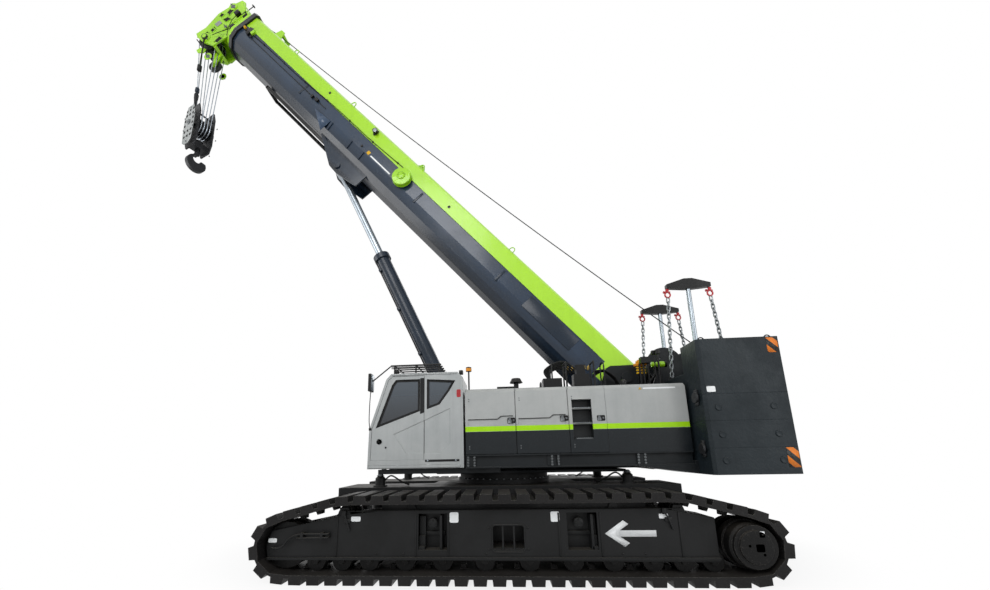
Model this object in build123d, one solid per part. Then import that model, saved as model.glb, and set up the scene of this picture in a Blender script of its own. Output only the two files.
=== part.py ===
from build123d import *
import math
import os

# Telescopic-boom crawler crane of the 120 t class, in millimetres.
# X points forward, Y to the left, Z up; the origin is on the ground under the slewing axis.
# Plates of one weldment that would hide a moving part in their hull are separate solids.

RUN_CLEARANCE = 0.3
WELD_GAP = 0.3

# ---- Crawler tracks ----
TRACK_GAUGE = 4380
SHOE_WIDTH = 850
SHOE_PITCH = 262
SHOE_WEB = 45
SHOE_BLOCK_HEIGHT = 85
SHOE_BLOCK_LENGTH = 172
SHOE_BLOCK_DRAFT = 10
SHOE_PHASE = 0.3
LUG_HEIGHT = 58
LUG_LENGTH = 92
LUG_WIDTH = 120
WHEEL_HALF_BASE = 3285
WHEEL_LIFT = 8
WHEEL_PIN_RADIUS = 377
WHEEL_SLACK = 4
ROLLER_RADIUS = 140
ROLLER_SHARES = (1, 0.862, 0.715, 0.525, 0.33, 0.1135)
LAST_ROLLER_X = WHEEL_HALF_BASE - 465
ROLLER_X = [sign * share * LAST_ROLLER_X for sign in (1, -1) for share in ROLLER_SHARES]
FLAT_END_X = WHEEL_HALF_BASE - 295
CARRIER_RADIUS = 110
CARRIER_SAG = 18
CARRIER_X = (WHEEL_HALF_BASE - 875, 875 - WHEEL_HALF_BASE)
TRACK_TOP_Z = 1205
ROLLER_WIDTH = 390
ROLLER_GROOVE_WIDTH = 150
ROLLER_GROOVE_DEPTH = 75

# ---- Track side frames ----
FRAME_WIDTH = 520
FRAME_PLATE = 30
FRAME_BOTTOM_Z = 271
FRAME_FLOOR_Z = 418
FRAME_TOP_Z = 978
FRAME_FRONT_X = WHEEL_HALF_BASE + 290
FRAME_REAR_X = 410 - WHEEL_HALF_BASE
FRAME_INNER_Y = (TRACK_GAUGE - FRAME_WIDTH) / 2
FRAME_OUTER_Y = (TRACK_GAUGE + FRAME_WIDTH) / 2
CARRIER_LUG_IN = 55
SKID_WIDTH = 60
SKID_Y = 130
TUMBLER_WIDTH = 380
HUB_RADIUS = 305
HUB_RING_RADIUS = 278
HUB_CAP_RADIUS = 218

# ---- Carbody ----
CARBODY_HALF_LENGTH = 2990
CARBODY_HALF_WIDTH = 1307
CARBODY_TOP_Z = 1219
ARM_DEPTH = 300
ARM_GAP_HALF = 352
CENTRE_HALF_LENGTH = 1400
CENTRE_BOTTOM_Z = 480
CROSSBEAM_X = 1070
CROSSBEAM_LENGTH = 420
CROSSBEAM_BOTTOM_Z = 428
CROSSBEAM_TOP_Z = 928
SOCKET_DEPTH = 190
PEDESTAL_RADIUS = 930
BEARING_BOTTOM_Z = 1300
BEARING_TOP_Z = 1420
BEARING_OUTER_RADIUS = 900
BEARING_INNER_RADIUS = 700

# ---- Lifting jacks of the carbody ----
JACK_FRONT_X = 2290
JACK_REAR_X = -2180
JACK_Y = 1092
JACK_RADIUS = 92
JACK_TOP_Z = 1408
JACK_BOTTOM_Z = 460
JACK_ROD_RADIUS = 58
JACK_PAD_RADIUS = 165
JACK_PAD_Z = 250

# ---- Revolving frame ----
HOUSING_Y = 1480
HOUSING_FRONT_X = 661
HOUSING_REAR_X = -3182
DECK_Z = 2930
DECK_BEVEL = 60
SIDE_FLOOR_Z = 1529
SIDE_FLOOR_TOP_Z = 1759
FRAME_BASE_Z = 1420
BASE_PLATE = 45
WEB_INNER_Y = 458
WEB_PLATE = 42
WEB_OUTER_Y = WEB_INNER_Y + WEB_PLATE
NOSE_X = 1250
TAIL_X = -4280
TAIL_TOP_Z = 2900
PIVOT_X = -2550
PIVOT_Z = 3240
PIVOT_PIN_RADIUS = 75
SHEET = 40

# ---- Service doors ----
PANEL_SEAMS = (HOUSING_FRONT_X, -238, -1159, -1813, HOUSING_REAR_X)
DOOR_COUNT = 3
DOOR_GAP = 6
DOOR_BOTTOM_Z = SIDE_FLOOR_TOP_Z + 8
HINGE_INSET = 20
POCKET_DEPTH = 12
POCKET_FOOT_Z = 2262
POCKET_TOP_Z = 2376
POCKET_STEP = 49
LADDER_DEPTH = 170
LADDER_BOTTOM_Z = 1995
LADDER_TOP_Z = 2684
LADDER_RUNGS_Z = (2266, 2529)

# ---- Boom ----
LUFF_ANGLE = 48.4
BOOM_HALF_WIDTH = 440
BOOM_TOP = 350
BOOM_BOTTOM = -805
BOOM_CORNER = 60
BELLY_FACETS = 6
BOOM_FOOT = -180
FOOT_CHEEK_END = 620
BOOM_LENGTH = 13900
SECTION_STEP = 34
SECTION_WALL = 12
SECTION_COUNT = 4
COLLAR_LENGTH = 130
COLLAR_RISE = 45
SECTION_SHOW = 20
HEAD_RING_LENGTH = 190
HEAD_RING_RISE = 85
HEAD_U = BOOM_LENGTH + (SECTION_COUNT - 1) * SECTION_SHOW + HEAD_RING_LENGTH
HEAD_PLATE_Y = 250
HEAD_PLATE = 35
MAIN_SHEAVE = (HEAD_U + 470, -1080)
MAIN_SHEAVE_RADIUS = 250
MAIN_SHEAVE_Y = (-180, -60, 60, 180)
TOP_SHEAVE = (HEAD_U + 750, 130)
TOP_SHEAVE_RADIUS = 200
TOP_SHEAVE_Y = (-60, 60)
LOWER_SHEAVE = (HEAD_U - 160, -1410)
LOWER_SHEAVE_RADIUS = 180

# ---- Luffing cylinder ----
EYE_U = 8540
EYE_N = -1031
FOOT_X = 710
FOOT_Z = 2076
FOOT_LUG_Y = 205
FOOT_LUG_PLATE = 50
FOOT_PIN_RADIUS = 70
EYE_BRACKET_Y = 235
EYE_BRACKET_PLATE = 30
EYE_PIN_RADIUS = 65
ROD_EYE_HALF = 125
BARREL_RADIUS = 165
BARREL_COLLAR_RADIUS = 200
ROD_RADIUS = 88
BARREL_LENGTH = 4890
ROD_LENGTH = 4700

# ---- Hook block ----
BLOCK_TURN = -22
BLOCK_DROP = 3506
BLOCK_HEIGHT = 1300
BLOCK_WIDTH = 550
BLOCK_CHEEK_Y = 170
BLOCK_PLATE = 35
HOOK_DROP = 613
WEIGHT_DROP = 1036

# ---- Counterweight ----
CW_BASE_Z = 1385
CW_SLAB_HEIGHTS = (405, 425, 432)
CW_FRONT_X = -3240
CW_REAR_X = -4520
CW_TAIL_X = -4760
CW_HALF_WIDTH = 1933
CW_CHAMFER = 45
CW_TOP_Z = 3570
CW_DECK_Z = 3100
CW_WING_Y = 1371
CW_NOTCH_Y = 600
CW_NOTCH_X = -4300
COLUMN_X = -3870
COLUMN_Y = 707
COLUMN_RADIUS = 95
COLUMN_ROD_RADIUS = 44
COLUMN_TOP_Z = 5010

# ---- Winches ----
MAIN_DRUM = (-4130, 3550)
AUX_DRUM = (-3370, 3500)
WINCH_PLATE_Y = 435
WINCH_PLATE = 35
DRUM_RADIUS = 300
DRUM_FLANGE_RADIUS = 360
DRUM_SHAFT_RADIUS = 45

# ---- Cab ----
CAB_INNER_Y = 525
CAB_REAR_X = 690
CAB_FRONT_X = 2418
CAB_FLOOR_Z = 1544
CAB_ROOF_Z = 3260
CAB_DOOR_SILL_Z = 1690
CAB_WALL = 45
DOOR_REAR_X = 1395
GLASS = 8


def box(x0, x1, y0, y1, z0, z1):
    centre = Pos((x0 + x1) / 2, (y0 + y1) / 2, (z0 + z1) / 2)
    return centre * Box(abs(x1 - x0), abs(y1 - y0), abs(z1 - z0))


def prism_y(points, y0, y1):
    """Extrudes an outline of (x, z) points from y0 to y1."""
    face = make_face(Polyline([(x, y0, z) for x, z in points], close=True).edges())
    return extrude(face, amount=y1 - y0, dir=(0, 1, 0))


def prism_x(points, x0, x1):
    """Extrudes an outline of (y, z) points from x0 to x1."""
    face = make_face(Polyline([(x0, y, z) for y, z in points], close=True).edges())
    return extrude(face, amount=x1 - x0, dir=(1, 0, 0))


def prism_z(points, z0, z1):
    """Extrudes an outline of (x, y) points from z0 to z1."""
    face = make_face(Polyline([(x, y, z0) for x, y in points], close=True).edges())
    return extrude(face, amount=z1 - z0, dir=(0, 0, 1))


def rod_y(radius, x, z, y0, y1):
    return Pos(x, (y0 + y1) / 2, z) * Rot(90, 0, 0) * Cylinder(radius, abs(y1 - y0))


def rod_x(radius, y, z, x0, x1):
    return Pos((x0 + x1) / 2, y, z) * Rot(0, 90, 0) * Cylinder(radius, abs(x1 - x0))


def rod_z(radius, x, y, z0, z1):
    return Pos(x, y, (z0 + z1) / 2) * Cylinder(radius, abs(z1 - z0))


def strut(radius, start, end):
    """Round bar between two points."""
    line = Vector(*end) - Vector(*start)
    plane = Plane(origin=start, z_dir=line)
    return plane * Pos(0, 0, line.length / 2) * Cylinder(radius, line.length)


def other_side(shape):
    return mirror(shape, about=Plane.XZ)


def both_sides(*shapes):
    return [copy for shape in shapes for copy in (shape, other_side(shape))]


def save(name, *shapes):
    solids = []
    for shape in shapes:
        solids += shape.solids()
    os.makedirs("parts", exist_ok=True)
    model = Compound(children=solids) if len(solids) > 1 else solids[0]
    export_step(model, f"parts/{name}.step")


# ================= Undercarriage =================

def belt_pieces(circles):
    """Arcs and straights of a belt round circles of (x, z, radius), counterclockwise."""
    normals = []
    for i, (x0, z0, r0) in enumerate(circles):
        x1, z1, r1 = circles[(i + 1) % len(circles)]
        span = math.hypot(x1 - x0, z1 - z0)
        ux, uz = (x1 - x0) / span, (z1 - z0) / span
        s = (r0 - r1) / span
        c = math.sqrt(1 - s * s)
        normals.append((ux * s + uz * c, uz * s - ux * c))
    pieces = []
    for i, (x0, z0, r0) in enumerate(circles):
        x1, z1, r1 = circles[(i + 1) % len(circles)]
        before, after = normals[i - 1], normals[i]
        start = math.atan2(before[1], before[0])
        sweep = (math.atan2(after[1], after[0]) - start) % (2 * math.pi)
        pieces.append(("arc", x0, z0, r0, start, sweep, r0 * sweep))
        ax, az = x0 + r0 * after[0], z0 + r0 * after[1]
        bx, bz = x1 + r1 * after[0], z1 + r1 * after[1]
        pieces.append(("line", ax, az, bx - ax, bz - az, 0, math.hypot(bx - ax, bz - az)))
    return pieces


def belt_points(circles, pitch, phase):
    """Points along a belt, as many as come nearest to the pitch that is asked for."""
    pieces = belt_pieces(circles)
    total = sum(piece[6] for piece in pieces)
    count = round(total / pitch)
    points = []
    for k in range(count):
        rest = (k + phase) * total / count
        for kind, a, b, c, d, e, length in pieces:
            if rest <= length:
                break
            rest -= length
        if kind == "arc":
            angle = d + e * rest / length
            points.append((a + c * math.cos(angle), b + c * math.sin(angle)))
        else:
            points.append((a + c * rest / length, b + d * rest / length))
    return points


PIN_DEPTH = SHOE_BLOCK_HEIGHT + SHOE_WEB / 2
WHEEL_Z = PIN_DEPTH + WHEEL_PIN_RADIUS + WHEEL_LIFT
ROLLER_Z = PIN_DEPTH + SHOE_WEB / 2 + ROLLER_RADIUS
CARRIER_Z = TRACK_TOP_Z - SHOE_BLOCK_HEIGHT - SHOE_WEB - CARRIER_RADIUS
WHEEL_TREAD_RADIUS = math.sqrt(WHEEL_PIN_RADIUS ** 2 - (SHOE_PITCH / 2) ** 2) - SHOE_WEB / 2 - WHEEL_SLACK


def track_pins():
    lower = ROLLER_RADIUS + SHOE_WEB / 2
    upper = CARRIER_RADIUS + SHOE_WEB / 2
    circles = [
        (-FLAT_END_X, ROLLER_Z, lower),
        (FLAT_END_X, ROLLER_Z, lower),
        (WHEEL_HALF_BASE, WHEEL_Z, WHEEL_PIN_RADIUS),
        (CARRIER_X[0], CARRIER_Z, upper),
        (CARRIER_X[1], CARRIER_Z, upper),
        (-WHEEL_HALF_BASE, WHEEL_Z, WHEEL_PIN_RADIUS),
    ]
    return belt_points(circles, SHOE_PITCH, SHOE_PHASE)


def shoe_outline(pins, stations):
    """Outline that repeats (t, n) stations on every shoe; t starts at its middle, n points outward."""
    points = []
    for i, (x0, z0) in enumerate(pins):
        x1, z1 = pins[(i + 1) % len(pins)]
        span = math.hypot(x1 - x0, z1 - z0)
        tx, tz = (x1 - x0) / span, (z1 - z0) / span
        mx, mz = (x0 + x1) / 2, (z0 + z1) / 2
        points += [(mx + t * tx + n * tz, mz + t * tz - n * tx) for t, n in stations]
    return points


def mitred_offset(pins, distance):
    """The pin loop moved outward by a distance, square to each shoe."""
    points = []
    count = len(pins)
    for i in range(count):
        ax, az = pins[i - 1]
        bx, bz = pins[i]
        cx, cz = pins[(i + 1) % count]
        la, lc = math.hypot(bx - ax, bz - az), math.hypot(cx - bx, cz - bz)
        nx = (bz - az) / la + (cz - bz) / lc
        nz = -(bx - ax) / la - (cx - bx) / lc
        scale = 2 * distance / (nx * nx + nz * nz)
        points.append((bx + nx * scale, bz + nz * scale))
    return points


def ring_prism(outer, inner, y0, y1):
    return prism_y(outer, y0, y1) - prism_y(inner, y0 - 1, y1 + 1)


def track():
    """Left track: a closed band of shoes with a drive lug inside each of them."""
    pins = track_pins()
    half_web = SHOE_WEB / 2
    foot = SHOE_BLOCK_LENGTH / 2 + SHOE_BLOCK_DRAFT
    sole = SHOE_BLOCK_LENGTH / 2
    block = [(-foot, half_web), (-sole, PIN_DEPTH), (sole, PIN_DEPTH), (foot, half_web)]
    outer = shoe_outline(pins, block)
    inner = mitred_offset(pins, -half_web)
    y0 = (TRACK_GAUGE - SHOE_WIDTH) / 2
    band = ring_prism(outer, inner, y0, y0 + SHOE_WIDTH)
    root, tip = LUG_LENGTH / 2, LUG_LENGTH / 2 - 14
    lug = [(-root, -half_web), (-tip, -half_web - LUG_HEIGHT), (tip, -half_web - LUG_HEIGHT), (root, -half_web)]
    lugs = ring_prism(mitred_offset(pins, 0), shoe_outline(pins, lug),
                      (TRACK_GAUGE - LUG_WIDTH) / 2, (TRACK_GAUGE + LUG_WIDTH) / 2)
    return band + lugs


def turned(profile):
    """Body of revolution about Y from (radius, y) points."""
    face = make_face(Polyline([(r, y, 0) for r, y in profile], close=True).edges())
    return revolve(face, Axis.Y, 360)


def grooved_wheel(radius, width, groove_depth, shaft_radius, shaft_half):
    """Wheel with its shaft on the Y axis; its two treads leave a groove for the lugs."""
    half, slot = width / 2, ROLLER_GROOVE_WIDTH / 2
    rim = radius - RUN_CLEARANCE
    return turned([(0, -shaft_half), (shaft_radius, -shaft_half), (shaft_radius, -half), (rim, -half),
                   (rim, -slot), (rim - groove_depth, -slot), (rim - groove_depth, slot), (rim, slot),
                   (rim, half), (shaft_radius, half), (shaft_radius, shaft_half), (0, shaft_half)])


SHAFT_HALF = FRAME_WIDTH / 2 - FRAME_PLATE


def rollers():
    wheel = grooved_wheel(ROLLER_RADIUS, ROLLER_WIDTH, ROLLER_GROOVE_DEPTH, 45, SHAFT_HALF)
    return [Pos(x, TRACK_GAUGE / 2, ROLLER_Z) * wheel for x in ROLLER_X]


def carriers():
    wheel = grooved_wheel(CARRIER_RADIUS - CARRIER_SAG, ROLLER_WIDTH - 20, 62, 35, FRAME_WIDTH / 2 - CARRIER_LUG_IN)
    return [Pos(x, TRACK_GAUGE / 2, CARRIER_Z) * wheel for x in CARRIER_X]


def idler():
    wheel = grooved_wheel(WHEEL_TREAD_RADIUS, 400, 85, 80, SHAFT_HALF)
    return Pos(WHEEL_HALF_BASE, TRACK_GAUGE / 2, WHEEL_Z) * wheel


def final_drive():
    """Drive tumbler with the gearbox hub that stands out of it."""
    tread = WHEEL_TREAD_RADIUS
    y_in = -SHAFT_HALF + 30
    half = TUMBLER_WIDTH / 2
    slot = ROLLER_GROOVE_WIDTH / 2
    profile = [(0, y_in), (HUB_RADIUS - 60, y_in), (HUB_RADIUS - 60, -half), (tread, -half),
               (tread, -slot), (tread - 85, -slot), (tread - 85, slot), (tread, slot),
               (tread, half), (HUB_RADIUS, half), (HUB_RADIUS, 330), (HUB_RADIUS - 18, 350),
               (HUB_RING_RADIUS, 356), (HUB_RING_RADIUS, 400), (HUB_CAP_RADIUS, 400),
               (HUB_CAP_RADIUS - 8, 424), (0, 424)]
    return Pos(-WHEEL_HALF_BASE, TRACK_GAUGE / 2, WHEEL_Z) * turned(profile)


FRAME_SHOULDER_X = WHEEL_HALF_BASE - 895
FRAME_BOX_REAR_X = FRAME_REAR_X + 175
FRAME_BOX_FRONT_X = WHEEL_HALF_BASE - 535


def side_frame():
    """Box frame between the runs, open at both ends, with sockets for the crossbeams."""
    y0, y1 = FRAME_INNER_Y, FRAME_OUTER_Y
    in0, in1 = y0 + FRAME_PLATE, y1 - FRAME_PLATE
    outline = [(FRAME_REAR_X, FRAME_BOTTOM_Z), (FRAME_FRONT_X - 35, FRAME_BOTTOM_Z + 30), (FRAME_FRONT_X, 480),
               (FRAME_FRONT_X - 75, 700), (FRAME_SHOULDER_X, 915), (FRAME_SHOULDER_X - 530, FRAME_TOP_Z - 10),
               (FRAME_REAR_X + 715, FRAME_TOP_Z), (FRAME_REAR_X, 848)]
    body = prism_y(outline, y0, y1)
    hollow = [(FRAME_BOX_REAR_X, FRAME_FLOOR_Z + FRAME_PLATE), (FRAME_BOX_FRONT_X, FRAME_FLOOR_Z + FRAME_PLATE),
              (FRAME_BOX_FRONT_X, 810), (FRAME_SHOULDER_X, 880), (FRAME_SHOULDER_X - 530, FRAME_TOP_Z - 45),
              (FRAME_REAR_X + 715, FRAME_TOP_Z - 40), (FRAME_BOX_REAR_X, 830)]
    body -= prism_y(hollow, in0, in1)
    body -= box(FRAME_REAR_X - 100, LAST_ROLLER_X + 200, in0, in1, 0, FRAME_FLOOR_Z)
    body -= box(LAST_ROLLER_X + 80, FRAME_FRONT_X + 100, in0, in1, 0, FRAME_TOP_Z)
    for x in (-CROSSBEAM_X, CROSSBEAM_X):
        half = CROSSBEAM_LENGTH / 2 + 1
        body -= box(x - half, x + half, y0 - 1, y1 + 1, CROSSBEAM_BOTTOM_Z, CROSSBEAM_TOP_Z)
    window = box(-253, 202, in1 - 1, y1 + 1, 430, 763)
    body -= fillet(window.edges().filter_by(Axis.Y), 60)
    for x in (-105, 55):
        body += box(x - 12, x + 12, in1, y1 - 8, 425, 770)
    body += box(FRAME_REAR_X, FRAME_FRONT_X - 35, y1 - 2, y1 + 35, FRAME_BOTTOM_Z + 30, FRAME_BOTTOM_Z + 62)
    for dy in (-SKID_Y, SKID_Y):
        mid = TRACK_GAUGE / 2 + dy
        body += box(FRAME_REAR_X + 875, FRAME_SHOULDER_X - 530, mid - SKID_WIDTH / 2, mid + SKID_WIDTH / 2,
                    FRAME_TOP_Z - 30, TRACK_TOP_Z - SHOE_BLOCK_HEIGHT - SHOE_WEB - RUN_CLEARANCE)
    for x in CARRIER_X:
        body -= box(x - 130, x + 130, y0 + CARRIER_LUG_IN, y1 - CARRIER_LUG_IN, 835, 1100)
        for y in (y0 + 10, y1 - CARRIER_LUG_IN):
            body += prism_y([(x - 130, 840), (x + 130, 840), (x + 60, CARRIER_Z + 55), (x - 60, CARRIER_Z + 55)],
                            y, y + CARRIER_LUG_IN - 10)
    arm = [(FRAME_BOX_REAR_X, 400), (FRAME_BOX_REAR_X, 840), (FRAME_BOX_REAR_X - 400, 760),
           (FRAME_BOX_REAR_X - 800, 560), (FRAME_BOX_REAR_X - 800, 420), (FRAME_BOX_REAR_X - 400, 330)]
    return body + prism_y(arm, y0, y0 + FRAME_PLATE + 30)


def socket_wedge(sign):
    """Stepped wedge that locks a crossbeam at the outward side of its socket."""
    edge = sign * (CROSSBEAM_X + CROSSBEAM_LENGTH / 2)
    x0, x1 = sorted((edge - sign * WELD_GAP, edge - sign * 90))
    y0 = FRAME_OUTER_Y - SOCKET_DEPTH + WELD_GAP
    steps = [(y0, CROSSBEAM_BOTTOM_Z + WELD_GAP), (FRAME_OUTER_Y - 20, CROSSBEAM_BOTTOM_Z + WELD_GAP),
             (FRAME_OUTER_Y - 20, 470), (FRAME_OUTER_Y - 70, 470), (FRAME_OUTER_Y - 70, 610),
             (FRAME_OUTER_Y - 110, 610), (FRAME_OUTER_Y - 110, 880), (y0, 880)]
    return prism_x(steps, x0, x1)


def carbody():
    body = box(-CENTRE_HALF_LENGTH, CENTRE_HALF_LENGTH, -CARBODY_HALF_WIDTH, CARBODY_HALF_WIDTH,
               CENTRE_BOTTOM_Z, CARBODY_TOP_Z)
    reach = FRAME_OUTER_Y - SOCKET_DEPTH
    for x in (-CROSSBEAM_X, CROSSBEAM_X):
        body += box(x - CROSSBEAM_LENGTH / 2, x + CROSSBEAM_LENGTH / 2, -reach, reach,
                    CROSSBEAM_BOTTOM_Z, CROSSBEAM_TOP_Z)
    root_z = CARBODY_TOP_Z - ARM_DEPTH - 60
    for side in (-1, 1):
        arm = [(-CARBODY_HALF_LENGTH, CARBODY_TOP_Z), (-CARBODY_HALF_LENGTH, CARBODY_TOP_Z - 180),
               (-1800, root_z), (1800, root_z),
               (CARBODY_HALF_LENGTH, CARBODY_TOP_Z - 180), (CARBODY_HALF_LENGTH, CARBODY_TOP_Z)]
        edges = sorted((side * ARM_GAP_HALF, side * CARBODY_HALF_WIDTH))
        body += prism_y(arm, *edges)
    body += rod_z(PEDESTAL_RADIUS, 0, 0, CARBODY_TOP_Z, BEARING_BOTTOM_Z)
    body -= rod_z(300, 0, 0, 0, 2000)
    for x, y in JACKS.values():
        body += rod_z(JACK_RADIUS + 38, x, y, CARBODY_TOP_Z - ARM_DEPTH - 120, CARBODY_TOP_Z + 25)
        body -= rod_z(JACK_RADIUS + RUN_CLEARANCE, x, y, 0, 2000)
    return body


def slew_bearing():
    ring = rod_z(BEARING_OUTER_RADIUS, 0, 0, BEARING_BOTTOM_Z, BEARING_TOP_Z)
    return ring - rod_z(BEARING_INNER_RADIUS, 0, 0, 0, 2000)


JACKS = {
    "front_left": (JACK_FRONT_X, JACK_Y),
    "front_right": (JACK_FRONT_X, -JACK_Y),
    "rear_left": (JACK_REAR_X, JACK_Y),
    "rear_right": (JACK_REAR_X, -JACK_Y),
}


def jack_cylinder(x, y):
    tube = rod_z(JACK_RADIUS, x, y, JACK_BOTTOM_Z, JACK_TOP_Z)
    tube = chamfer(tube.edges().group_by(Axis.Z)[-1], 40)
    tube -= rod_z(JACK_ROD_RADIUS + RUN_CLEARANCE, x, y, 0, JACK_BOTTOM_Z + 90)
    tube -= rod_z(JACK_ROD_RADIUS + 8, x, y, JACK_BOTTOM_Z + 80, JACK_TOP_Z - 60)
    return tube


def jack_leg(x, y):
    leg = rod_z(JACK_ROD_RADIUS, x, y, JACK_PAD_Z + 50, JACK_TOP_Z - 90)
    foot = rod_z(JACK_PAD_RADIUS, x, y, JACK_PAD_Z, JACK_PAD_Z + 40)
    neck = Pos(x, y, JACK_PAD_Z + 80) * Cone(JACK_PAD_RADIUS - 40, JACK_ROD_RADIUS, 80)
    return leg + foot + neck


# ================= Revolving superstructure =================

PIN_LINE_Y = WEB_INNER_Y - WELD_GAP
BASE_TOP_Z = FRAME_BASE_Z + BASE_PLATE
RAMP_FOOT_X = -1150
TOWER_FRONT_X = PIVOT_X + 495
TOWER_REAR_X = PIVOT_X - 450
RAMP_FOOT_Z = 2420
TOWER_STEP_Z = PIVOT_Z - 76


def main_web():
    """Left main web in four plates: cylinder nose, ramp, boom tower and winch tail."""
    z0 = BASE_TOP_Z + WELD_GAP
    nose = [(NOSE_X, z0), (NOSE_X, 1900), (NOSE_X - 190, 2290), (RAMP_FOOT_X, RAMP_FOOT_Z), (RAMP_FOOT_X, z0)]
    ramp = [(RAMP_FOOT_X - WELD_GAP, z0), (RAMP_FOOT_X - WELD_GAP, RAMP_FOOT_Z), (TOWER_FRONT_X, TOWER_STEP_Z),
            (TOWER_FRONT_X, z0)]
    tower = [(TOWER_FRONT_X - WELD_GAP, z0), (TOWER_FRONT_X - WELD_GAP, TOWER_STEP_Z),
             (PIVOT_X + 395, PIVOT_Z + 198), (PIVOT_X + 305, PIVOT_Z + 245), (PIVOT_X - 205, PIVOT_Z + 254),
             (PIVOT_X - 280, PIVOT_Z + 70), (TOWER_REAR_X + 10, TAIL_TOP_Z), (TOWER_REAR_X, z0)]
    tail = [(TOWER_REAR_X - WELD_GAP, z0), (TOWER_REAR_X - WELD_GAP, TAIL_TOP_Z), (TAIL_X, TAIL_TOP_Z), (TAIL_X, 1560)]
    return [prism_y(plate, WEB_INNER_Y, WEB_OUTER_Y) for plate in (nose, ramp, tower, tail)]


def base_plates():
    """Floor of the revolving frame, left open over the slewing centre."""
    bore, half_width = 450, 980
    rear_x = PIVOT_X + 350
    plates = [box(bore + WELD_GAP, NOSE_X, -half_width, half_width, FRAME_BASE_Z, BASE_TOP_Z),
              box(rear_x, -bore - WELD_GAP, -half_width, half_width, FRAME_BASE_Z, BASE_TOP_Z)]
    return plates + both_sides(box(-bore, bore, bore, half_width, FRAME_BASE_Z, BASE_TOP_Z))


CHANNEL_SHEET = 24
CHANNEL_WEB_Y = HOUSING_Y - 55
JOINT_PLATES_X = (HOUSING_FRONT_X - 41, -800, -2300)


def side_platform():
    """C-section beam along the left edge with its platform, ribs, bolted joint plates and ballast shelf."""
    y0 = WEB_OUTER_Y + WELD_GAP
    platform = box(HOUSING_REAR_X, HOUSING_FRONT_X, y0, HOUSING_Y, SIDE_FLOOR_TOP_Z - CHANNEL_SHEET, SIDE_FLOOR_TOP_Z)
    platform += box(HOUSING_REAR_X, HOUSING_FRONT_X, HOUSING_Y - 110, HOUSING_Y, SIDE_FLOOR_Z,
                    SIDE_FLOOR_Z + CHANNEL_SHEET)
    platform += box(HOUSING_REAR_X, HOUSING_FRONT_X, CHANNEL_WEB_Y - 14, CHANNEL_WEB_Y, SIDE_FLOOR_Z, SIDE_FLOOR_TOP_Z)
    for x in JOINT_PLATES_X:
        platform += box(x - 95, x + 41, CHANNEL_WEB_Y - 1, CHANNEL_WEB_Y + 25, SIDE_FLOOR_Z + 30, SIDE_FLOOR_TOP_Z - 32)
        platform += box(x - 60, x - 40, y0, CHANNEL_WEB_Y - 5, SIDE_FLOOR_Z, SIDE_FLOOR_TOP_Z - 5)
    shelf = [(HOUSING_REAR_X + 918, SIDE_FLOOR_Z + CHANNEL_SHEET), (HOUSING_REAR_X + 918, SIDE_FLOOR_Z),
             (CW_FRONT_X + RUN_CLEARANCE, CW_BASE_Z), (CW_FRONT_X + RUN_CLEARANCE, 1600), (HOUSING_REAR_X, 1600),
             (HOUSING_REAR_X, SIDE_FLOOR_Z + CHANNEL_SHEET)]
    return platform + prism_y(shelf, y0, HOUSING_Y)


def foot_lug():
    """Left lug of the luffing cylinder foot, with its pin cap and the two gussets to the web."""
    z0 = BASE_TOP_Z + WELD_GAP
    y1 = FOOT_LUG_Y + FOOT_LUG_PLATE
    lug = prism_y([(FOOT_X - 250, z0), (FOOT_X + 330, z0), (FOOT_X + 150, FOOT_Z + 120), (FOOT_X - 150, FOOT_Z + 120)],
                  FOOT_LUG_Y, y1)
    cap = rod_y(FOOT_PIN_RADIUS, FOOT_X, FOOT_Z, y1 + WELD_GAP, y1 + 45)
    gussets = [box(x - 12, x + 12, y1 + WELD_GAP, PIN_LINE_Y, z0, FOOT_Z - 150) for x in (FOOT_X - 130, FOOT_X + 150)]
    return [lug, cap] + gussets


def cab_beams():
    """Beams that reach forward under the cab, with its rubber mounts."""
    top = SIDE_FLOOR_Z - WELD_GAP
    pieces = []
    for y in (CAB_INNER_Y + 100, HOUSING_Y - 160):
        pieces.append(box(60, CAB_FRONT_X - 170, y - 60, y + 60, FRAME_BASE_Z + 30, top))
        pieces += [rod_z(45, x, y, SIDE_FLOOR_Z, CAB_FLOOR_Z - RUN_CLEARANCE) for x in (CAB_REAR_X + 160, CAB_FRONT_X - 260)]
    return pieces


def turntable():
    pieces = both_sides(*main_web(), side_platform(), *foot_lug())
    pieces += both_sides(rod_y(110, PIVOT_X, PIVOT_Z, WEB_OUTER_Y + WELD_GAP, WEB_OUTER_Y + 40))
    pieces.append(rod_y(PIVOT_PIN_RADIUS, PIVOT_X, PIVOT_Z, -PIN_LINE_Y, PIN_LINE_Y))
    z0 = BASE_TOP_Z + WELD_GAP
    across = (-PIN_LINE_Y, PIN_LINE_Y)
    pieces.append(box(RAMP_FOOT_X - 20, RAMP_FOOT_X + 20, *across, z0, 1900))
    pieces.append(box(PIVOT_X - 15, PIVOT_X + 15, *across, z0 + 30, PIVOT_Z - 950))
    pieces.append(box(TOWER_REAR_X - 200, PIVOT_X + 345, *across, z0, z0 + 25))
    pieces.append(box(TAIL_X, TAIL_X + 50, *across, 1560, TAIL_TOP_Z))
    pieces.append(box(TAIL_X + 50 + WELD_GAP, TOWER_REAR_X, *across, TAIL_TOP_Z - 40, TAIL_TOP_Z))
    return pieces + base_plates() + cab_beams()


# ---- Side housings and their doors ----

HOUSING_INNER_Y = WEB_OUTER_Y + 12
DOOR_INNER_Y = HOUSING_Y - SHEET
BEVEL_TOP_Y = HOUSING_Y - DECK_BEVEL


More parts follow.
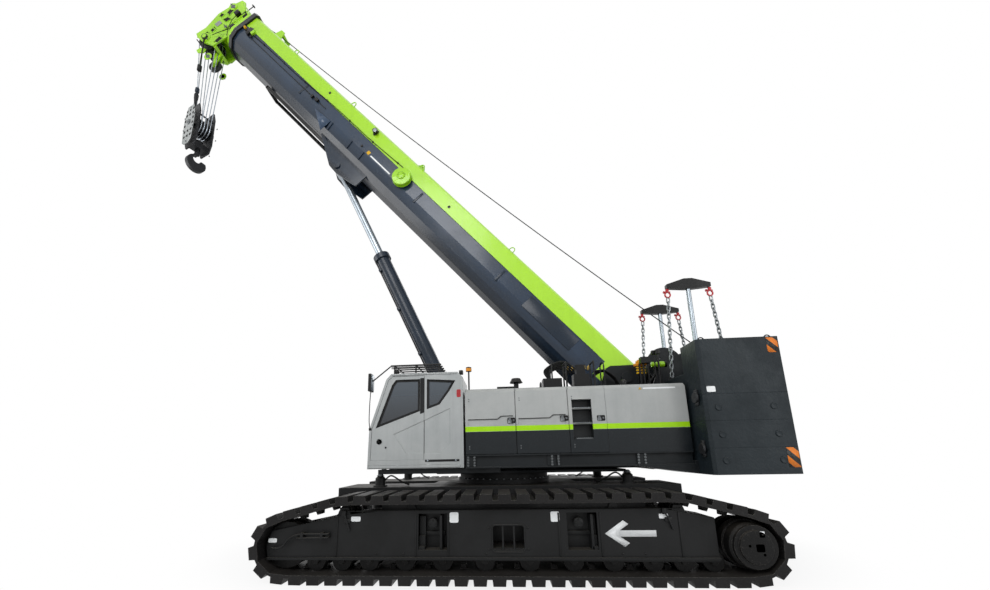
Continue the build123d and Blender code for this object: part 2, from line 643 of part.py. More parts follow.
def door_spans():
    """Rear and front x of each service door, half a gap inside the panel seams."""
    half = DOOR_GAP / 2
    return [(PANEL_SEAMS[i + 1] + half, PANEL_SEAMS[i] - half) for i in range(DOOR_COUNT)]


def side_housing():
    """Housing on the left of the boom: walls, deck and partitions, open where its doors hang."""
    body = prism_x([(HOUSING_INNER_Y, SIDE_FLOOR_TOP_Z), (HOUSING_Y, SIDE_FLOOR_TOP_Z),
                    (HOUSING_Y, DECK_Z - DECK_BEVEL), (BEVEL_TOP_Y, DECK_Z), (HOUSING_INNER_Y, DECK_Z)],
                   HOUSING_REAR_X, HOUSING_FRONT_X)
    for x0, x1 in zip(PANEL_SEAMS[1:], PANEL_SEAMS[:-1]):
        body -= box(x0 + SHEET / 2, x1 - SHEET / 2, HOUSING_INNER_Y + SHEET, DOOR_INNER_Y,
                    SIDE_FLOOR_TOP_Z + 0.5, DECK_Z - DECK_BEVEL - SHEET)
    doors_rear = PANEL_SEAMS[DOOR_COUNT]
    edge = BEVEL_TOP_Y - DOOR_GAP
    body -= box(doors_rear, HOUSING_FRONT_X + 1, edge, HOUSING_Y + 1, SIDE_FLOOR_TOP_Z - 1, DECK_Z + 1)
    return body


def pocket(x0, x1):
    """Stepped pressing along a door, deeper in height toward the rear."""
    step = x1 - 0.66 * (x1 - x0)
    outline = [(x0, POCKET_FOOT_Z), (x1, POCKET_FOOT_Z), (x1, POCKET_TOP_Z), (step, POCKET_TOP_Z),
               (step - POCKET_STEP, POCKET_TOP_Z + POCKET_STEP), (x0, POCKET_TOP_Z + POCKET_STEP)]
    return prism_y(outline, HOUSING_Y - POCKET_DEPTH, HOUSING_Y + 1)


def louvres(x0, x1, count=9):
    """Row of vent slots."""
    return [box(x0, x1, HOUSING_Y - POCKET_DEPTH, HOUSING_Y + 1, z, z + 34)
            for z in (DOOR_BOTTOM_Z + 240 + 78 * k for k in range(count))]


def ladder_tray(x1):
    """Sunken tray with step rungs, closed behind; returns the body to add and the hollow to cut."""
    rear, front = x1 - 406, x1 - 66
    back = HOUSING_Y - LADDER_DEPTH
    hull = box(rear - 12, front + 12, back - 12, HOUSING_Y - 2, LADDER_BOTTOM_Z - 12, LADDER_TOP_Z + 12)
    hollow = box(rear, front, back, HOUSING_Y + 1, LADDER_BOTTOM_Z, LADDER_TOP_Z)
    rungs = [box(rear - 5, front + 5, HOUSING_Y - 75, HOUSING_Y - 25, z - 15, z + 15) for z in LADDER_RUNGS_Z]
    return hull, hollow, rungs


def service_door(x0, x1):
    """Door leaf with a round hinge nose at its front edge; the hinge pin rests on the platform."""
    hinge_x, hinge_y = x1 - HINGE_INSET, HOUSING_Y - HINGE_INSET
    bend_z = DECK_Z - DECK_BEVEL
    leaf = prism_x([(DOOR_INNER_Y, DOOR_BOTTOM_Z), (HOUSING_Y, DOOR_BOTTOM_Z), (HOUSING_Y, bend_z),
                    (BEVEL_TOP_Y, DECK_Z), (BEVEL_TOP_Y, bend_z + 3), (DOOR_INNER_Y, bend_z - 17)], x0, hinge_x)
    nose = rod_z(HINGE_INSET, hinge_x, hinge_y, DOOR_BOTTOM_Z, bend_z)
    pin = rod_z(10, hinge_x, hinge_y, SIDE_FLOOR_TOP_Z + RUN_CLEARANCE, DOOR_BOTTOM_Z + 5)
    return leaf + nose + pin


def left_doors():
    doors = []
    for index, (x0, x1) in enumerate(door_spans(), start=1):
        door = service_door(x0, x1)
        if index == DOOR_COUNT:
            hull, hollow, rungs = ladder_tray(x1)
            door = door + hull - hollow
            for rung in rungs:
                door += rung
        else:
            door -= pocket(x0 + 45, x1 - 50)
        doors.append(door)
    return doors


def right_doors():
    doors = []
    for x0, x1 in door_spans():
        door = service_door(x0, x1)
        for slot in louvres(x0 + 90, x1 - 90):
            door -= slot
        doors.append(other_side(door))
    return doors


def engine():
    rear, front = PANEL_SEAMS[2] + 60, PANEL_SEAMS[1] - 60
    return box(rear, front, -1330, -HOUSING_INNER_Y - SHEET - 40, SIDE_FLOOR_TOP_Z + 1, 2600)


def hoop(x, y0, y1, top_z):
    """Guard hoop across the deck."""
    legs = strut(16, (x, y0, DECK_Z), (x, y0, top_z)) + strut(16, (x, y1, DECK_Z), (x, y1, top_z))
    return legs + rod_between_y(16, x, top_z, y0, y1)


def rod_between_y(radius, x, z, y0, y1):
    ends = Pos(x, y0, z) * Sphere(radius) + Pos(x, y1, z) * Sphere(radius)
    return ends + rod_y(radius, x, z, y0, y1)


def deck_fittings():
    """Fittings along the left deck, front to rear, and the exhaust on the right."""
    step_box = box(-310, 70, 1120, 1330, DECK_Z, 2980)
    intake = rod_z(45, -290, 1180, DECK_Z, 3075) + Pos(-290, 1180, 3110) * Cone(122, 80, 80)
    tool_box = box(-1120, -780, 1080, 1320, DECK_Z, 3110)
    valves = box(-1620, -1340, 1100, 1300, DECK_Z, 3180) + box(-1560, -1400, 1130, 1270, 3180, 3360)
    dome = rod_z(60, -2230, 1250, DECK_Z, DECK_Z + 65) + Pos(-2230, 1250, DECK_Z + 65) * Sphere(60)
    lamp_box = box(-2860, -2690, 850, 960, 3420, 3540)
    for x in (-2830, -2745, -2675):
        lamp_box += box(x - 14, x + 14, 880, 908, DECK_Z, 3425)
    post = rod_z(18, -3020, 930, DECK_Z, 3600) + rod_z(45, -3020, 930, 3590, 3670)
    hoops = [hoop(-1200, 1060, 1340, 3400), hoop(-1700, 1060, 1340, 3400)]
    exhaust = rod_z(70, -700, -1000, DECK_Z, 3330)
    step_box = step_box - box(-400, -240, 1100, 1260, DECK_Z - 1, 2990)
    return [step_box, intake, tool_box, valves, dome, lamp_box, post, exhaust] + hoops


# ================= Boom =================

def boom_pose(shape):
    """Takes a shape from boom axes (x along the boom, z over it, origin at the pivot) to its place."""
    return Pos(PIVOT_X, 0, PIVOT_Z) * Rot(0, -LUFF_ANGLE, 0) * shape


def boom_point(u, n):
    """Place in the machine of a point given in boom axes."""
    angle = math.radians(LUFF_ANGLE)
    return (PIVOT_X + u * math.cos(angle) - n * math.sin(angle), PIVOT_Z + u * math.sin(angle) + n * math.cos(angle))


def section_outline(inset):
    """U-shaped cross-section as (y, z) points, its belly folded in equal bends, shrunk by an inset."""
    half = BOOM_HALF_WIDTH - inset
    top = BOOM_TOP - inset
    belly_z = BOOM_BOTTOM + BOOM_HALF_WIDTH
    points = [(half, top - BOOM_CORNER), (half - BOOM_CORNER, top), (BOOM_CORNER - half, top), (-half, top - BOOM_CORNER)]
    for k in range(BELLY_FACETS + 1):
        angle = math.pi * (1 + k / BELLY_FACETS)
        points.append((half * math.cos(angle), belly_z + half * math.sin(angle)))
    return points


def folded_tube(outer_inset, inner_inset, x0, x1):
    """Panels of a tube between two insets of the section, each parted from the next at its bend."""
    outer, inner = section_outline(outer_inset), section_outline(inner_inset)
    panels = []
    for k in range(len(outer)):
        after = (k + 1) % len(outer)
        (ay, az), (by, bz), (cy, cz), (dy, dz) = outer[k], outer[after], inner[after], inner[k]
        length = math.hypot(by - ay, bz - az)
        sy, sz = (by - ay) / length * WELD_GAP / 2, (bz - az) / length * WELD_GAP / 2
        panels.append(prism_x([(ay + sy, az + sz), (by - sy, bz - sz), (cy - sy, cz - sz), (dy + sy, dz + sz)], x0, x1))
    return panels


FIRST_FOLD = 4
ROOF, LEFT_SIDE, RIGHT_SIDE = 1, 3, FIRST_FOLD + BELLY_FACETS
LOWEST_FOLD = FIRST_FOLD + BELLY_FACETS // 2
PAD_SIDES = (ROOF, LEFT_SIDE, LOWEST_FOLD - 1, LOWEST_FOLD, RIGHT_SIDE)


def wear_pads(inset, x1):
    """Slide pads in the mouth of a section: under its roof, on both sides and in its belly."""
    wall, slide = section_outline(inset + SECTION_WALL), section_outline(inset + SECTION_STEP)
    pads = []
    for k in PAD_SIDES:
        after = (k + 1) % len(wall)
        corners = []
        for share in (0.3, 0.7):
            wy, wz = (wall[k][i] + share * (wall[after][i] - wall[k][i]) for i in (0, 1))
            sy, sz = (slide[k][i] + share * (slide[after][i] - slide[k][i]) for i in (0, 1))
            reach = math.hypot(sy - wy, sz - wz)
            ty, tz = (sy - wy) / reach * RUN_CLEARANCE * 1.3, (sz - wz) / reach * RUN_CLEARANCE * 1.3
            corners.append([(wy + ty, wz + tz), (sy - ty, sz - tz)])
        (a, b), (c, d) = corners
        pads.append(prism_x([a, b, d, c], x1 - 190, x1 - 40))
    return pads


def foot_cheek():
    """Left end plate of the boom with its pivot eye."""
    y1 = BOOM_HALF_WIDTH
    belly_z = BOOM_BOTTOM + BOOM_HALF_WIDTH
    plate = prism_y([(BOOM_FOOT, -250), (-60, belly_z), (FOOT_CHEEK_END, belly_z), (FOOT_CHEEK_END, BOOM_TOP - BOOM_CORNER),
                     (BOOM_FOOT + 60, BOOM_TOP - BOOM_CORNER), (BOOM_FOOT, 200)], y1 - SECTION_WALL - 18, y1)
    eye = rod_y(170, 0, 0, y1 - SECTION_WALL - 48, y1 + 12)
    return plate + eye - rod_y(PIVOT_PIN_RADIUS + RUN_CLEARANCE, 0, 0, 0, y1 + 50)


def eye_bracket():
    """Left plate of the bracket under the boom that holds the rod of the luffing cylinder."""
    outline = [(EYE_U + 1050, -740), (EYE_U + 160, -1170), (EYE_U - 140, -1190), (EYE_U - 790, -1080),
               (EYE_U - 790, -930), (EYE_U - 790, -700), (EYE_U + 1050, -700)]
    plate = prism_y(outline, EYE_BRACKET_Y, EYE_BRACKET_Y + EYE_BRACKET_PLATE)
    cap = rod_y(EYE_PIN_RADIUS + 20, EYE_U, EYE_N, EYE_BRACKET_Y + EYE_BRACKET_PLATE + WELD_GAP, EYE_BRACKET_Y + 60)
    return [plate - tube_core(), cap]


def tube_core():
    """Full prism of the base section, a weld gap larger all round, for trimming what stands on it."""
    outline = section_outline(-WELD_GAP)
    return prism_x(outline, BOOM_FOOT - 500, BOOM_LENGTH + 500)


def eye_spacer():
    """Boss on the inner face of a bracket plate, beside the rod eye."""
    return rod_y(EYE_PIN_RADIUS + 25, EYE_U, EYE_N, ROD_EYE_HALF + RUN_CLEARANCE, EYE_BRACKET_Y - WELD_GAP)


def saddle_straps():
    """Straps on the upper belly folds where the bracket pulls on the base section."""
    straps = []
    for u in (EYE_U - 360, EYE_U + 110, EYE_U + 900):
        band = folded_tube(-22, -WELD_GAP, u - 30, u + 30)
        straps += [band[FIRST_FOLD], band[FIRST_FOLD + BELLY_FACETS - 1]]
    return straps


def boom_base():
    cut = prism_y([(BOOM_FOOT - 220, -330), (BOOM_FOOT - 20, -330), (500, -900), (BOOM_FOOT - 220, -900)], -500, 500)
    panels = []
    for index, panel in enumerate(folded_tube(0, SECTION_WALL, BOOM_FOOT, BOOM_LENGTH)):
        if index in (LEFT_SIDE, RIGHT_SIDE):
            panel = panel - box(BOOM_FOOT - 1, FOOT_CHEEK_END + WELD_GAP, -500, 500, -900, 400)
        panels.append(panel - cut)
    bracket = both_sides(*eye_bracket(), eye_spacer()) + saddle_straps()
    pin = rod_y(EYE_PIN_RADIUS, EYE_U, EYE_N, -ROD_EYE_HALF, ROD_EYE_HALF)
    collar = folded_tube(-COLLAR_RISE, -WELD_GAP, BOOM_LENGTH - COLLAR_LENGTH, BOOM_LENGTH)
    return panels + collar + wear_pads(0, BOOM_LENGTH) + both_sides(foot_cheek()) + bracket + [pin]


def boom_section(index):
    """Inner section, counted from the base; the last one carries the green head ring."""
    inset = SECTION_STEP * index
    x0 = FOOT_CHEEK_END + 120 * index
    last = index == SECTION_COUNT
    x1 = HEAD_U if last else BOOM_LENGTH + SECTION_SHOW * index
    panels = folded_tube(inset, inset + SECTION_WALL, x0, x1)
    if last:
        return panels + folded_tube(inset - HEAD_RING_RISE, inset - WELD_GAP, HEAD_U - HEAD_RING_LENGTH, HEAD_U)
    return panels + wear_pads(inset, x1)


# ---- Boom head ----

HEAD_SIDE = ((WELD_GAP, 290), (400, 320), (600, 470), (740, 450), (830, 140), (890, -310), (760, -860), (800, -1190),
             (640, -1230), (330, -1200), (60, -1080), (WELD_GAP, -640))


def head_frame():
    """Side plates of the boom head, tied by cross plates, with the bracket of the lower sheave."""
    outline = [(HEAD_U + u, n) for u, n in HEAD_SIDE]
    head = prism_y(outline, HEAD_PLATE_Y, HEAD_PLATE_Y + HEAD_PLATE)
    head += prism_y(outline, -HEAD_PLATE_Y - HEAD_PLATE, -HEAD_PLATE_Y)
    across = (-HEAD_PLATE_Y - 5, HEAD_PLATE_Y + 5)
    head += box(HEAD_U + WELD_GAP, HEAD_U + 30, -300, 300, -620, 230)
    head += prism_y([(HEAD_U + 30, 250), (HEAD_U + 400, 300), (HEAD_U + 400, 270), (HEAD_U + 30, 220)], *across)
    head += prism_y([(HEAD_U + 800, -300), (HEAD_U + 870, -310), (HEAD_U + 745, -830), (HEAD_U + 715, -820)], *across)
    head += prism_y([(HEAD_U + 30, -560), (HEAD_U + 330, -700), (HEAD_U + 330, -730), (HEAD_U + 30, -600)], *across)
    head += rod_y(50, *TOP_SHEAVE, -HEAD_PLATE_Y - 50, HEAD_PLATE_Y + 50)
    head += rod_y(60, *MAIN_SHEAVE, -HEAD_PLATE_Y - 50, 340)
    u, n = LOWER_SHEAVE
    arm = [(HEAD_U + 20, -1010), (HEAD_U + 210, -1160), (u + 40, n - 60), (u - 40, n - 60), (u - 60, n + 20)]
    for y in (-60, 32):
        head += prism_y(arm, y, y + 28)
    head += box(HEAD_U + 20, HEAD_U + 110, *across, -1095, -1010)
    return head + rod_y(30, u, n, -66, 66)


def grooved_sheave(radius, width, bore):
    half = width / 2
    return turned([(bore, 12 - half), (radius - 45, 12 - half), (radius - 40, -half), (radius, -half),
                   (radius - 20, 0), (radius, half), (radius - 40, half), (radius - 45, half - 12), (bore, half - 12)])


def head_sheaves():
    main = grooved_sheave(MAIN_SHEAVE_RADIUS, 60, 60 + RUN_CLEARANCE)
    top = grooved_sheave(TOP_SHEAVE_RADIUS, 60, 50 + RUN_CLEARANCE)
    lower = grooved_sheave(LOWER_SHEAVE_RADIUS, 56, 30 + RUN_CLEARANCE)
    wheels = [Pos(MAIN_SHEAVE[0], y, MAIN_SHEAVE[1]) * main for y in MAIN_SHEAVE_Y]
    wheels += [Pos(TOP_SHEAVE[0], y, TOP_SHEAVE[1]) * top for y in TOP_SHEAVE_Y]
    return wheels + [Pos(LOWER_SHEAVE[0], 0, LOWER_SHEAVE[1]) * lower]


def limit_weight():
    """Hoist limit weight on its hanger, round the outer end of the main sheave pin."""
    x, z = boom_point(*MAIN_SHEAVE)
    y = 320
    bottom = z - WEIGHT_DROP
    body = rod_y(85, x, z, y - 12, y + 12) + box(x - 12, x + 12, y - 12, y + 12, bottom, z - 70)
    body += rod_z(55, x, y, bottom - 150, bottom)
    return body - rod_y(60 + RUN_CLEARANCE, x, z, y - 20, y + 20)


# ---- Fittings fixed on the base section ----

GUIDE_U = 13230
REEL = (6871, -201)
REEL_RADIUS = 230


def boom_fittings():
    """Rope guide and lug on the roof of the boom, cable reel and jib bracket on its left side."""
    roof = BOOM_TOP + WELD_GAP
    guide = [prism_y([(GUIDE_U - 180, roof), (GUIDE_U + 170, roof), (GUIDE_U + 90, 650), (GUIDE_U - 60, 650)], y, y + 16)
             for y in (-150, 134)]
    guide.append(rod_y(45, GUIDE_U + 10, 590, WELD_GAP - 134, 134 - WELD_GAP))
    lug = prism_y([(6720, roof), (6980, roof), (6900, roof + 80), (6800, roof + 80)], 330, 350)
    side = BOOM_HALF_WIDTH + WELD_GAP
    reel = turned([(0, 0), (REEL_RADIUS, 0), (REEL_RADIUS, 14), (REEL_RADIUS - 60, 22), (REEL_RADIUS - 60, 60),
                   (REEL_RADIUS, 68), (REEL_RADIUS, 82), (100, 82), (90, 112), (0, 112)])
    reel = Pos(REEL[0], side + 30, REEL[1]) * reel
    arm = box(REEL[0] - 60, REEL[0] + 60, side, side + 30 - WELD_GAP, REEL[1] - 120, REEL[1] + 120)
    bracket = prism_y([(13330, -160), (13560, -160), (13560, -30), (13420, 0), (13330, -60)], side, side + 50)
    return guide + [lug, reel, arm, bracket]


# ================= Luffing cylinder =================

def cylinder_axis():
    """Length and slope in degrees from the foot pin to the rod eye."""
    eye_x, eye_z = boom_point(EYE_U, EYE_N)
    return math.hypot(eye_x - FOOT_X, eye_z - FOOT_Z), math.degrees(math.atan2(eye_z - FOOT_Z, eye_x - FOOT_X))


def cylinder_pose(shape):
    """Takes a shape from cylinder axes (x from foot pin to rod eye) to its place."""
    return Pos(FOOT_X, 0, FOOT_Z) * Rot(0, -cylinder_axis()[1], 0) * shape


def luff_barrel():
    tube = rod_x(BARREL_RADIUS, 0, 0, 160, BARREL_LENGTH)
    tube += rod_x(BARREL_COLLAR_RADIUS, 0, 0, BARREL_LENGTH - 130, BARREL_LENGTH)
    tube += rod_x(BARREL_RADIUS + 12, 0, 0, 170, 230)
    tube -= rod_x(ROD_RADIUS + 22, 0, 0, 260, BARREL_LENGTH - 100)
    tube -= rod_x(ROD_RADIUS + 2, 0, 0, 260, BARREL_LENGTH + 10)
    half = FOOT_LUG_Y - RUN_CLEARANCE
    tube += rod_y(150, 0, 0, -half, half) + box(0, 200, -140, 140, -120, 120)
    return tube - rod_y(FOOT_PIN_RADIUS + RUN_CLEARANCE, 0, 0, -300, 300)


def luff_rod():
    span = cylinder_axis()[0]
    bar = rod_x(ROD_RADIUS, 0, 0, span - ROD_LENGTH, span - 90)
    bar += rod_x(ROD_RADIUS + 18, 0, 0, span - ROD_LENGTH, span - ROD_LENGTH + 200)
    bar += rod_y(125, span, 0, -ROD_EYE_HALF, ROD_EYE_HALF)
    return bar - rod_y(EYE_PIN_RADIUS + RUN_CLEARANCE, span, 0, -300, 300)


# ================= Hook block =================

def block_pose(shape):
    """Takes a shape from block axes (origin under its trunnion, plates along x) to its place."""
    x, z = boom_point(*MAIN_SHEAVE)
    return Pos(x, 0, z - BLOCK_DROP) * Rot(0, 0, BLOCK_TURN) * shape


def hook_block():
    half = BLOCK_WIDTH / 2
    outline = [(-half + 90, 0), (half - 90, 0), (half, 220), (half, BLOCK_HEIGHT - 340), (half - 70, BLOCK_HEIGHT - 40),
               (-half + 90, BLOCK_HEIGHT), (-half, BLOCK_HEIGHT - 260), (-half, 220)]
    cheek = prism_y(outline, BLOCK_CHEEK_Y, BLOCK_CHEEK_Y + BLOCK_PLATE)
    body = box(-130, 130, -BLOCK_CHEEK_Y - 5, BLOCK_CHEEK_Y + 5, 50, 210) + cheek + other_side(cheek)
    body += rod_y(55, 0, 700, -BLOCK_CHEEK_Y - 60, BLOCK_CHEEK_Y + 60)
    for x in (-half + 60, half - 60):
        body += rod_y(24, x, BLOCK_HEIGHT - 330, -BLOCK_CHEEK_Y - 5, BLOCK_CHEEK_Y + 5)
    body -= rod_z(62, 0, 0, 0, 260)
    sheave = turned([(55 + RUN_CLEARANCE, -16), (200, -16), (205, -28), (245, -28), (225, 0), (245, 28), (205, 28),
                     (200, 16), (55 + RUN_CLEARANCE, 16)])
    return [body] + [Pos(0, y, 700) * sheave for y in (-110, -37, 37, 110)]


def hook():
    """Single hook: a crescent between two circles with its shank and nut, its tip to the right."""
    outer_radius, bowl_radius, thickness = 232, 98, 110
    outer_z = -HOOK_DROP + outer_radius
    bowl_z = outer_z + 112
    mouth = [(0, bowl_z + 90), (20, bowl_z), (-140, bowl_z - 4), (-250, outer_z + 90), (-300, bowl_z + 400),
             (-52, bowl_z + 420), (-52, bowl_z + 180)]
    crescent = rod_x(outer_radius, 0, outer_z, -thickness / 2, thickness / 2)
    crescent += prism_x([(-75, -110), (75, -110), (150, outer_z + 120), (-60, outer_z + 120)], -thickness / 2, thickness / 2)
    crescent -= rod_x(bowl_radius, 0, bowl_z, -thickness, thickness)
    crescent -= prism_x(mouth, -thickness, thickness)
    crescent = crescent.solids().sort_by(SortBy.VOLUME)[-1]
    return crescent + rod_z(60, 0, 0, -115, 230) + rod_z(100, 0, 0, 210 + RUN_CLEARANCE, 300)


# ================= Counterweight =================

def slab(z0, z1):
    front, side = CW_FRONT_X, CW_HALF_WIDTH
    plan = [(front, CW_NOTCH_Y), (front, side - CW_CHAMFER), (front - CW_CHAMFER, side), (CW_REAR_X, side),
            (CW_TAIL_X, side - 733), (CW_TAIL_X, 733 - side), (CW_REAR_X, -side), (front - CW_CHAMFER, -side),
            (front, CW_CHAMFER - side), (front, -CW_NOTCH_Y), (CW_NOTCH_X, -CW_NOTCH_Y), (CW_NOTCH_X, CW_NOTCH_Y)]
    body = prism_z(plan, z0, z1)
    for y in (-COLUMN_Y, COLUMN_Y):
        body -= rod_z(COLUMN_RADIUS + 10, COLUMN_X, y, z0 - 1, z1 + 1)
    return body


def slab_levels():
    levels = [CW_BASE_Z]
    for height in CW_SLAB_HEIGHTS:
        levels.append(levels[-1] + height)
    return levels


def top_slab():
    """Upper slab, its two wings standing above the winch deck."""
    body = slab(slab_levels()[-1], CW_TOP_Z)
    body -= box(CW_FRONT_X + 1, CW_REAR_X, -CW_WING_Y, CW_WING_Y, CW_DECK_Z, CW_TOP_Z + 1)
    return body


def lift_column(side):
    """Jacking column of the counterweight with its rod and cross beam."""
    y = side * COLUMN_Y
    column = rod_z(COLUMN_RADIUS, COLUMN_X, y, CW_BASE_Z + 40, CW_DECK_Z + 180)
    column += rod_z(COLUMN_ROD_RADIUS, COLUMN_X, y, CW_DECK_Z, COLUMN_TOP_Z)
    edges = sorted((side * (WINCH_PLATE_Y + RUN_CLEARANCE), y))
    column += box(COLUMN_X - 70, COLUMN_X + 70, *edges, CW_DECK_Z + 20, CW_DECK_Z + 140)
    beam = [(-430, 0), (-430, 80), (-80, 190), (80, 190), (430, 80), (430, 0), (80, -30), (-80, -30)]
    return column + Pos(COLUMN_X, 0, COLUMN_TOP_Z) * prism_y(beam, y - 50, y + 50)


def winch_frame():
    """Plates that carry both drum shafts, set on the tail of the revolving frame."""
    inner = WINCH_PLATE_Y - WINCH_PLATE
    rear, front = TAIL_X, TOWER_REAR_X
    plate = prism_y([(rear, TAIL_TOP_Z), (rear + 50, 3700), (rear + 250, 3700), (front - 300, 3650), (front, TAIL_TOP_Z)],
                    inner, WINCH_PLATE_Y)
    frame = plate + other_side(plate)
    for drum_centre in (MAIN_DRUM, AUX_DRUM):
        frame += rod_y(DRUM_SHAFT_RADIUS, *drum_centre, -inner - 5, inner + 5)
    return frame


def drum(x, z):
    """Winch drum with its two flanges and a turn of rope grooves."""
    half = WINCH_PLATE_Y - WINCH_PLATE - 15
    profile = [(DRUM_SHAFT_RADIUS + 0.5, -half), (DRUM_FLANGE_RADIUS, -half), (DRUM_FLANGE_RADIUS, 30 - half),
               (DRUM_RADIUS, 30 - half), (DRUM_RADIUS, half - 30), (DRUM_FLANGE_RADIUS, half - 30),
               (DRUM_FLANGE_RADIUS, half), (DRUM_SHAFT_RADIUS + 0.5, half)]
    return Pos(x, 0, z) * turned(profile)


# ================= Cab =================

ROOF_FRONT_X = CAB_FRONT_X - 399
PILLAR_TOP = (CAB_FRONT_X - 307, CAB_ROOF_Z - 101)
PILLAR_FOOT = (CAB_FRONT_X - 14, CAB_FLOOR_Z + 699)
CAB_OUTLINE = [(CAB_REAR_X, CAB_FLOOR_Z), (CAB_FRONT_X, CAB_FLOOR_Z), PILLAR_FOOT, PILLAR_TOP,
               (ROOF_FRONT_X, CAB_ROOF_Z), (CAB_REAR_X + 95, CAB_ROOF_Z), (CAB_REAR_X, CAB_ROOF_Z - 100)]
DOOR_WINDOW = [(1475, 2555), (2284, 2261), (2000, 3050), (1925, 3144), (1475, 3144)]
REAR_WINDOW = [(1350, 2584), (1350, 3138), (826, 3100), (933, 2913), (1116, 2666), (1186, 2640)]
CREASE_PANEL = [(1950, 2150), (1395, 2383), (930, 2590), (930, 1980), (1104, 1791), (1721, 1809)]
CREASE_DEPTH = 8
ROOF_WINDOW_X = (1120, 1960)


def inset_outline(points, distance):
    """Moves each side of a counterclockwise outline inward by a distance."""
    moved = []
    count = len(points)
    for i in range(count):
        (ax, az), (bx, bz), (cx, cz) = points[i - 1], points[i], points[(i + 1) % count]
        la, lc = math.hypot(bx - ax, bz - az), math.hypot(cx - bx, cz - bz)
        n0 = (-(bz - az) / la, (bx - ax) / la)
        n1 = (-(cz - bz) / lc, (cx - bx) / lc)
        scale = 2 * distance / ((n0[0] + n1[0]) ** 2 + (n0[1] + n1[1]) ** 2)
        moved.append((bx + (n0[0] + n1[0]) * scale, bz + (n0[1] + n1[1]) * scale))
    return moved


def door_outline(gap):
    top = CAB_ROOF_Z - 50 - gap
    sill = CAB_DOOR_SILL_Z + min(gap, RUN_CLEARANCE)
    return [(DOOR_REAR_X + gap, sill), (CAB_FRONT_X - 48 - gap, sill),
            (PILLAR_FOOT[0] - 46 - gap, PILLAR_FOOT[1]), (PILLAR_TOP[0] - 42 - gap, PILLAR_TOP[1] - 16),
            (ROOF_FRONT_X - 30 - gap, top), (DOOR_REAR_X + gap, top)]


def windshield_corner(depth, share):
    """Point on the slanted front, set back by a depth, at a share of the way up the pillar."""
    x = PILLAR_FOOT[0] + share * (PILLAR_TOP[0] - PILLAR_FOOT[0])
    z = PILLAR_FOOT[1] + share * (PILLAR_TOP[1] - PILLAR_FOOT[1])
    length = math.hypot(PILLAR_TOP[0] - PILLAR_FOOT[0], PILLAR_TOP[1] - PILLAR_FOOT[1])
    nx, nz = (PILLAR_TOP[1] - PILLAR_FOOT[1]) / length, (PILLAR_FOOT[0] - PILLAR_TOP[0]) / length
    return (x - nx * depth, z - nz * depth)


def windshield_slot(near, far, low, high, y0, y1):
    return prism_y([windshield_corner(near, low), windshield_corner(near, high), windshield_corner(far, high),
                    windshield_corner(far, low)], y0, y1)


CREASE_CUT = prism_y(CREASE_PANEL, HOUSING_Y - CREASE_DEPTH, HOUSING_Y + 1)


def cab_side(y0, y1):
    """One side wall of the cab, still without its openings."""
    return prism_y(CAB_OUTLINE, y0, y1)


def cab_shell():
    """Cab body: two side walls and the panels that follow its outline between them, each a welded sheet of its own."""
    outer_y, inner_y = HOUSING_Y - CAB_WALL, CAB_INNER_Y + CAB_WALL
    left = cab_side(outer_y, HOUSING_Y) - prism_y(door_outline(0), outer_y - 1, HOUSING_Y + 1)
    left -= prism_y(REAR_WINDOW, outer_y - 1, HOUSING_Y + 1)
    left += box(CAB_REAR_X + 60, CAB_FRONT_X - 30, HOUSING_Y - 5, HOUSING_Y + 12, CAB_FLOOR_Z + 13, CAB_FLOOR_Z + 60)
    left -= CREASE_CUT
    right = cab_side(CAB_INNER_Y, inner_y)
    right -= prism_y(REAR_WINDOW, CAB_INNER_Y - 1, inner_y + 1) + prism_y(DOOR_WINDOW, CAB_INNER_Y - 1, inner_y + 1)
    openings = windshield_slot(-100, 100, 0.04, 0.94, CAB_INNER_Y + 70, HOUSING_Y - 70)
    openings += box(*ROOF_WINDOW_X, CAB_INNER_Y + 130, HOUSING_Y - 130, CAB_ROOF_Z - 60, CAB_ROOF_Z + 1)
    inside = inset_outline(CAB_OUTLINE, CAB_WALL)
    panels = []
    for i in range(len(CAB_OUTLINE)):
        corners = [CAB_OUTLINE[i - 1], CAB_OUTLINE[i], inside[i], inside[i - 1]]
        panel = prism_y(inset_outline(corners, WELD_GAP / 2), inner_y + WELD_GAP, outer_y - WELD_GAP)
        panels.append(panel - openings)
    return [left, right, *panels]


def cab_door():
    body = prism_y(door_outline(DOOR_GAP), HOUSING_Y - CAB_WALL, HOUSING_Y)
    body -= prism_y(DOOR_WINDOW, HOUSING_Y - CAB_WALL - 1, HOUSING_Y + 1)
    body -= CREASE_CUT
    cup = rod_y(45, 2213, 2020, HOUSING_Y - 18, HOUSING_Y + 1)
    return body - cup


def pane(window, y):
    return prism_y(inset_outline(window, WELD_GAP), y, y + GLASS)


def cab_glass():
    """Panes of the door, the rear side windows, the right side, the windshield and the roof."""
    left, right = HOUSING_Y - 26, CAB_INNER_Y + 18
    panes = [pane(window, y) for y in (left, right) for window in (DOOR_WINDOW, REAR_WINDOW)]
    panes.append(windshield_slot(18, 26, 0.041, 0.939, CAB_INNER_Y + 70.5, HOUSING_Y - 70.5))
    x0, x1 = ROOF_WINDOW_X
    panes.append(box(x0 + WELD_GAP, x1 - WELD_GAP, CAB_INNER_Y + 130 + WELD_GAP, HOUSING_Y - 130 - WELD_GAP,
                     CAB_ROOF_Z - 28, CAB_ROOF_Z - 20))
    return panes


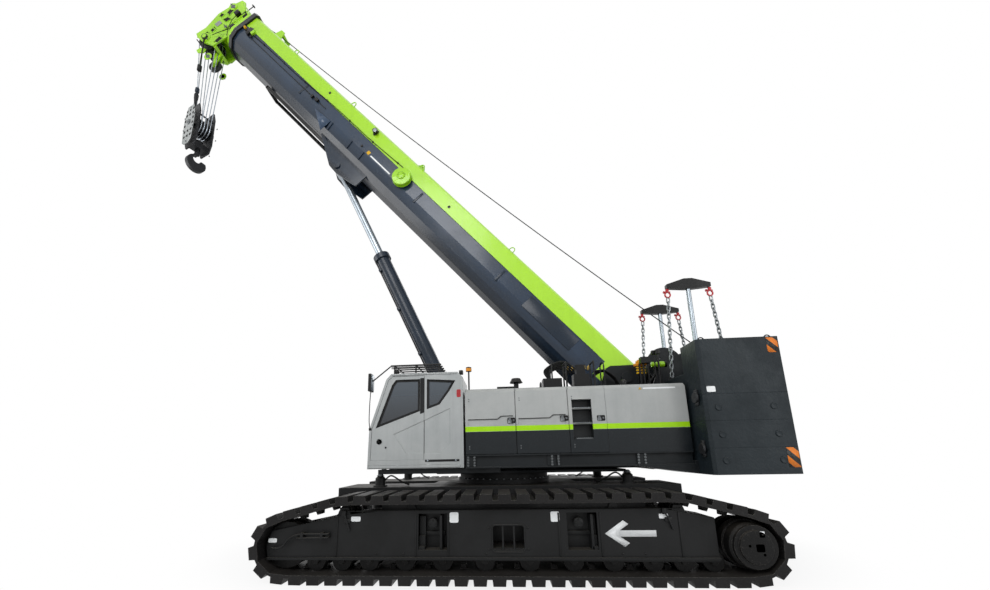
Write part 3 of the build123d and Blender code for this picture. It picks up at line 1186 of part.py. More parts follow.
def cab_seat():
    """Operator seat with its pedestal and the two arm consoles."""
    floor = CAB_FLOOR_Z + CAB_WALL
    middle = (CAB_INNER_Y + HOUSING_Y) / 2
    pedestal = box(1200, 1560, middle - 180, middle + 180, floor, floor + 260)
    cushion = fillet(box(1130, 1660, middle - 250, middle + 250, floor + 260 + WELD_GAP, floor + 400).edges(), 30)
    back = [(1130, floor + 400 + WELD_GAP), (1270, floor + 400 + WELD_GAP), (1160, floor + 1010), (1040, floor + 1010)]
    backrest = fillet(prism_y(back, middle - 240, middle + 240).edges(), 30)
    consoles = [box(1330, 1700, middle + side * 330 - 45, middle + side * 330 + 45, floor, floor + 560) for side in (-1, 1)]
    return [pedestal, cushion, backrest] + consoles


def cab_fittings():
    """Roof guard, mirror on its arm and the warning beacon on its post."""
    rows = (CAB_INNER_Y + 110, CAB_INNER_Y + 295, (CAB_INNER_Y + HOUSING_Y) / 2, HOUSING_Y - 295, HOUSING_Y - 110)
    frame = rod_x(14, rows[0], 3440, 1100, 2060)
    for y in rows[1:]:
        frame += rod_x(14, y, 3440, 1100, 2060)
    for x in (1140, 1580, ROOF_FRONT_X - 30):
        frame += rod_between_y(14, x, 3440, rows[0], rows[-1])
        for y in (rows[0], rows[-1]):
            frame += rod_z(14, x, y, CAB_ROOF_Z, 3440)
    mirror_y = HOUSING_Y + 30
    mirror = fillet(box(2362, 2418, mirror_y - 90, mirror_y + 90, 2930, 3260).edges(), 12)
    mirror += strut(12, (2390, mirror_y, 3100), (2050, rows[-1], 3440)) + frame
    beacon = rod_z(15, 600, 1180, DECK_Z, 3325) + rod_z(52, 600, 1180, 3320, 3400)
    return [mirror, beacon]


# ================= Write the nodes =================

save("carbody", carbody())
save("slew_bearing", slew_bearing())
frame_parts = [side_frame(), socket_wedge(1), socket_wedge(-1)]
save("side_frame_left", *frame_parts)
save("side_frame_right", *[other_side(part) for part in frame_parts])
roller_set = rollers() + carriers()
save("rollers_left", *roller_set)
save("rollers_right", *[other_side(wheel) for wheel in roller_set])
save("idler_wheels", *both_sides(idler()))
save("final_drives", *both_sides(final_drive()))
track_loop = track()
save("track_left", track_loop)
save("track_right", other_side(track_loop))
save("jack_cylinders", *[jack_cylinder(x, y) for x, y in JACKS.values()])
for place, (x, y) in JACKS.items():
    save(f"jack_leg_{place}", jack_leg(x, y))
save("turntable", *turntable())
housing = side_housing()
save("housing_left", housing)
save("housing_right", other_side(housing))
for index, (left_door, right_door) in enumerate(zip(left_doors(), right_doors()), start=1):
    save(f"door_left_{index}", left_door)
    save(f"door_right_{index}", right_door)
save("engine", engine())
save("deck_fittings", *deck_fittings())
save("boom_base", *[boom_pose(part) for part in boom_base()])
save("boom_fittings", *[boom_pose(part) for part in boom_fittings()])
for index in range(1, SECTION_COUNT + 1):
    save(f"boom_section_{index}", *[boom_pose(part) for part in boom_section(index)])
save("boom_head", boom_pose(head_frame()))
save("head_sheaves", *[boom_pose(wheel) for wheel in head_sheaves()])
save("luff_barrel", cylinder_pose(luff_barrel()))
save("luff_rod", cylinder_pose(luff_rod()))
save("limit_weight", limit_weight())
save("hook_block", *[block_pose(part) for part in hook_block()])
save("hook", block_pose(hook()))
levels = slab_levels()
for index in range(len(CW_SLAB_HEIGHTS)):
    save(f"counterweight_{index + 1}", slab(levels[index], levels[index + 1] - WELD_GAP))
save("counterweight_4", top_slab())
save("lift_columns", lift_column(1), lift_column(-1))
save("winch_frame", winch_frame())
save("winch_drum_main", drum(*MAIN_DRUM))
save("winch_drum_aux", drum(*AUX_DRUM))
save("cab_shell", *cab_shell())
save("cab_door", cab_door())
save("cab_glass", *cab_glass())
save("cab_seat", *cab_seat())
save("cab_fittings", *cab_fittings())
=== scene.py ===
"""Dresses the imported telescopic-boom crawler crane: paint, rigging, deck fittings, trim and studio."""

import logging
import math
from dataclasses import dataclass, field
from enum import Enum
from typing import Iterable, Sequence

import bmesh
import bpy
import numpy as np
from mathutils import Matrix, Vector


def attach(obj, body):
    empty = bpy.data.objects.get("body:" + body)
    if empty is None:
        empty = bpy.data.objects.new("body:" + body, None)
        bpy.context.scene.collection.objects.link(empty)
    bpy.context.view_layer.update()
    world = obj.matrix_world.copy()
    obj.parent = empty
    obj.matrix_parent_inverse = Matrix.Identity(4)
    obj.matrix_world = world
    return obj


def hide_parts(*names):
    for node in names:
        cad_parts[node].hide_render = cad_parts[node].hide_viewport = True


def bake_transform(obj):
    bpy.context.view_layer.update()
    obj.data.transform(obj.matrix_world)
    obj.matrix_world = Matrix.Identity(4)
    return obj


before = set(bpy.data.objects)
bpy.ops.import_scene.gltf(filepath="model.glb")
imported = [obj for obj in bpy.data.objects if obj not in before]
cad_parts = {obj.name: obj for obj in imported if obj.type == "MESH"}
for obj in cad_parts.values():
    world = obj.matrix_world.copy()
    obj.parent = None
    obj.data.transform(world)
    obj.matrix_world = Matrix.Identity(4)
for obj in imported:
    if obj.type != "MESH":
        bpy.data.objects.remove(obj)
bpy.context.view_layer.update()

log = logging.getLogger("crane")

Colour = tuple[float, float, float]
Point = tuple[float, float, float]

# Points closer than this are one, in metres; edges that bend more than this are sharp, in degrees.
SEAM_GAP = 1e-5
SHARP_DEGREES = 35

# The record's material slot for each finish, and the slot of every other finish.
DEFAULT_SLOT = "black_paint"
SLOTS: dict[str, str] = {
    "lime_paint": "green_paint", "fitting_paint": "green_paint", "boom_paint_banded": "boom_paint",
    "boom_paint_facet_shading": "boom_paint", "boom_paint_dark": "boom_paint", "section_paint": "boom_paint",
    "panel_paint": "grey_paint", "cab_paint": "grey_paint", "block_cheek_paint": "grey_paint",
    "ballast_coating": "ballast_paint", "hazard_bars": "ballast_paint", "track_steel_cast": "track_steel",
    "wheel_steel": "track_steel", "rod_chrome": "hard_chrome", "bolt_zinc": "hard_chrome",
    "sheave_resin": "sheave_nylon", "hook_cast_steel": "hook_steel", "rope_wire": "hook_steel",
    "rope_wire_greased": "hook_steel", "chain_zinc": "hook_steel", "shackle_red": "hook_steel",
    "engine_enamel": "engine_paint", "tinted_pane": "tinted_glass", "lamp_lens": "tinted_glass",
    "seat_cloth": "cloth",
}


# ======================================================================
# Surfaces
# ======================================================================


@dataclass
class Patch:
    """A surface as arrays: points (n, 3) and groups of faces, each group an (m, k) array of point numbers."""

    points: np.ndarray
    faces: list[np.ndarray]

    def placed(self, matrix: np.ndarray) -> "Patch":
        """Moves the patch by a 4x4 matrix: p' = R p + t.

        Args:
            matrix: the rotation, scale and shift.

        Returns:
            The moved patch.
        """
        return Patch(self.points @ matrix[:3, :3].T + matrix[:3, 3], self.faces)

    def repeated(self, matrices: np.ndarray) -> "Patch":
        """Copies the patch to many places at once: p'[c, i] = R[c] p[i] + t[c].

        Args:
            matrices: one 4x4 matrix a copy, shape (c, 4, 4).

        Returns:
            One patch that holds every copy.
        """
        moved = np.einsum("cij,nj->cni", matrices[:, :3, :3], self.points) + matrices[:, None, :3, 3]
        step = np.arange(len(matrices))[:, None, None] * len(self.points)
        faces = [(group[None] + step).reshape(-1, group.shape[1]) for group in self.faces]
        return Patch(moved.reshape(-1, 3), faces)


def joined(patches: Iterable[Patch]) -> Patch:
    """Puts patches into one, shifting each one's point numbers past those before it.

    Args:
        patches: the patches to join.

    Returns:
        One patch.
    """
    points, faces, count = [], [], 0
    for patch in patches:
        points.append(patch.points)
        faces += [group + count for group in patch.faces]
        count += len(patch.points)
    return Patch(np.concatenate(points), faces)


def grid(points: np.ndarray, close_u: bool = False, close_v: bool = False) -> Patch:
    """Skins an (m, n, 3) array of points with four-sided faces, wrapping round where a way is closed.

    Args:
        points: the surface at each (u, v).
        close_u: joins the last row to the first.
        close_v: joins the last column to the first.

    Returns:
        The skinned patch.
    """
    index = np.arange(points.shape[0] * points.shape[1]).reshape(points.shape[:2])
    if close_u:
        index = np.concatenate([index, index[:1]], axis=0)
    if close_v:
        index = np.concatenate([index, index[:, :1]], axis=1)
    quads = np.stack([index[:-1, :-1], index[1:, :-1], index[1:, 1:], index[:-1, 1:]], axis=-1)
    return Patch(points.reshape(-1, 3), [quads.reshape(-1, 4)])


def unit(vectors: np.ndarray) -> np.ndarray:
    """Each vector divided by its length."""
    return vectors / np.linalg.norm(vectors, axis=-1, keepdims=True)


def rings(stack: np.ndarray, capped: bool = True) -> Patch:
    """Skins closed rings of points one after the other and closes both ends with one face each.

    Args:
        stack: points (rings, round, 3).
        capped: adds the two end faces.

    Returns:
        The closed patch.
    """
    patch = grid(stack, close_v=True)
    if capped:
        count = stack.shape[1]
        last = (stack.shape[0] - 1) * count
        patch.faces.append(np.arange(count)[None])
        patch.faces.append(np.arange(last + count - 1, last - 1, -1)[None])
    return patch


def tube(path: np.ndarray, radius: float | np.ndarray, sides: int = 10, up: Point = (0.0, 1.0, 0.0)) -> Patch:
    """Carries a circle along a path: p(t, a) = c(t) + r(t) (cos a . n(t) + sin a . b(t)).

    n is the unit cross product of the path's direction and a fixed up vector, and b completes the frame.

    Args:
        path: points (n, 3) along the middle of the tube.
        radius: one radius, or one for each point.
        sides: points round the circle.
        up: a direction that the path never runs along.

    Returns:
        The capped tube.
    """
    path = np.asarray(path, float)
    along = unit(np.gradient(path, axis=0))
    normal = unit(np.cross(along, np.asarray(up, float)))
    binormal = np.cross(along, normal)
    angle = np.linspace(0, 2 * math.pi, sides, endpoint=False)
    reach = np.broadcast_to(np.asarray(radius, float), (len(path),))[:, None, None]
    circle = np.cos(angle)[None, :, None] * normal[:, None] + np.sin(angle)[None, :, None] * binormal[:, None]
    return rings(path[:, None] + reach * circle)


def arc_path(points: Sequence[Point], steps: int = 40) -> np.ndarray:
    """Smooth path through given points, by Catmull-Rom blending.

    p(t) = 0.5 (2 b + (c - a) t + (2 a - 5 b + 4 c - d) t^2 + (3 b - a - 3 c + d) t^3) on each span b to c.

    Args:
        points: the points it passes through.
        steps: points on each span.

    Returns:
        The path, (n, 3).
    """
    knots = np.asarray(points, float)
    knots = np.concatenate([2 * knots[:1] - knots[1:2], knots, 2 * knots[-1:] - knots[-2:-1]])
    a, b, c, d = (knots[i : len(knots) - 3 + i, None] for i in range(4))
    t = np.linspace(0, 1, steps, endpoint=False)[None, :, None]
    spans = 0.5 * (2 * b + (c - a) * t + (2 * a - 5 * b + 4 * c - d) * t**2 + (3 * b - a - 3 * c + d) * t**3)
    return np.concatenate([spans.reshape(-1, 3), knots[-2:-1]])


def basis(axis: str) -> np.ndarray:
    """Rotation that lays a shape built along Z along another machine axis.

    Args:
        axis: "x", "y" or "z".

    Returns:
        A 4x4 rotation whose third column is that axis.
    """
    columns = {"x": ((0, 1, 0), (0, 0, 1), (1, 0, 0)), "y": ((0, 0, 1), (1, 0, 0), (0, 1, 0)),
               "z": ((1, 0, 0), (0, 1, 0), (0, 0, 1))}[axis]
    matrix = np.eye(4)
    matrix[:3, :3] = np.array(columns, float).T
    return matrix


def at(point: Point, axis: str = "z") -> np.ndarray:
    """Placement at a point with the shape's Z along a machine axis."""
    matrix = basis(axis)
    matrix[:3, 3] = point
    return matrix


def lathe(profile: Sequence[tuple[float, float]], steps: int = 32) -> Patch:
    """Turns a profile about Z: p(i, a) = (r_i cos a, r_i sin a, z_i).

    Args:
        profile: (radius, height) points.
        steps: points round the turn.

    Returns:
        The turned patch, closed where its ends are on the axis.
    """
    outline = np.asarray(profile, float)
    angle = np.linspace(0, 2 * math.pi, steps, endpoint=False)
    radius, height = outline[:, 0, None], outline[:, 1, None]
    stack = np.stack([radius * np.cos(angle), radius * np.sin(angle), np.broadcast_to(height, (len(outline), steps))],
            -1)
    return rings(stack)


def rounded_box(low: Point, high: Point, radius: float) -> Patch:
    """Box with rounded edges: p = c + sign(d) (h - r) + r d over the directions d of a sphere.

    Args:
        low: lowest corner.
        high: highest corner.
        radius: radius of the edges.

    Returns:
        The closed patch.
    """
    low, high = np.asarray(low, float), np.asarray(high, float)
    radius = min(radius, float((high - low).min()) / 2 * 0.98)
    quarter = np.array([0.0, 0.25, 0.5])
    turn = (quarter[None] + 0.5 * np.arange(4)[:, None]).ravel() * math.pi
    signs = np.repeat(np.array([[1, 1], [-1, 1], [-1, -1], [1, -1]]), 3, axis=0)
    rise = np.array([-0.5, -0.25, 0.0, 0.0, 0.25, 0.5]) * math.pi
    rise_sign = np.repeat([-1, 1], 3)
    direction = np.stack([np.cos(rise)[:, None] * np.cos(turn), np.cos(rise)[:, None] * np.sin(turn),
                          np.broadcast_to(np.sin(rise)[:, None], (6, 12))], -1)
    sign = np.stack([np.broadcast_to(signs[:, 0], (6, 12)), np.broadcast_to(signs[:, 1], (6, 12)),
                     np.broadcast_to(rise_sign[:, None], (6, 12))], -1)
    return rings((low + high) / 2 + sign * ((high - low) / 2 - radius) + radius * direction)


def anticlockwise(outline: Sequence[tuple[float, float]]) -> np.ndarray:
    """Turns an outline round where its area, half the sum of x_i y_j - x_j y_i over its sides, is negative.

    Args:
        outline: the (x, y) points.

    Returns:
        The points (n, 2), anticlockwise.
    """
    points = np.asarray(outline)
    area = np.sum(points[:, 0] * np.roll(points[:, 1], -1) - np.roll(points[:, 0], -1) * points[:, 1])
    return points if area > 0 else points[::-1]


def outline_inset(outline: np.ndarray, distance: float) -> np.ndarray:
    """Moves an anticlockwise outline inward: each corner goes along the sum of its sides' normals.

    The shift is 2 d (n0 + n1) / |n0 + n1|^2 for the unit normals n0 and n1 of the sides that meet there.

    Args:
        outline: points (n, 2).
        distance: how far each side moves.

    Returns:
        The smaller outline, (n, 2).
    """
    ahead = unit(np.roll(outline, -1, axis=0) - outline)
    behind = np.roll(ahead, 1, axis=0)
    normals = np.stack([-behind[:, 1] - ahead[:, 1], behind[:, 0] + ahead[:, 0]], -1)
    return outline + 2 * distance * normals / (normals**2).sum(-1, keepdims=True)


def plate(outline: Sequence[tuple[float, float]], depth: float, bevel: float = 0.0) -> Patch:
    """Plate of a given outline from z = 0 up to its depth, with bevelled rims.

    Args:
        outline: anticlockwise (x, y) points.
        depth: thickness.
        bevel: width of the bevel at both rims.

    Returns:
        The closed patch.
    """
    flat = np.asarray(outline, float)
    levels = [(0.0, bevel), (bevel, 0.0), (depth - bevel, 0.0), (depth, bevel)] if bevel else [(0.0, 0.0), (depth, 0.0)]
    stack = [np.column_stack([outline_inset(flat, inset) if inset else flat, np.full(len(flat), z)]) for z,
            inset in levels]
    return rings(np.stack(stack))


def side_plate(outline: Sequence[tuple[float, float]], y: float, depth: float, bevel: float = 0.0) -> Patch:
    """Plate whose outline is given in (x, z), standing from y outward to y + depth.

    Args:
        outline: anticlockwise (x, z) points.
        y: its first face.
        depth: signed thickness along y.
        bevel: width of the bevel.

    Returns:
        The closed patch.
    """
    patch = plate(outline, abs(depth), bevel)
    x, z, t = patch.points.T
    return Patch(np.column_stack([x, y + math.copysign(1.0, depth) * t, z]), patch.faces)


def spots(places: Sequence[Point] | np.ndarray, axis: str = "z") -> np.ndarray:
    """Placement matrices for copies at several points.

    Args:
        places: the points.
        axis: the machine axis along which each copy's Z points.

    Returns:
        Matrices (n, 4, 4).
    """
    places = np.asarray(places, float)
    matrices = np.repeat(basis(axis)[None], len(places), axis=0)
    matrices[:, :3, 3] = places
    return matrices


def hex_bolt(across: float = 0.03, height: float = 0.014) -> Patch:
    """Bolt head with its washer, standing on z = 0."""
    washer = lathe([(0, 0), (across * 0.75, 0), (across * 0.75, height * 0.2), (0, height * 0.2)], 12)
    head = lathe([(0, height * 0.2), (across / 2, height * 0.2), (across / 2, height * 0.8), (across * 0.4, height),
            (0, height)], 6)
    return joined([washer, head])


def mirrored(patch: Patch) -> Patch:
    """The patch on the other side of the machine, y' = -y, with its faces turned round."""
    return Patch(patch.points * np.array([1.0, -1.0, 1.0]), [group[:, ::-1] for group in patch.faces])


class Shading(Enum):
    """How a piece's faces meet."""

    FLAT = "flat"
    SMOOTH = "smooth"


def close_seams(mesh: bpy.types.Mesh) -> None:
    """Merges the points that meet in a seam or a pole and turns every face outwards.

    Args:
        mesh: the mesh to close, in place.
    """
    work = bmesh.new()
    work.from_mesh(mesh)
    bmesh.ops.remove_doubles(work, verts=work.verts, dist=SEAM_GAP)
    bmesh.ops.recalc_face_normals(work, faces=work.faces)
    work.to_mesh(mesh)
    work.free()


def make_piece(name: str, patch: Patch, finish: "Finish", body: str = "",
               shading: Shading = Shading.SMOOTH) -> bpy.types.Object:
    """Turns a patch into an object that rides on a body.

    Args:
        name: the piece's name.
        patch: its surface, in metres in the machine's frame.
        finish: its finish.
        body: the body that carries it; empty for a piece that runs between two bodies and is left unattached.
        shading: smooth under 35 degrees, or flat.

    Returns:
        The new object.
    """
    mesh = bpy.data.meshes.new(name)
    sizes = np.concatenate([np.full(len(group), group.shape[1]) for group in patch.faces])
    loops = np.concatenate([group.ravel() for group in patch.faces])
    mesh.vertices.add(len(patch.points))
    mesh.vertices.foreach_set("co", patch.points.astype(np.float32).ravel())
    mesh.loops.add(len(loops))
    mesh.loops.foreach_set("vertex_index", loops.astype(np.int32))
    mesh.polygons.add(len(sizes))
    mesh.polygons.foreach_set("loop_start", np.concatenate([[0], np.cumsum(sizes)[:-1]]).astype(np.int32))
    mesh.update(calc_edges=True)
    mesh.validate()
    close_seams(mesh)
    piece = bpy.data.objects.new(name, mesh)
    bpy.context.scene.collection.objects.link(piece)
    mesh.materials.append(finish.material)
    SLOTS.get(finish.material.name, DEFAULT_SLOT)
    if shading is Shading.SMOOTH:
        mesh.shade_smooth()
        mesh.set_sharp_from_angle(angle=math.radians(SHARP_DEGREES))
    if body:
        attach(piece, body)
    log.info("%s: %d faces on %s", name, len(sizes), body or "two bodies")
    return piece


# ======================================================================
# Finishes
# ======================================================================


def linear(hex_colour: str) -> tuple[float, float, float, float]:
    """Linear colour of a screen colour such as "#A8D930".

    Args:
        hex_colour: red, green and blue as six hexadecimal digits.

    Returns:
        Linear red, green, blue and an alpha of 1.
    """
    value = np.array([int(hex_colour[i : i + 2], 16) for i in (1, 3, 5)]) / 255
    value = np.where(value <= 0.04045, value / 12.92, ((value + 0.055) / 1.055) ** 2.4)
    return (*value.tolist(), 1.0)


@dataclass
class Nodes:
    """A short way to lay nodes in a node tree and to link them."""

    tree: bpy.types.NodeTree

    def add(self, kind: str, inputs: dict[int | str, object] | None = None, **settings: object) -> bpy.types.Node:
        """Adds a node, sets its properties, and sets or links its inputs.

        Args:
            kind: the node's type, after "ShaderNode", or a group's input or output.
            inputs: socket name or number to a value or to an output socket.
            settings: the node's own properties.

        Returns:
            The new node.
        """
        node = self.tree.nodes.new(kind if kind.startswith("NodeGroup") else "ShaderNode" + kind)
        for name, value in settings.items():
            setattr(node, name, value)
        for key, value in (inputs or {}).items():
            if isinstance(value, bpy.types.NodeSocket):
                self.tree.links.new(value, node.inputs[key])
            else:
                node.inputs[key].default_value = value
        return node

    def math(self, operation: str, *values: object) -> bpy.types.NodeSocket:
        """One arithmetic step on values or sockets."""
        return self.add("Math", dict(enumerate(values)), operation=operation).outputs[0]

    def mix(self, factor: object, first: object, second: object) -> bpy.types.NodeSocket:
        """First colour where the factor is 0 and second where it is 1."""
        return self.add("Mix", {0: factor, 6: first, 7: second}, data_type="RGBA").outputs[2]

    def ramp(self, value: object, low: float, high: float, out_low: float = 0.0,
            out_high: float = 1.0) -> bpy.types.NodeSocket:
        """Smooth rise from out_low to out_high as the value goes from low to high."""
        inputs = {0: value, 1: low, 2: high, 3: out_low, 4: out_high}
        return self.add("MapRange", inputs, interpolation_type="SMOOTHSTEP").outputs[0]

    def position(self) -> list[bpy.types.NodeSocket]:
        """X, Y and Z of the object coordinates, which are the machine's own."""
        coordinates = self.add("TexCoord")
        return list(self.add("SeparateXYZ", {0: coordinates.outputs["Object"]}).outputs)


def new_group(name: str, inputs: Sequence[tuple[str, str]],
        outputs: Sequence[tuple[str, str]]) -> tuple[bpy.types.NodeTree, Nodes]:
    """Starts a shader node group with its sockets.

    Args:
        name: the group's name.
        inputs: (name, "Float" or "Color" or "Vector") of each input.
        outputs: the same for each output.

    Returns:
        The group and a Nodes helper on it.
    """
    group = bpy.data.node_groups.new(name, "ShaderNodeTree")
    for way, sockets in (("INPUT", inputs), ("OUTPUT", outputs)):
        for label, kind in sockets:
            group.interface.new_socket(label, in_out=way, socket_type="NodeSocket" + kind)
    return group, Nodes(group)


class Shared:
    """The node groups that several finishes use, made once."""

    made: dict[str, bpy.types.NodeTree] = {}

    @classmethod
    def get(cls, name: str) -> bpy.types.NodeTree:
        """The group of that name, built at its first use."""
        if name not in cls.made:
            cls.made[name] = getattr(cls, name)()
        return cls.made[name]

    @staticmethod
    def weather() -> bpy.types.NodeTree:
        """Outdoor wear: cloudy mottle, fine specks, run-down streaks, dust that lies on top faces, rubbed edges.

        Returns:
            A group with values Mottle, Speck, Streak, Dust and Edge, each from 0 to 1.
        """
        outs = [(label, "Float") for label in ("Mottle", "Speck", "Streak", "Dust", "Edge")]
        group, n = new_group("weather", [("Scale", "Float")], outs)
        scale = n.add("NodeGroupInput").outputs[0]
        place = n.add("TexCoord").outputs["Object"]
        cloud = n.add("TexNoise", {"Vector": place, "Scale": n.math("MULTIPLY", scale, 1.3), "Detail": 5.0,
                "Roughness": 0.62})
        fine = n.add("TexNoise", {"Vector": place, "Scale": n.math("MULTIPLY", scale, 60.0), "Detail": 3.0,
                "Roughness": 0.7})
        tall = n.add("Mapping", {"Vector": place, "Scale": (9.0, 9.0, 0.55)})
        streak = n.add("TexNoise", {"Vector": tall.outputs[0], "Scale": scale, "Detail": 4.0, "Roughness": 0.6})
        face = n.add("NewGeometry")
        upward = n.add("SeparateXYZ", {0: face.outputs["Normal"]}).outputs[2]
        dust = n.math("MULTIPLY", n.ramp(upward, 0.25, 0.95), n.ramp(cloud.outputs[0], 0.3, 0.62, 0.35, 1.0))
        soft = n.add("Bevel", {"Radius": 0.012}, samples=4)
        turn = n.add("VectorMath", {0: soft.outputs[0], 1: face.outputs["Normal"]}, operation="DOT_PRODUCT")
        rubbed = n.ramp(turn.outputs["Value"], 0.985, 0.86)
        broken = n.ramp(fine.outputs[0], 0.42, 0.62)
        edge = n.math("MULTIPLY", rubbed, broken)
        inputs = {0: n.ramp(cloud.outputs[0], 0.32, 0.68), 1: n.ramp(fine.outputs[0], 0.55, 0.75),
                  2: n.ramp(streak.outputs[0], 0.42, 0.72), 3: dust, 4: edge}
        n.add("NodeGroupOutput", inputs)
        return group

    @staticmethod
    def skin() -> bpy.types.NodeTree:
        """Bevelled edges with a fine lumpiness on them, as sprayed paint or cast steel has.

        Returns:
            A group with one output, Normal.
        """
        group, n = new_group("skin", [("Scale", "Float"), ("Depth", "Float"), ("Radius", "Float")],
                [("Normal", "Vector")])
        given = n.add("NodeGroupInput")
        place = n.add("TexCoord").outputs["Object"]
        lumps = n.add("TexNoise", {"Vector": place, "Scale": given.outputs[0], "Detail": 3.0, "Roughness": 0.55})
        soft = n.add("Bevel", {"Radius": given.outputs[2]}, samples=4)
        bump = n.add("Bump", {"Height": lumps.outputs[0], "Strength": 1.0, "Distance": given.outputs[1],
                "Normal": soft.outputs[0]})
        n.add("NodeGroupOutput", {0: bump.outputs[0]})
        return group

    @staticmethod
    def band() -> bpy.types.NodeTree:
        """A crisp stripe: 1 where Low < Value < High, with a short smooth edge.

        Returns:
            A group with one output, Mask.
        """
        group, n = new_group("band", [("Value", "Float"), ("Low", "Float"), ("High", "Float")], [("Mask", "Float")])
        given = n.add("NodeGroupInput").outputs
        above = n.ramp(n.math("SUBTRACT", given[0], given[1]), -0.0015, 0.0015)
        below = n.ramp(n.math("SUBTRACT", given[2], given[0]), -0.0015, 0.0015)
        n.add("NodeGroupOutput", {0: n.math("MULTIPLY", above, below)})
        return group


@dataclass(frozen=True)
class Paint:
    """A sprayed or bare metal finish with its wear.

    The pattern colours lie over the ground colour where their masks say, in the machine's own coordinates.
    """

    name: str
    ground: str
    deep: str
    rubbed: str = "#6b6f70"
    dust: str = "#8b8478"
    dusty: float = 0.35
    streaky: float = 0.25
    rough: float = 0.42
    coat: float = 0.0
    shine: float = 0.25
    metal: float = 0.0
    grain: float = 60.0
    depth: float = 0.0015
    radius: float = 0.008
    worn: float = 0.4
    scale: float = 1.0

    def pattern(self, n: Nodes, colour: bpy.types.NodeSocket) -> bpy.types.NodeSocket:
        """Colour with this finish's own stripes on it; a plain finish has none."""
        return colour

    def build(self) -> bpy.types.Material:
        """Makes the material.

        Returns:
            The material, one Principled shader whose colour, roughness and normal come from shared groups.
        """
        material = bpy.data.materials.new(self.name)
        material.use_nodes = True
        tree = material.node_tree
        tree.nodes.clear()
        n = Nodes(tree)
        weather = n.add("Group", node_tree=Shared.get("weather"))
        weather.inputs[0].default_value = self.scale
        mottle, speck, streak, dust, edge = weather.outputs
        colour = n.mix(n.math("MULTIPLY", mottle, 0.8), linear(self.ground), linear(self.deep))
        colour = self.pattern(n, colour)
        shade = {0: n.math("MULTIPLY", streak, self.streaky * 0.5), 6: colour, 7: (0.62, 0.62, 0.62, 1.0)}
        colour = n.add("Mix", shade, data_type="RGBA", blend_type="MULTIPLY").outputs[2]
        colour = n.mix(n.math("MULTIPLY", speck, 0.16), colour, linear(self.rubbed))
        colour = n.mix(n.math("MULTIPLY", dust, self.dusty), colour, linear(self.dust))
        colour = n.mix(n.math("MULTIPLY", edge, self.worn), colour, linear(self.rubbed))
        rough = n.ramp(mottle, 0.0, 1.0, self.rough * 0.82, min(self.rough * 1.22, 1.0))
        rough = n.math("ADD", rough, n.math("MULTIPLY", dust, self.dusty * 0.5), )
        rough = n.math("MINIMUM", n.math("ADD", rough, n.math("MULTIPLY", speck, 0.08)), 1.0)
        skin = n.add("Group", node_tree=Shared.get("skin"))
        for index, value in enumerate((self.grain, self.depth, self.radius)):
            skin.inputs[index].default_value = value
        shader = n.add("BsdfPrincipled", {"Base Color": colour, "Roughness": rough, "Metallic": self.metal,
                                          "Normal": skin.outputs[0], "Coat Weight": self.coat, "Coat Roughness": 0.12,
                                          "Specular IOR Level": self.shine})
        n.add("OutputMaterial", {0: shader.outputs[0]})
        material.diffuse_color = linear(self.ground)
        return material


@dataclass(frozen=True)
class PanelPaint(Paint):
    """Grey body panels with the bright stripe, the dark lower band, and a black non-slip top."""

    stripe: tuple[float, float] = (2.161, 2.251)
    band: tuple[float, float] = (1.0, 2.158)
    face_y: float = 1.455
    bevel_y: float = 1.30
    deck_z: float = 2.9285

    def pattern(self, n: Nodes, colour: bpy.types.NodeSocket) -> bpy.types.NodeSocket:
        """Stripe and band by height on the outer faces; dark tread on the deck; bare dark metal inside."""
        x, y, z = n.position()
        limit = n.ramp(z, 2.858, 2.862, self.face_y, self.bevel_y)
        outer = n.ramp(n.math("SUBTRACT", n.math("ABSOLUTE", y), limit), -0.002, 0.002)
        for (low, high), tone in ((self.band, "#12181c"), (self.stripe, "#a6e010")):
            mask = n.add("Group", {0: z, 1: low, 2: high}, node_tree=Shared.get("band"))
            colour = n.mix(n.math("MULTIPLY", mask.outputs[0], outer), colour, linear(tone))
        colour = n.mix(n.math("SUBTRACT", 1.0, outer), colour, linear("#171a1c"))
        return n.mix(n.ramp(z, self.deck_z - 0.001, self.deck_z), colour, linear("#2b2f31"))


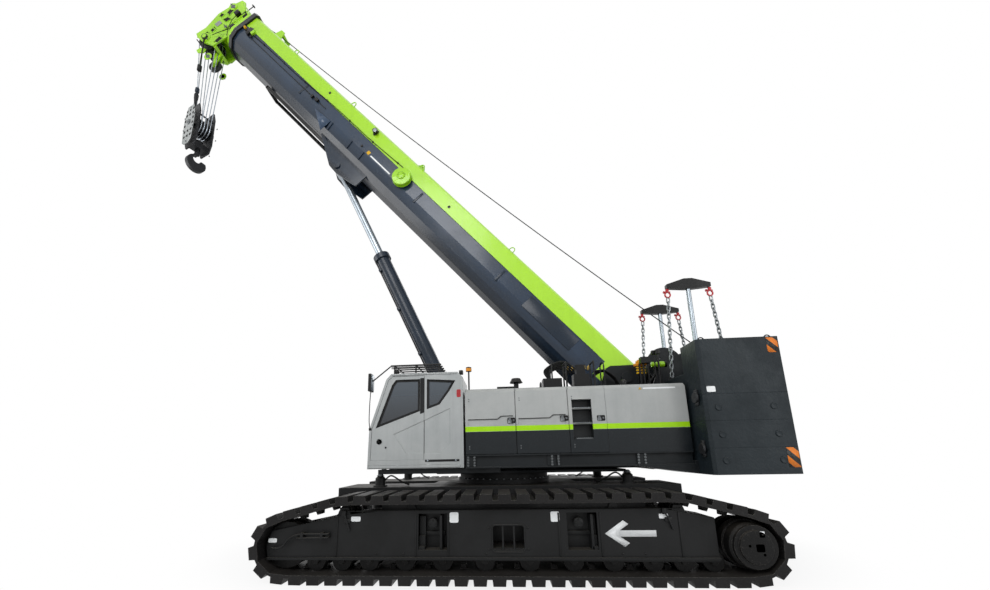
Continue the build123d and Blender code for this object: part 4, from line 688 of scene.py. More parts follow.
@dataclass(frozen=True)
class BoomPaint(Paint):
    """Dark boom with its bright upper strip, and painted shade with painted reflection streaks on its underside.

    A point's height off the boom's middle line is n = (z - pz) cos a - (x - px) sin a, its distance along it is
    u = (x - px) cos a + (z - pz) sin a, for the pivot (px, pz) and the angle a of the boom at rest.
    """

    pivot: tuple[float, float] = (-2.55, 3.24)
    angle: float = math.radians(48.4)
    strip: float = -0.055
    foot: float = 0.52
    collar: float = 13.764
    # Colour of the painted shade on the boom's underside.
    belly: str = "#101821"

    def pattern(self, n: Nodes, colour: bpy.types.NodeSocket) -> bpy.types.NodeSocket:
        """Bright over the strip's edge and the foot; painted shade with painted reflection streaks below the middle
        line.
        """
        x, y, z = n.position()
        across, along = n.math("SUBTRACT", x, self.pivot[0]), n.math("SUBTRACT", z, self.pivot[1])
        sine, cosine = math.sin(self.angle), math.cos(self.angle)
        height = n.math("SUBTRACT", n.math("MULTIPLY", along, cosine), n.math("MULTIPLY", across, sine))
        reach = n.math("ADD", n.math("MULTIPLY", across, cosine), n.math("MULTIPLY", along, sine))
        top = n.add("Group", {0: height, 1: self.strip, 2: 2.0}, node_tree=Shared.get("band")).outputs[0]
        foot = n.add("Group", {0: reach, 1: -2.0, 2: self.foot}, node_tree=Shared.get("band")).outputs[0]
        foot = n.math("MULTIPLY", foot, n.ramp(height, -0.42, -0.40))
        bright = n.mix(n.ramp(reach, 0.0, 12.0), linear("#b2e83a"), linear("#9fd41f"))
        # Painted shade, darker further below the middle line, broken by painted reflection streaks that run along the
        # boom.
        streak_coordinates = n.add("CombineXYZ", {0: n.math("MULTIPLY", reach, 0.16), 1: n.math("MULTIPLY", y, 3.0),
                2: n.math("MULTIPLY", height, 9.0)})
        belly_reflection_streaks = n.add("TexNoise", {"Vector": streak_coordinates.outputs[0], "Scale": 1.0, "Detail": 3.0}).outputs[0]
        low = n.math("MULTIPLY", n.ramp(height, -0.30, -0.74), n.ramp(belly_reflection_streaks, 0.3, 0.7, 0.55, 1.0))
        colour = n.mix(low, colour, linear(self.belly))
        colour = n.mix(n.math("MAXIMUM", top, foot), colour, bright)
        return n.mix(n.ramp(reach, self.collar - 0.001, self.collar + 0.001), colour, linear("#0b0d0f"))


@dataclass(frozen=True)
class SectionPaint(BoomPaint):
    """Sliding sections: blue-grey tubes with black collars and, on the last, the bright ring that the head is welded to."""

    collar: float = 13.88
    ring: float = 13.965

    def pattern(self, n: Nodes, colour: bpy.types.NodeSocket) -> bpy.types.NodeSocket:
        """Black from the collar on, bright from the ring on."""
        x, y, z = n.position()
        across = n.math("MULTIPLY", n.math("SUBTRACT", x, self.pivot[0]), math.cos(self.angle))
        along = n.math("MULTIPLY", n.math("SUBTRACT", z, self.pivot[1]), math.sin(self.angle))
        reach = n.math("ADD", across, along)
        colour = n.mix(n.ramp(reach, self.collar - 0.001, self.collar + 0.001), colour, linear("#0b0d0f"))
        return n.mix(n.ramp(reach, self.ring - 0.001, self.ring + 0.001), colour, linear("#9dd61a"))


@dataclass(frozen=True)
class FittingPaint(BoomPaint):
    """Bright fittings on the boom, black from a distance along it onwards."""

    limit: float = 13.42

    def pattern(self, n: Nodes, colour: bpy.types.NodeSocket) -> bpy.types.NodeSocket:
        """Black past the limit."""
        x, y, z = n.position()
        across = n.math("MULTIPLY", n.math("SUBTRACT", x, self.pivot[0]), math.cos(self.angle))
        along = n.math("MULTIPLY", n.math("SUBTRACT", z, self.pivot[1]), math.sin(self.angle))
        beyond = n.ramp(n.math("ADD", across, along), self.limit - 0.002, self.limit + 0.002)
        return n.mix(beyond, colour, linear("#131516"))


@dataclass(frozen=True)
class HazardPaint(Paint):
    """Slanted orange and dark bars: a bar wherever (x + z) / pitch has a fraction under one half."""

    bars: str = "#f08426"
    pitch: float = 0.22
    lean: float = -1.0

    def pattern(self, n: Nodes, colour: bpy.types.NodeSocket) -> bpy.types.NodeSocket:
        """Orange on every second bar."""
        x, y, z = n.position()
        slant = n.math("ADD", n.math("ADD", n.math("MULTIPLY", x, self.lean), n.math("MULTIPLY", y, 0.9)), z)
        share = n.math("FRACT", n.math("DIVIDE", n.math("ADD", slant, 50.0), self.pitch))
        return n.mix(n.ramp(share, 0.49, 0.51), linear(self.bars), colour)


@dataclass(frozen=True)
class Glass:
    """Tinted cab glass, darker towards its top."""

    name: str
    low: str
    high: str
    span: tuple[float, float] = (2.2, 3.2)

    def build(self) -> bpy.types.Material:
        """Makes the material: a glossy tinted pane that lets part of the light through.

        Returns:
            The material.
        """
        material = bpy.data.materials.new(self.name)
        material.use_nodes = True
        n = Nodes(material.node_tree)
        material.node_tree.nodes.clear()
        z = n.position()[2]
        smear = n.add("TexNoise", {"Vector": n.add("TexCoord").outputs["Object"], "Scale": 3.0, "Detail": 4.0})
        tint = n.mix(n.ramp(z, *self.span), linear(self.low), linear(self.high))
        rough = n.ramp(smear.outputs[0], 0.35, 0.7, 0.03, 0.11)
        pane = n.add("BsdfPrincipled", {"Base Color": tint, "Roughness": rough, "IOR": 1.5, "Transmission Weight": 0.3,
                                        "Coat Weight": 0.6, "Coat Roughness": 0.03})
        n.add("OutputMaterial", {0: pane.outputs[0]})
        return material


@dataclass(frozen=True)
class Fabric:
    """Woven seat cloth: crossed threads from two sine waves, with a soft sheen."""

    name: str
    thread: str
    shadow: str
    pitch: float = 900.0

    def build(self) -> bpy.types.Material:
        """Makes the material.

        Returns:
            The material.
        """
        material = bpy.data.materials.new(self.name)
        material.use_nodes = True
        n = Nodes(material.node_tree)
        material.node_tree.nodes.clear()
        place = n.position()
        waves = [n.math("SINE", n.math("MULTIPLY", axis, self.pitch)) for axis in place]
        weave = n.math("MULTIPLY", n.math("ADD", n.math("MULTIPLY", waves[0], waves[1]), waves[2]), 0.5)
        fuzz = n.add("TexNoise", {"Vector": n.add("TexCoord").outputs["Object"], "Scale": 45.0,
                "Detail": 4.0}).outputs[0]
        share = n.math("MULTIPLY", n.ramp(weave, -1.0, 1.0), n.ramp(fuzz, 0.3, 0.7, 0.5, 1.0))
        bump = n.add("Bump", {"Height": weave, "Strength": 0.5, "Distance": 0.001})
        shader = n.add("BsdfPrincipled", {"Base Color": n.mix(share, linear(self.shadow), linear(self.thread)),
                                          "Roughness": n.ramp(fuzz, 0.3, 0.7, 0.78, 0.95), "Sheen Weight": 0.35,
                                          "Normal": bump.outputs[0]})
        n.add("OutputMaterial", {0: shader.outputs[0]})
        return material


class Finish(Enum):
    """Every finish on the crane."""

    LIME = Paint("lime_paint", "#a4dc1c", "#8cc410", dusty=0.12, rough=0.3, coat=0.35, worn=0.3)
    BOOM = BoomPaint("boom_paint_banded", "#26374b", "#1e2c3c", dusty=0.04, rough=0.24, coat=0.3, worn=0.15,
            radius=0.006)
    # Lighter copy of the boom paint, used as painted facet shading on flat plates.
    BOOM_EDGE = Paint("boom_paint_facet_shading", "#3a4d63", "#31425a", dusty=0.04, rough=0.3, coat=0.2, worn=0.2)
    BOOM_DARK = Paint("boom_paint_dark", "#1b2836", "#141e29", dusty=0.04, rough=0.32, coat=0.1, worn=0.25)
    SECTION = SectionPaint("section_paint", "#30485e", "#26394a", dusty=0.05, rough=0.28, coat=0.4, worn=0.2)
    PANEL = PanelPaint("panel_paint", "#b2b4b2", "#a3a6a5", dusty=0.18, streaky=0.25, rough=0.36, coat=0.06, worn=0.2,
            radius=0.012)
    CAB = Paint("cab_paint", "#b0b3b2", "#a0a4a4", dusty=0.15, streaky=0.35, rough=0.34, coat=0.3, worn=0.2,
            radius=0.014)
    FITTING = FittingPaint("fitting_paint", "#a4dc1c", "#8cc410", dusty=0.12, rough=0.3, coat=0.3, worn=0.3)
    CHASSIS = Paint("chassis_paint", "#101112", "#0a0b0b", rubbed="#323435", dusty=0.14, rough=0.5, worn=0.45,
            grain=40.0)
    DECK = Paint("deck_paint", "#151a1d", "#0f1315", rubbed="#45494b", dusty=0.22, rough=0.45, worn=0.35)
    BLACK = Paint("black_paint_satin", "#0e0f10", "#090a0a", rubbed="#404345", dusty=0.16, rough=0.38, worn=0.3)
    BALLAST = Paint("ballast_coating", "#1b2429", "#151c20", rubbed="#364046", dusty=0.1, streaky=0.5, rough=0.5,
            grain=18.0,
                    depth=0.004, radius=0.02, worn=0.35, scale=0.8)
    TRACK = Paint("track_steel_cast", "#1b1a1a", "#100f0f", rubbed="#6a6762", dust="#4a453e", dusty=0.2, rough=0.5,
            metal=0.2,
                  grain=35.0, depth=0.004, worn=0.8, radius=0.01)
    WHEEL = Paint("wheel_steel", "#161616", "#0d0d0d", rubbed="#6c6863", dust="#5c554b", dusty=0.25, rough=0.45,
            metal=0.4,
                  worn=0.6, radius=0.01)
    CHROME = Paint("rod_chrome", "#9aa2a9", "#868f96", rubbed="#747b81", dusty=0.0, streaky=0.1, rough=0.24, metal=0.85,
                   depth=0.0002, worn=0.1)
    NYLON = Paint("sheave_resin", "#2a2d2b", "#1d201e", rubbed="#4d524e", dusty=0.1, rough=0.4, worn=0.3)
    CAST = Paint("hook_cast_steel", "#2e2f31", "#1d1e20", rubbed="#5d5f61", dusty=0.12, rough=0.46, metal=0.3,
            grain=30.0,
                 depth=0.004, worn=0.5)
    CHEEK = Paint("block_cheek_paint", "#a3a6a5", "#858988", rubbed="#b9bcbb", dusty=0.1, rough=0.45, metal=0.2,
            worn=0.5)
    ROPE = Paint("rope_wire", "#b4bcc4", "#8e969e", rubbed="#d9dcde", dusty=0.0, rough=0.34, metal=0.75, grain=220.0,
            worn=0.2,
                 radius=0.001, scale=6.0)
    HOIST_ROPE = Paint("rope_wire_greased", "#3a3d40", "#26282a", rubbed="#6f7375", dusty=0.0, rough=0.4, metal=0.6,
            grain=220.0,
                       worn=0.2, radius=0.001, scale=6.0)
    CHAIN = Paint("chain_zinc", "#8b9093", "#666b6e", rubbed="#c4c7c8", dusty=0.05, rough=0.36, metal=0.85, worn=0.4,
            radius=0.002)
    SHACKLE = Paint("shackle_red", "#c3202b", "#97141d", rubbed="#6a6060", dusty=0.05, rough=0.34, coat=0.3, worn=0.4,
            radius=0.003)
    BOLT = Paint("bolt_zinc", "#6c7072", "#4b4e50", rubbed="#a5a8a9", dusty=0.1, rough=0.38, metal=0.8, worn=0.4,
            radius=0.002)
    RUBBER = Paint("hose_rubber", "#141515", "#0c0c0d", rubbed="#3a3b3b", dusty=0.15, rough=0.62, worn=0.15,
            grain=120.0, radius=0.003)
    LABEL = Paint("blank_label", "#f2f4f4", "#e8eaea", rubbed="#b8bbbb", dusty=0.1, rough=0.42, worn=0.1, radius=0.001)
    YELLOW = Paint("blank_label_yellow", "#e3b31c", "#c89a12", rubbed="#a68a3a", dusty=0.1, rough=0.4, worn=0.1,
            radius=0.001)
    ORANGE = Paint("orange_case", "#e79a2c", "#cc7f1a", rubbed="#b99a6a", dusty=0.1, rough=0.4, worn=0.2, radius=0.004)
    RED = Paint("red_lamp_case", "#c0272d", "#96191f", dusty=0.05, rough=0.25, coat=0.5, worn=0.1, radius=0.003)
    HAZARD = HazardPaint("hazard_bars", "#1a1c1d", "#131415", dusty=0.12, rough=0.4, worn=0.2, radius=0.001)
    ENGINE = Paint("engine_enamel", "#4a5053", "#34393b", dusty=0.3, rough=0.5, worn=0.4)
    INTERIOR = Paint("interior_plastic", "#2c2f31", "#212426", rubbed="#4a4e50", dusty=0.08, rough=0.55, worn=0.1,
            grain=180.0)
    # Dark finish for printed pane borders and for painted shade in the head's openings and the block cheek's holes.
    DARK_PRINT_AND_SHADE = Paint("dark_print_and_painted_shade", "#101112", "#0a0b0b", rubbed="#2c2e2f", dusty=0.1, rough=0.6, worn=0.2)
    BRASS = Paint("fitting_brass", "#a38a4c", "#7c6734", rubbed="#cdb674", dusty=0.05, rough=0.3, metal=0.9, worn=0.3,
            radius=0.002)
    GLASS = Glass("tinted_pane", "#131c26", "#4a5661")
    LENS = Glass("lamp_lens", "#c4ccd0", "#aab3b8", (0.0, 9.0))
    SEAT = Fabric("seat_cloth", "#3a3f44", "#1b1d20")

    @property
    def material(self) -> bpy.types.Material:
        """The finish's material, made at its first use."""
        return bpy.data.materials.get(self.value.name) or self.value.build()


@dataclass
class Coats:
    """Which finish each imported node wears."""

    by_node: dict[str, Finish] = field(default_factory=lambda: {
        "carbody": Finish.CHASSIS, "slew_bearing": Finish.CHASSIS, "side_frame": Finish.CHASSIS,
                "rollers": Finish.WHEEL,
        "idler_wheels": Finish.WHEEL, "final_drives": Finish.WHEEL, "track": Finish.TRACK, "jack": Finish.CHASSIS,
        "turntable": Finish.DECK, "housing": Finish.PANEL, "door": Finish.PANEL, "engine": Finish.ENGINE,
        "deck_fittings": Finish.BLACK, "boom_base": Finish.BOOM, "boom_fittings": Finish.FITTING,
        "boom_section": Finish.SECTION, "boom_head": Finish.LIME, "head_sheaves": Finish.NYLON,
                "luff_barrel": Finish.BOOM_DARK,
        "luff_rod": Finish.CHROME, "limit_weight": Finish.BLACK, "hook_block": Finish.CAST, "hook": Finish.CAST,
        "counterweight": Finish.BALLAST, "lift_columns": Finish.BLACK, "winch_frame": Finish.DECK,
                "winch_drum": Finish.DECK,
        "cab_shell": Finish.CAB, "cab_door": Finish.CAB, "cab_glass": Finish.GLASS, "cab_seat": Finish.INTERIOR,
        "cab_fittings": Finish.BLACK})

    def apply(self) -> None:
        """Puts a finish in every material slot of every node, by the longest name that starts the node's."""
        for name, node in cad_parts.items():
            key = max((start for start in self.by_node if name.startswith(start)), key=len)
            for slot in node.material_slots:
                slot.material = self.by_node[key].material
            log.info("%s: %s", name, self.by_node[key].value.name)


# ======================================================================
# Studio
# ======================================================================


@dataclass
class Studio:
    """White studio: camera, soft lamps, and a pale floor that keeps the crane's shadow."""

    eye: Point = (0.046, 8.287, 1.756)
    yaw: float = -0.0755
    pitch: float = 0.2072
    roll: float = 0.0190
    focal: float = 381.77
    centre: tuple[float, float] = (469.62, 374.96)
    picture: tuple[int, int] = (990, 590)

    def camera(self) -> None:
        """Places the camera: level heading turned by yaw, raised by pitch, tipped by roll, with its lens shifted."""
        right0, ahead0, up0 = np.array([-1.0, 0, 0]), np.array([0, -1.0, 0]), np.array([0, 0, 1.0])
        right1 = math.cos(self.yaw) * right0 - math.sin(self.yaw) * ahead0
        ahead1 = math.sin(self.yaw) * right0 + math.cos(self.yaw) * ahead0
        ahead = math.cos(self.pitch) * ahead1 + math.sin(self.pitch) * up0
        up1 = -math.sin(self.pitch) * ahead1 + math.cos(self.pitch) * up0
        right = math.cos(self.roll) * right1 - math.sin(self.roll) * up1
        up = math.sin(self.roll) * right1 + math.cos(self.roll) * up1
        data = bpy.data.cameras.new("camera")
        data.sensor_width = 36.0
        data.lens = self.focal * 36.0 / self.picture[0]
        data.shift_x = (self.picture[0] / 2 - self.centre[0]) / self.picture[0]
        data.shift_y = (self.centre[1] - self.picture[1] / 2) / self.picture[0]
        data.clip_end = 200.0
        camera = bpy.data.objects.new("camera", data)
        matrix = np.eye(4)
        matrix[:3, :3] = np.column_stack([right, up, -ahead])
        matrix[:3, 3] = self.eye
        camera.matrix_world = Matrix(matrix.tolist())
        bpy.context.scene.collection.objects.link(camera)
        bpy.context.scene.camera = camera

    def lamp(self, name: str, place: Point, size: float, power: float, target: Point = (0.0, 0.0, 3.0)) -> None:
        """Adds one square soft lamp that faces a target.

        Args:
            name: the lamp's name.
            place: where it hangs.
            size: its side, in metres.
            power: its output, in watts.
            target: what it faces.
        """
        data = bpy.data.lights.new(name, "AREA")
        data.size, data.energy = size, power
        lamp = bpy.data.objects.new(name, data)
        lamp.location = place
        lamp.rotation_euler = (Vector(target) - Vector(place)).to_track_quat("-Z", "Y").to_euler()
        bpy.context.scene.collection.objects.link(lamp)

    def white_world(self) -> None:
        """World that lights the crane evenly and is plain white to the camera, to mirrors and through glass."""
        world = bpy.data.worlds.new("studio")
        bpy.context.scene.world = world
        world.use_nodes = True
        n = Nodes(world.node_tree)
        world.node_tree.nodes.clear()
        path = n.add("LightPath").outputs
        seen = n.math("MAXIMUM", path["Is Camera Ray"],
                n.math("MAXIMUM", path["Is Glossy Ray"], path["Is Transmission Ray"]))
        light = n.add("Background", {0: (0.95, 0.97, 1.0, 1.0), 1: 0.5})
        white = n.add("Background", {0: (1.0, 1.0, 1.0, 1.0), 1: 1.0})
        blend = n.add("MixShader", {0: seen, 1: light.outputs[0], 2: white.outputs[0]})
        n.add("OutputWorld", {0: blend.outputs[0]})

    def floor(self) -> None:
        """Pale floor, a gently dished square grid: z = 0 near the crane and falling by a millimetre far off."""
        reach = np.linspace(-60.0, 60.0, 25)
        x, y = np.meshgrid(reach, reach, indexing="ij")
        fall = -0.002 - 0.001 * (np.hypot(x, y) / 60.0) ** 2
        patch = grid(np.stack([x, y, fall], -1))
        material = bpy.data.materials.new("floor_white")
        material.use_nodes = True
        n = Nodes(material.node_tree)
        material.node_tree.nodes.clear()
        path = n.add("LightPath").outputs
        seen = n.math("MAXIMUM", path["Is Camera Ray"],
                n.math("MAXIMUM", path["Is Glossy Ray"], path["Is Transmission Ray"]))
        near = n.add("VectorMath", {0: n.add("TexCoord").outputs["Object"], 1: (0.24, 0.34, 0.0)}, operation="MULTIPLY")
        away = n.add("VectorMath", {0: near.outputs[0]}, operation="LENGTH").outputs["Value"]
        keep = n.ramp(away, 0.9, 1.5, 0.8, 1.0)
        matt = n.add("BsdfDiffuse", {0: (0.62, 0.62, 0.62, 1.0)})
        glow = n.add("Emission", {0: (1.0, 1.0, 1.0, 1.0), 1: 1.0})
        blend = n.add("MixShader", {0: n.math("MULTIPLY", seen, keep), 1: matt.outputs[0], 2: glow.outputs[0]})
        n.add("OutputMaterial", {0: blend.outputs[0]})
        mesh = bpy.data.meshes.new("floor")
        mesh.from_pydata(patch.points.tolist(), [], patch.faces[0][:, ::-1].tolist())
        mesh.materials.append(material)
        floor = bpy.data.objects.new("floor", mesh)
        bpy.context.scene.collection.objects.link(floor)

    def build(self) -> None:
        """Sets up the whole studio."""
        bpy.context.scene.view_settings.view_transform = "Standard"
        self.camera()
        self.white_world()
        self.floor()
        self.lamp("key", (5.0, 16.0, 15.0), 9.0, 1650.0, (0.0, 0.0, 4.0))
        self.lamp("fill", (-14.0, 12.0, 7.0), 10.0, 700.0, (0.0, 0.0, 3.0))
        self.lamp("front", (16.0, 3.0, 8.0), 8.0, 600.0, (0.0, 0.0, 5.0))
        self.lamp("back", (-4.0, -16.0, 13.0), 10.0, 900.0, (0.0, 0.0, 5.0))
        log.info("studio ready")


# ======================================================================
# Shared shapes
# ======================================================================


def turned_frame(origin: Point, angle: float, axis: str) -> np.ndarray:
    """Local frame at an origin, turned about a machine axis.

    About y the first column is (cos a, 0, sin a); about z it is (cos a, sin a, 0).

    Args:
        origin: where the frame stands.
        angle: the turn in radians.
        axis: "y" or "z".

    Returns:
        A 4x4 placement.
    """
    sine, cosine = math.sin(angle), math.cos(angle)
    columns = {"y": ((cosine, 0, sine), (0, 1, 0), (-sine, 0, cosine)),
            "z": ((cosine, sine, 0), (-sine, cosine, 0), (0, 0, 1))}
    matrix = np.eye(4)
    matrix[:3, :3] = np.array(columns[axis], float).T
    matrix[:3, 3] = origin
    return matrix


BOOM = turned_frame((-2.55, 0.0, 3.24), math.radians(48.4), "y")
BLOCK = turned_frame((7.964, 0.0, 9.950), math.radians(-22.0), "z")


def on(matrix: np.ndarray, point: Point) -> Point:
    """A local point in the machine's frame."""
    moved = matrix[:3, :3] @ np.asarray(point, float) + matrix[:3, 3]
    return (float(moved[0]), float(moved[1]), float(moved[2]))


def rope(path: np.ndarray, radius: float, lay: float = 0.16, strands: int = 6, up: Point = (0.0, 1.0, 0.0)) -> Patch:
    """Stranded rope: r(t, a) = r (1 - 0.16 |sin(m/2 (a - 2 pi s / lay))|) round a path, s being the length so far.

    Args:
        path: the rope's middle line.
        radius: its outer radius.
        lay: length of one turn of the strands.
        strands: how many strands show.
        up: a direction the path never runs along.

    Returns:
        The rope's surface.
    """
    path = np.asarray(path, float)
    steps = np.linalg.norm(np.diff(path, axis=0), axis=1)
    length = np.concatenate([[0.0], np.cumsum(steps)])
    fine = np.linspace(0.0, length[-1], max(int(length[-1] / lay * 9), 12))
    path = np.column_stack([np.interp(fine, length, path[:, i]) for i in range(3)])
    along = unit(np.gradient(path, axis=0))
    normal = unit(np.cross(along, np.asarray(up, float)))
    binormal = np.cross(along, normal)
    angle = np.linspace(0, 2 * math.pi, strands * 3, endpoint=False)
    swell = 1 - 0.16 * np.abs(np.sin(strands / 2 * (angle[None] - 2 * math.pi * fine[:, None] / lay)))
    reach = (radius * swell)[..., None]
    circle = np.cos(angle)[None, :, None] * normal[:, None] + np.sin(angle)[None, :, None] * binormal[:, None]
    return rings(path[:, None] + reach * circle)


def chain(start: Point, end: Point, pitch: float, wire: float, sag: float = 0.0) -> Patch:
    """Welded chain: oval links, each turned a quarter about the line from the one before.

    A link's middle line is (w sin a, 0, h cos a + e sign(cos a)) for a from 0 to 2 pi.

    Args:
        start: middle of the first link.
        end: middle of the last link.
        pitch: distance from link to link.
        wire: radius of the wire.
        sag: how far the middle of the run hangs down.

    Returns:
        All links as one patch.
    """
    start_point, end_point = np.asarray(start, float), np.asarray(end, float)
    count = max(int(round(np.linalg.norm(end_point - start_point) / pitch)), 2)
    angle = np.linspace(0, 2 * math.pi, 20, endpoint=False)
    half, width = pitch / 2 + wire, pitch * 0.32
    middle = np.stack([width * np.sin(angle), 0 * angle,
            (half - width) * np.sign(np.cos(angle)) + width * np.cos(angle)], -1)
    outward = np.stack([np.sin(angle), 0 * angle, np.cos(angle)], -1)
    turn = np.linspace(0, 2 * math.pi, 7, endpoint=False)
    link = middle[:, None] + wire * (np.cos(turn)[None, :, None] * outward[:, None]
                                     + np.sin(turn)[None, :, None] * np.array([0.0, 1.0, 0.0]))
    patch = grid(link, close_u=True, close_v=True)
    share = (np.arange(count) + 0.5) / count
    place = start_point + share[:, None] * (end_point - start_point)
    place[:, 2] -= 4 * sag * share * (1 - share)
    along = unit(end_point - start_point)
    side = unit(np.cross(along, (0.0, 1.0, 0.0)) if abs(along[1]) < 0.9 else np.cross(along, (1.0, 0.0, 0.0)))
    cross = np.cross(along, side)
    matrices = np.repeat(np.eye(4)[None], count, axis=0)
    even = (np.arange(count) % 2 == 0)[:, None]
    matrices[:, :3, 0] = np.where(even, side, cross)
    matrices[:, :3, 1] = np.where(even, cross, -side)
    matrices[:, :3, 2] = along
    matrices[:, :3, 3] = place
    return patch.repeated(matrices)


def shackle(wire: float = 0.018, width: float = 0.05, height: float = 0.1) -> Patch:
    """Bow shackle hanging down from its pin: a bow (w sin a, 0, -h/2 - h/2 cos a) wider at its belly, and a pin with its nut."""
    angle = np.linspace(-2.6, 2.6, 30)
    bow = np.stack([width * 1.15 * np.sin(angle), 0 * angle, -height * 0.55 - height * 0.5 * np.cos(angle)], -1)
    pin = tube(np.array([[-width * 1.25, 0, 0], [0, 0, 0], [width * 1.25, 0, 0]]), wire * 0.9, 10)
    nut = lathe([(0, 0), (wire * 1.6, 0), (wire * 1.6, wire * 1.6), (0, wire * 1.6)], 6)
    return joined([tube(bow, wire, 10), pin, nut.placed(at((width * 1.2, 0, 0), "x"))])


def hose(points: Sequence[Point], radius: float = 0.016, sides: int = 10) -> Patch:
    """Hydraulic hose through its bends, with a crimped ferrule at each end."""
    path = arc_path(points, 14)
    patches = [tube(path, radius, sides, up=(0.31, 0.93, 0.2))]
    for first, second in ((path[0], path[3]), (path[-1], path[-4])):
        line = first + (second - first) * np.linspace(0, 1, 5)[:, None]
        patches.append(tube(line, radius * np.array([1.15, 1.35, 1.2, 1.35, 1.1]), sides, up=(0.31, 0.93, 0.2)))
    return joined(patches)


def bolt_circle(centre: Point, radius: float, count: int, axis: str, across: float = 0.03,
        height: float = 0.014) -> Patch:
    """Bolt heads evenly round a circle that stands across an axis."""
    angle = np.arange(count) * 2 * math.pi / count
    local = np.stack([radius * np.cos(angle), radius * np.sin(angle), 0 * angle], -1)
    frame_axes = basis(axis)[:3, :3]
    return hex_bolt(across, height).repeated(spots(local @ frame_axes.T + np.asarray(centre), axis))


def both(patch: Patch) -> Patch:
    """A patch and its mirror image on the machine's other side."""
    return joined([patch, mirrored(patch)])


def ribbed_ring(radius: float, wire: float, width: float, turns: int, steps: int = 48) -> Patch:
    """Rope wound on a drum: a sleeve about Z whose profile is a row of half rounds, r(z) = R + w |sin(pi t z / W)|.

    Args:
        radius: radius of the drum.
        wire: diameter of the rope.
        width: length of the winding.
        turns: number of turns beside each other.
        steps: points round.

    Returns:
        The winding.
    """
    z = np.linspace(-width / 2, width / 2, turns * 6 + 1)
    bulge = radius + wire * 0.35 + wire * 0.65 * np.abs(np.sin(math.pi * turns * (z / width + 0.5)))
    profile = [(radius - 0.01, -width / 2), *zip(bulge.tolist(), z.tolist()), (radius - 0.01, width / 2)]
    angle = np.linspace(0, 2 * math.pi, steps, endpoint=False)
    outline = np.asarray(profile)
    stack = np.stack([outline[:, 0, None] * np.cos(angle), outline[:, 0, None] * np.sin(angle),
                      np.broadcast_to(outline[:, 1, None], (len(outline), steps))], -1)
    return grid(stack, close_v=True)


def label(x0: float, x1: float, z0: float, z1: float, y: float) -> Patch:
    """Blank plate with rounded corners on a face that looks along +Y: its outline is a superellipse of power 8."""
    angle = np.linspace(0, 2 * math.pi, 32, endpoint=False)
    cosine, sine = np.cos(angle), np.sin(angle)
    reach = (np.abs(cosine) ** 8 + np.abs(sine) ** 8) ** (-1 / 8)
    outline = np.column_stack([(x0 + x1) / 2 + (x1 - x0) / 2 * reach * cosine,
            (z0 + z1) / 2 + (z1 - z0) / 2 * reach * sine])
    return side_plate(outline, y, 0.003, 0.0008)


# ======================================================================
# Undercarriage
# ======================================================================


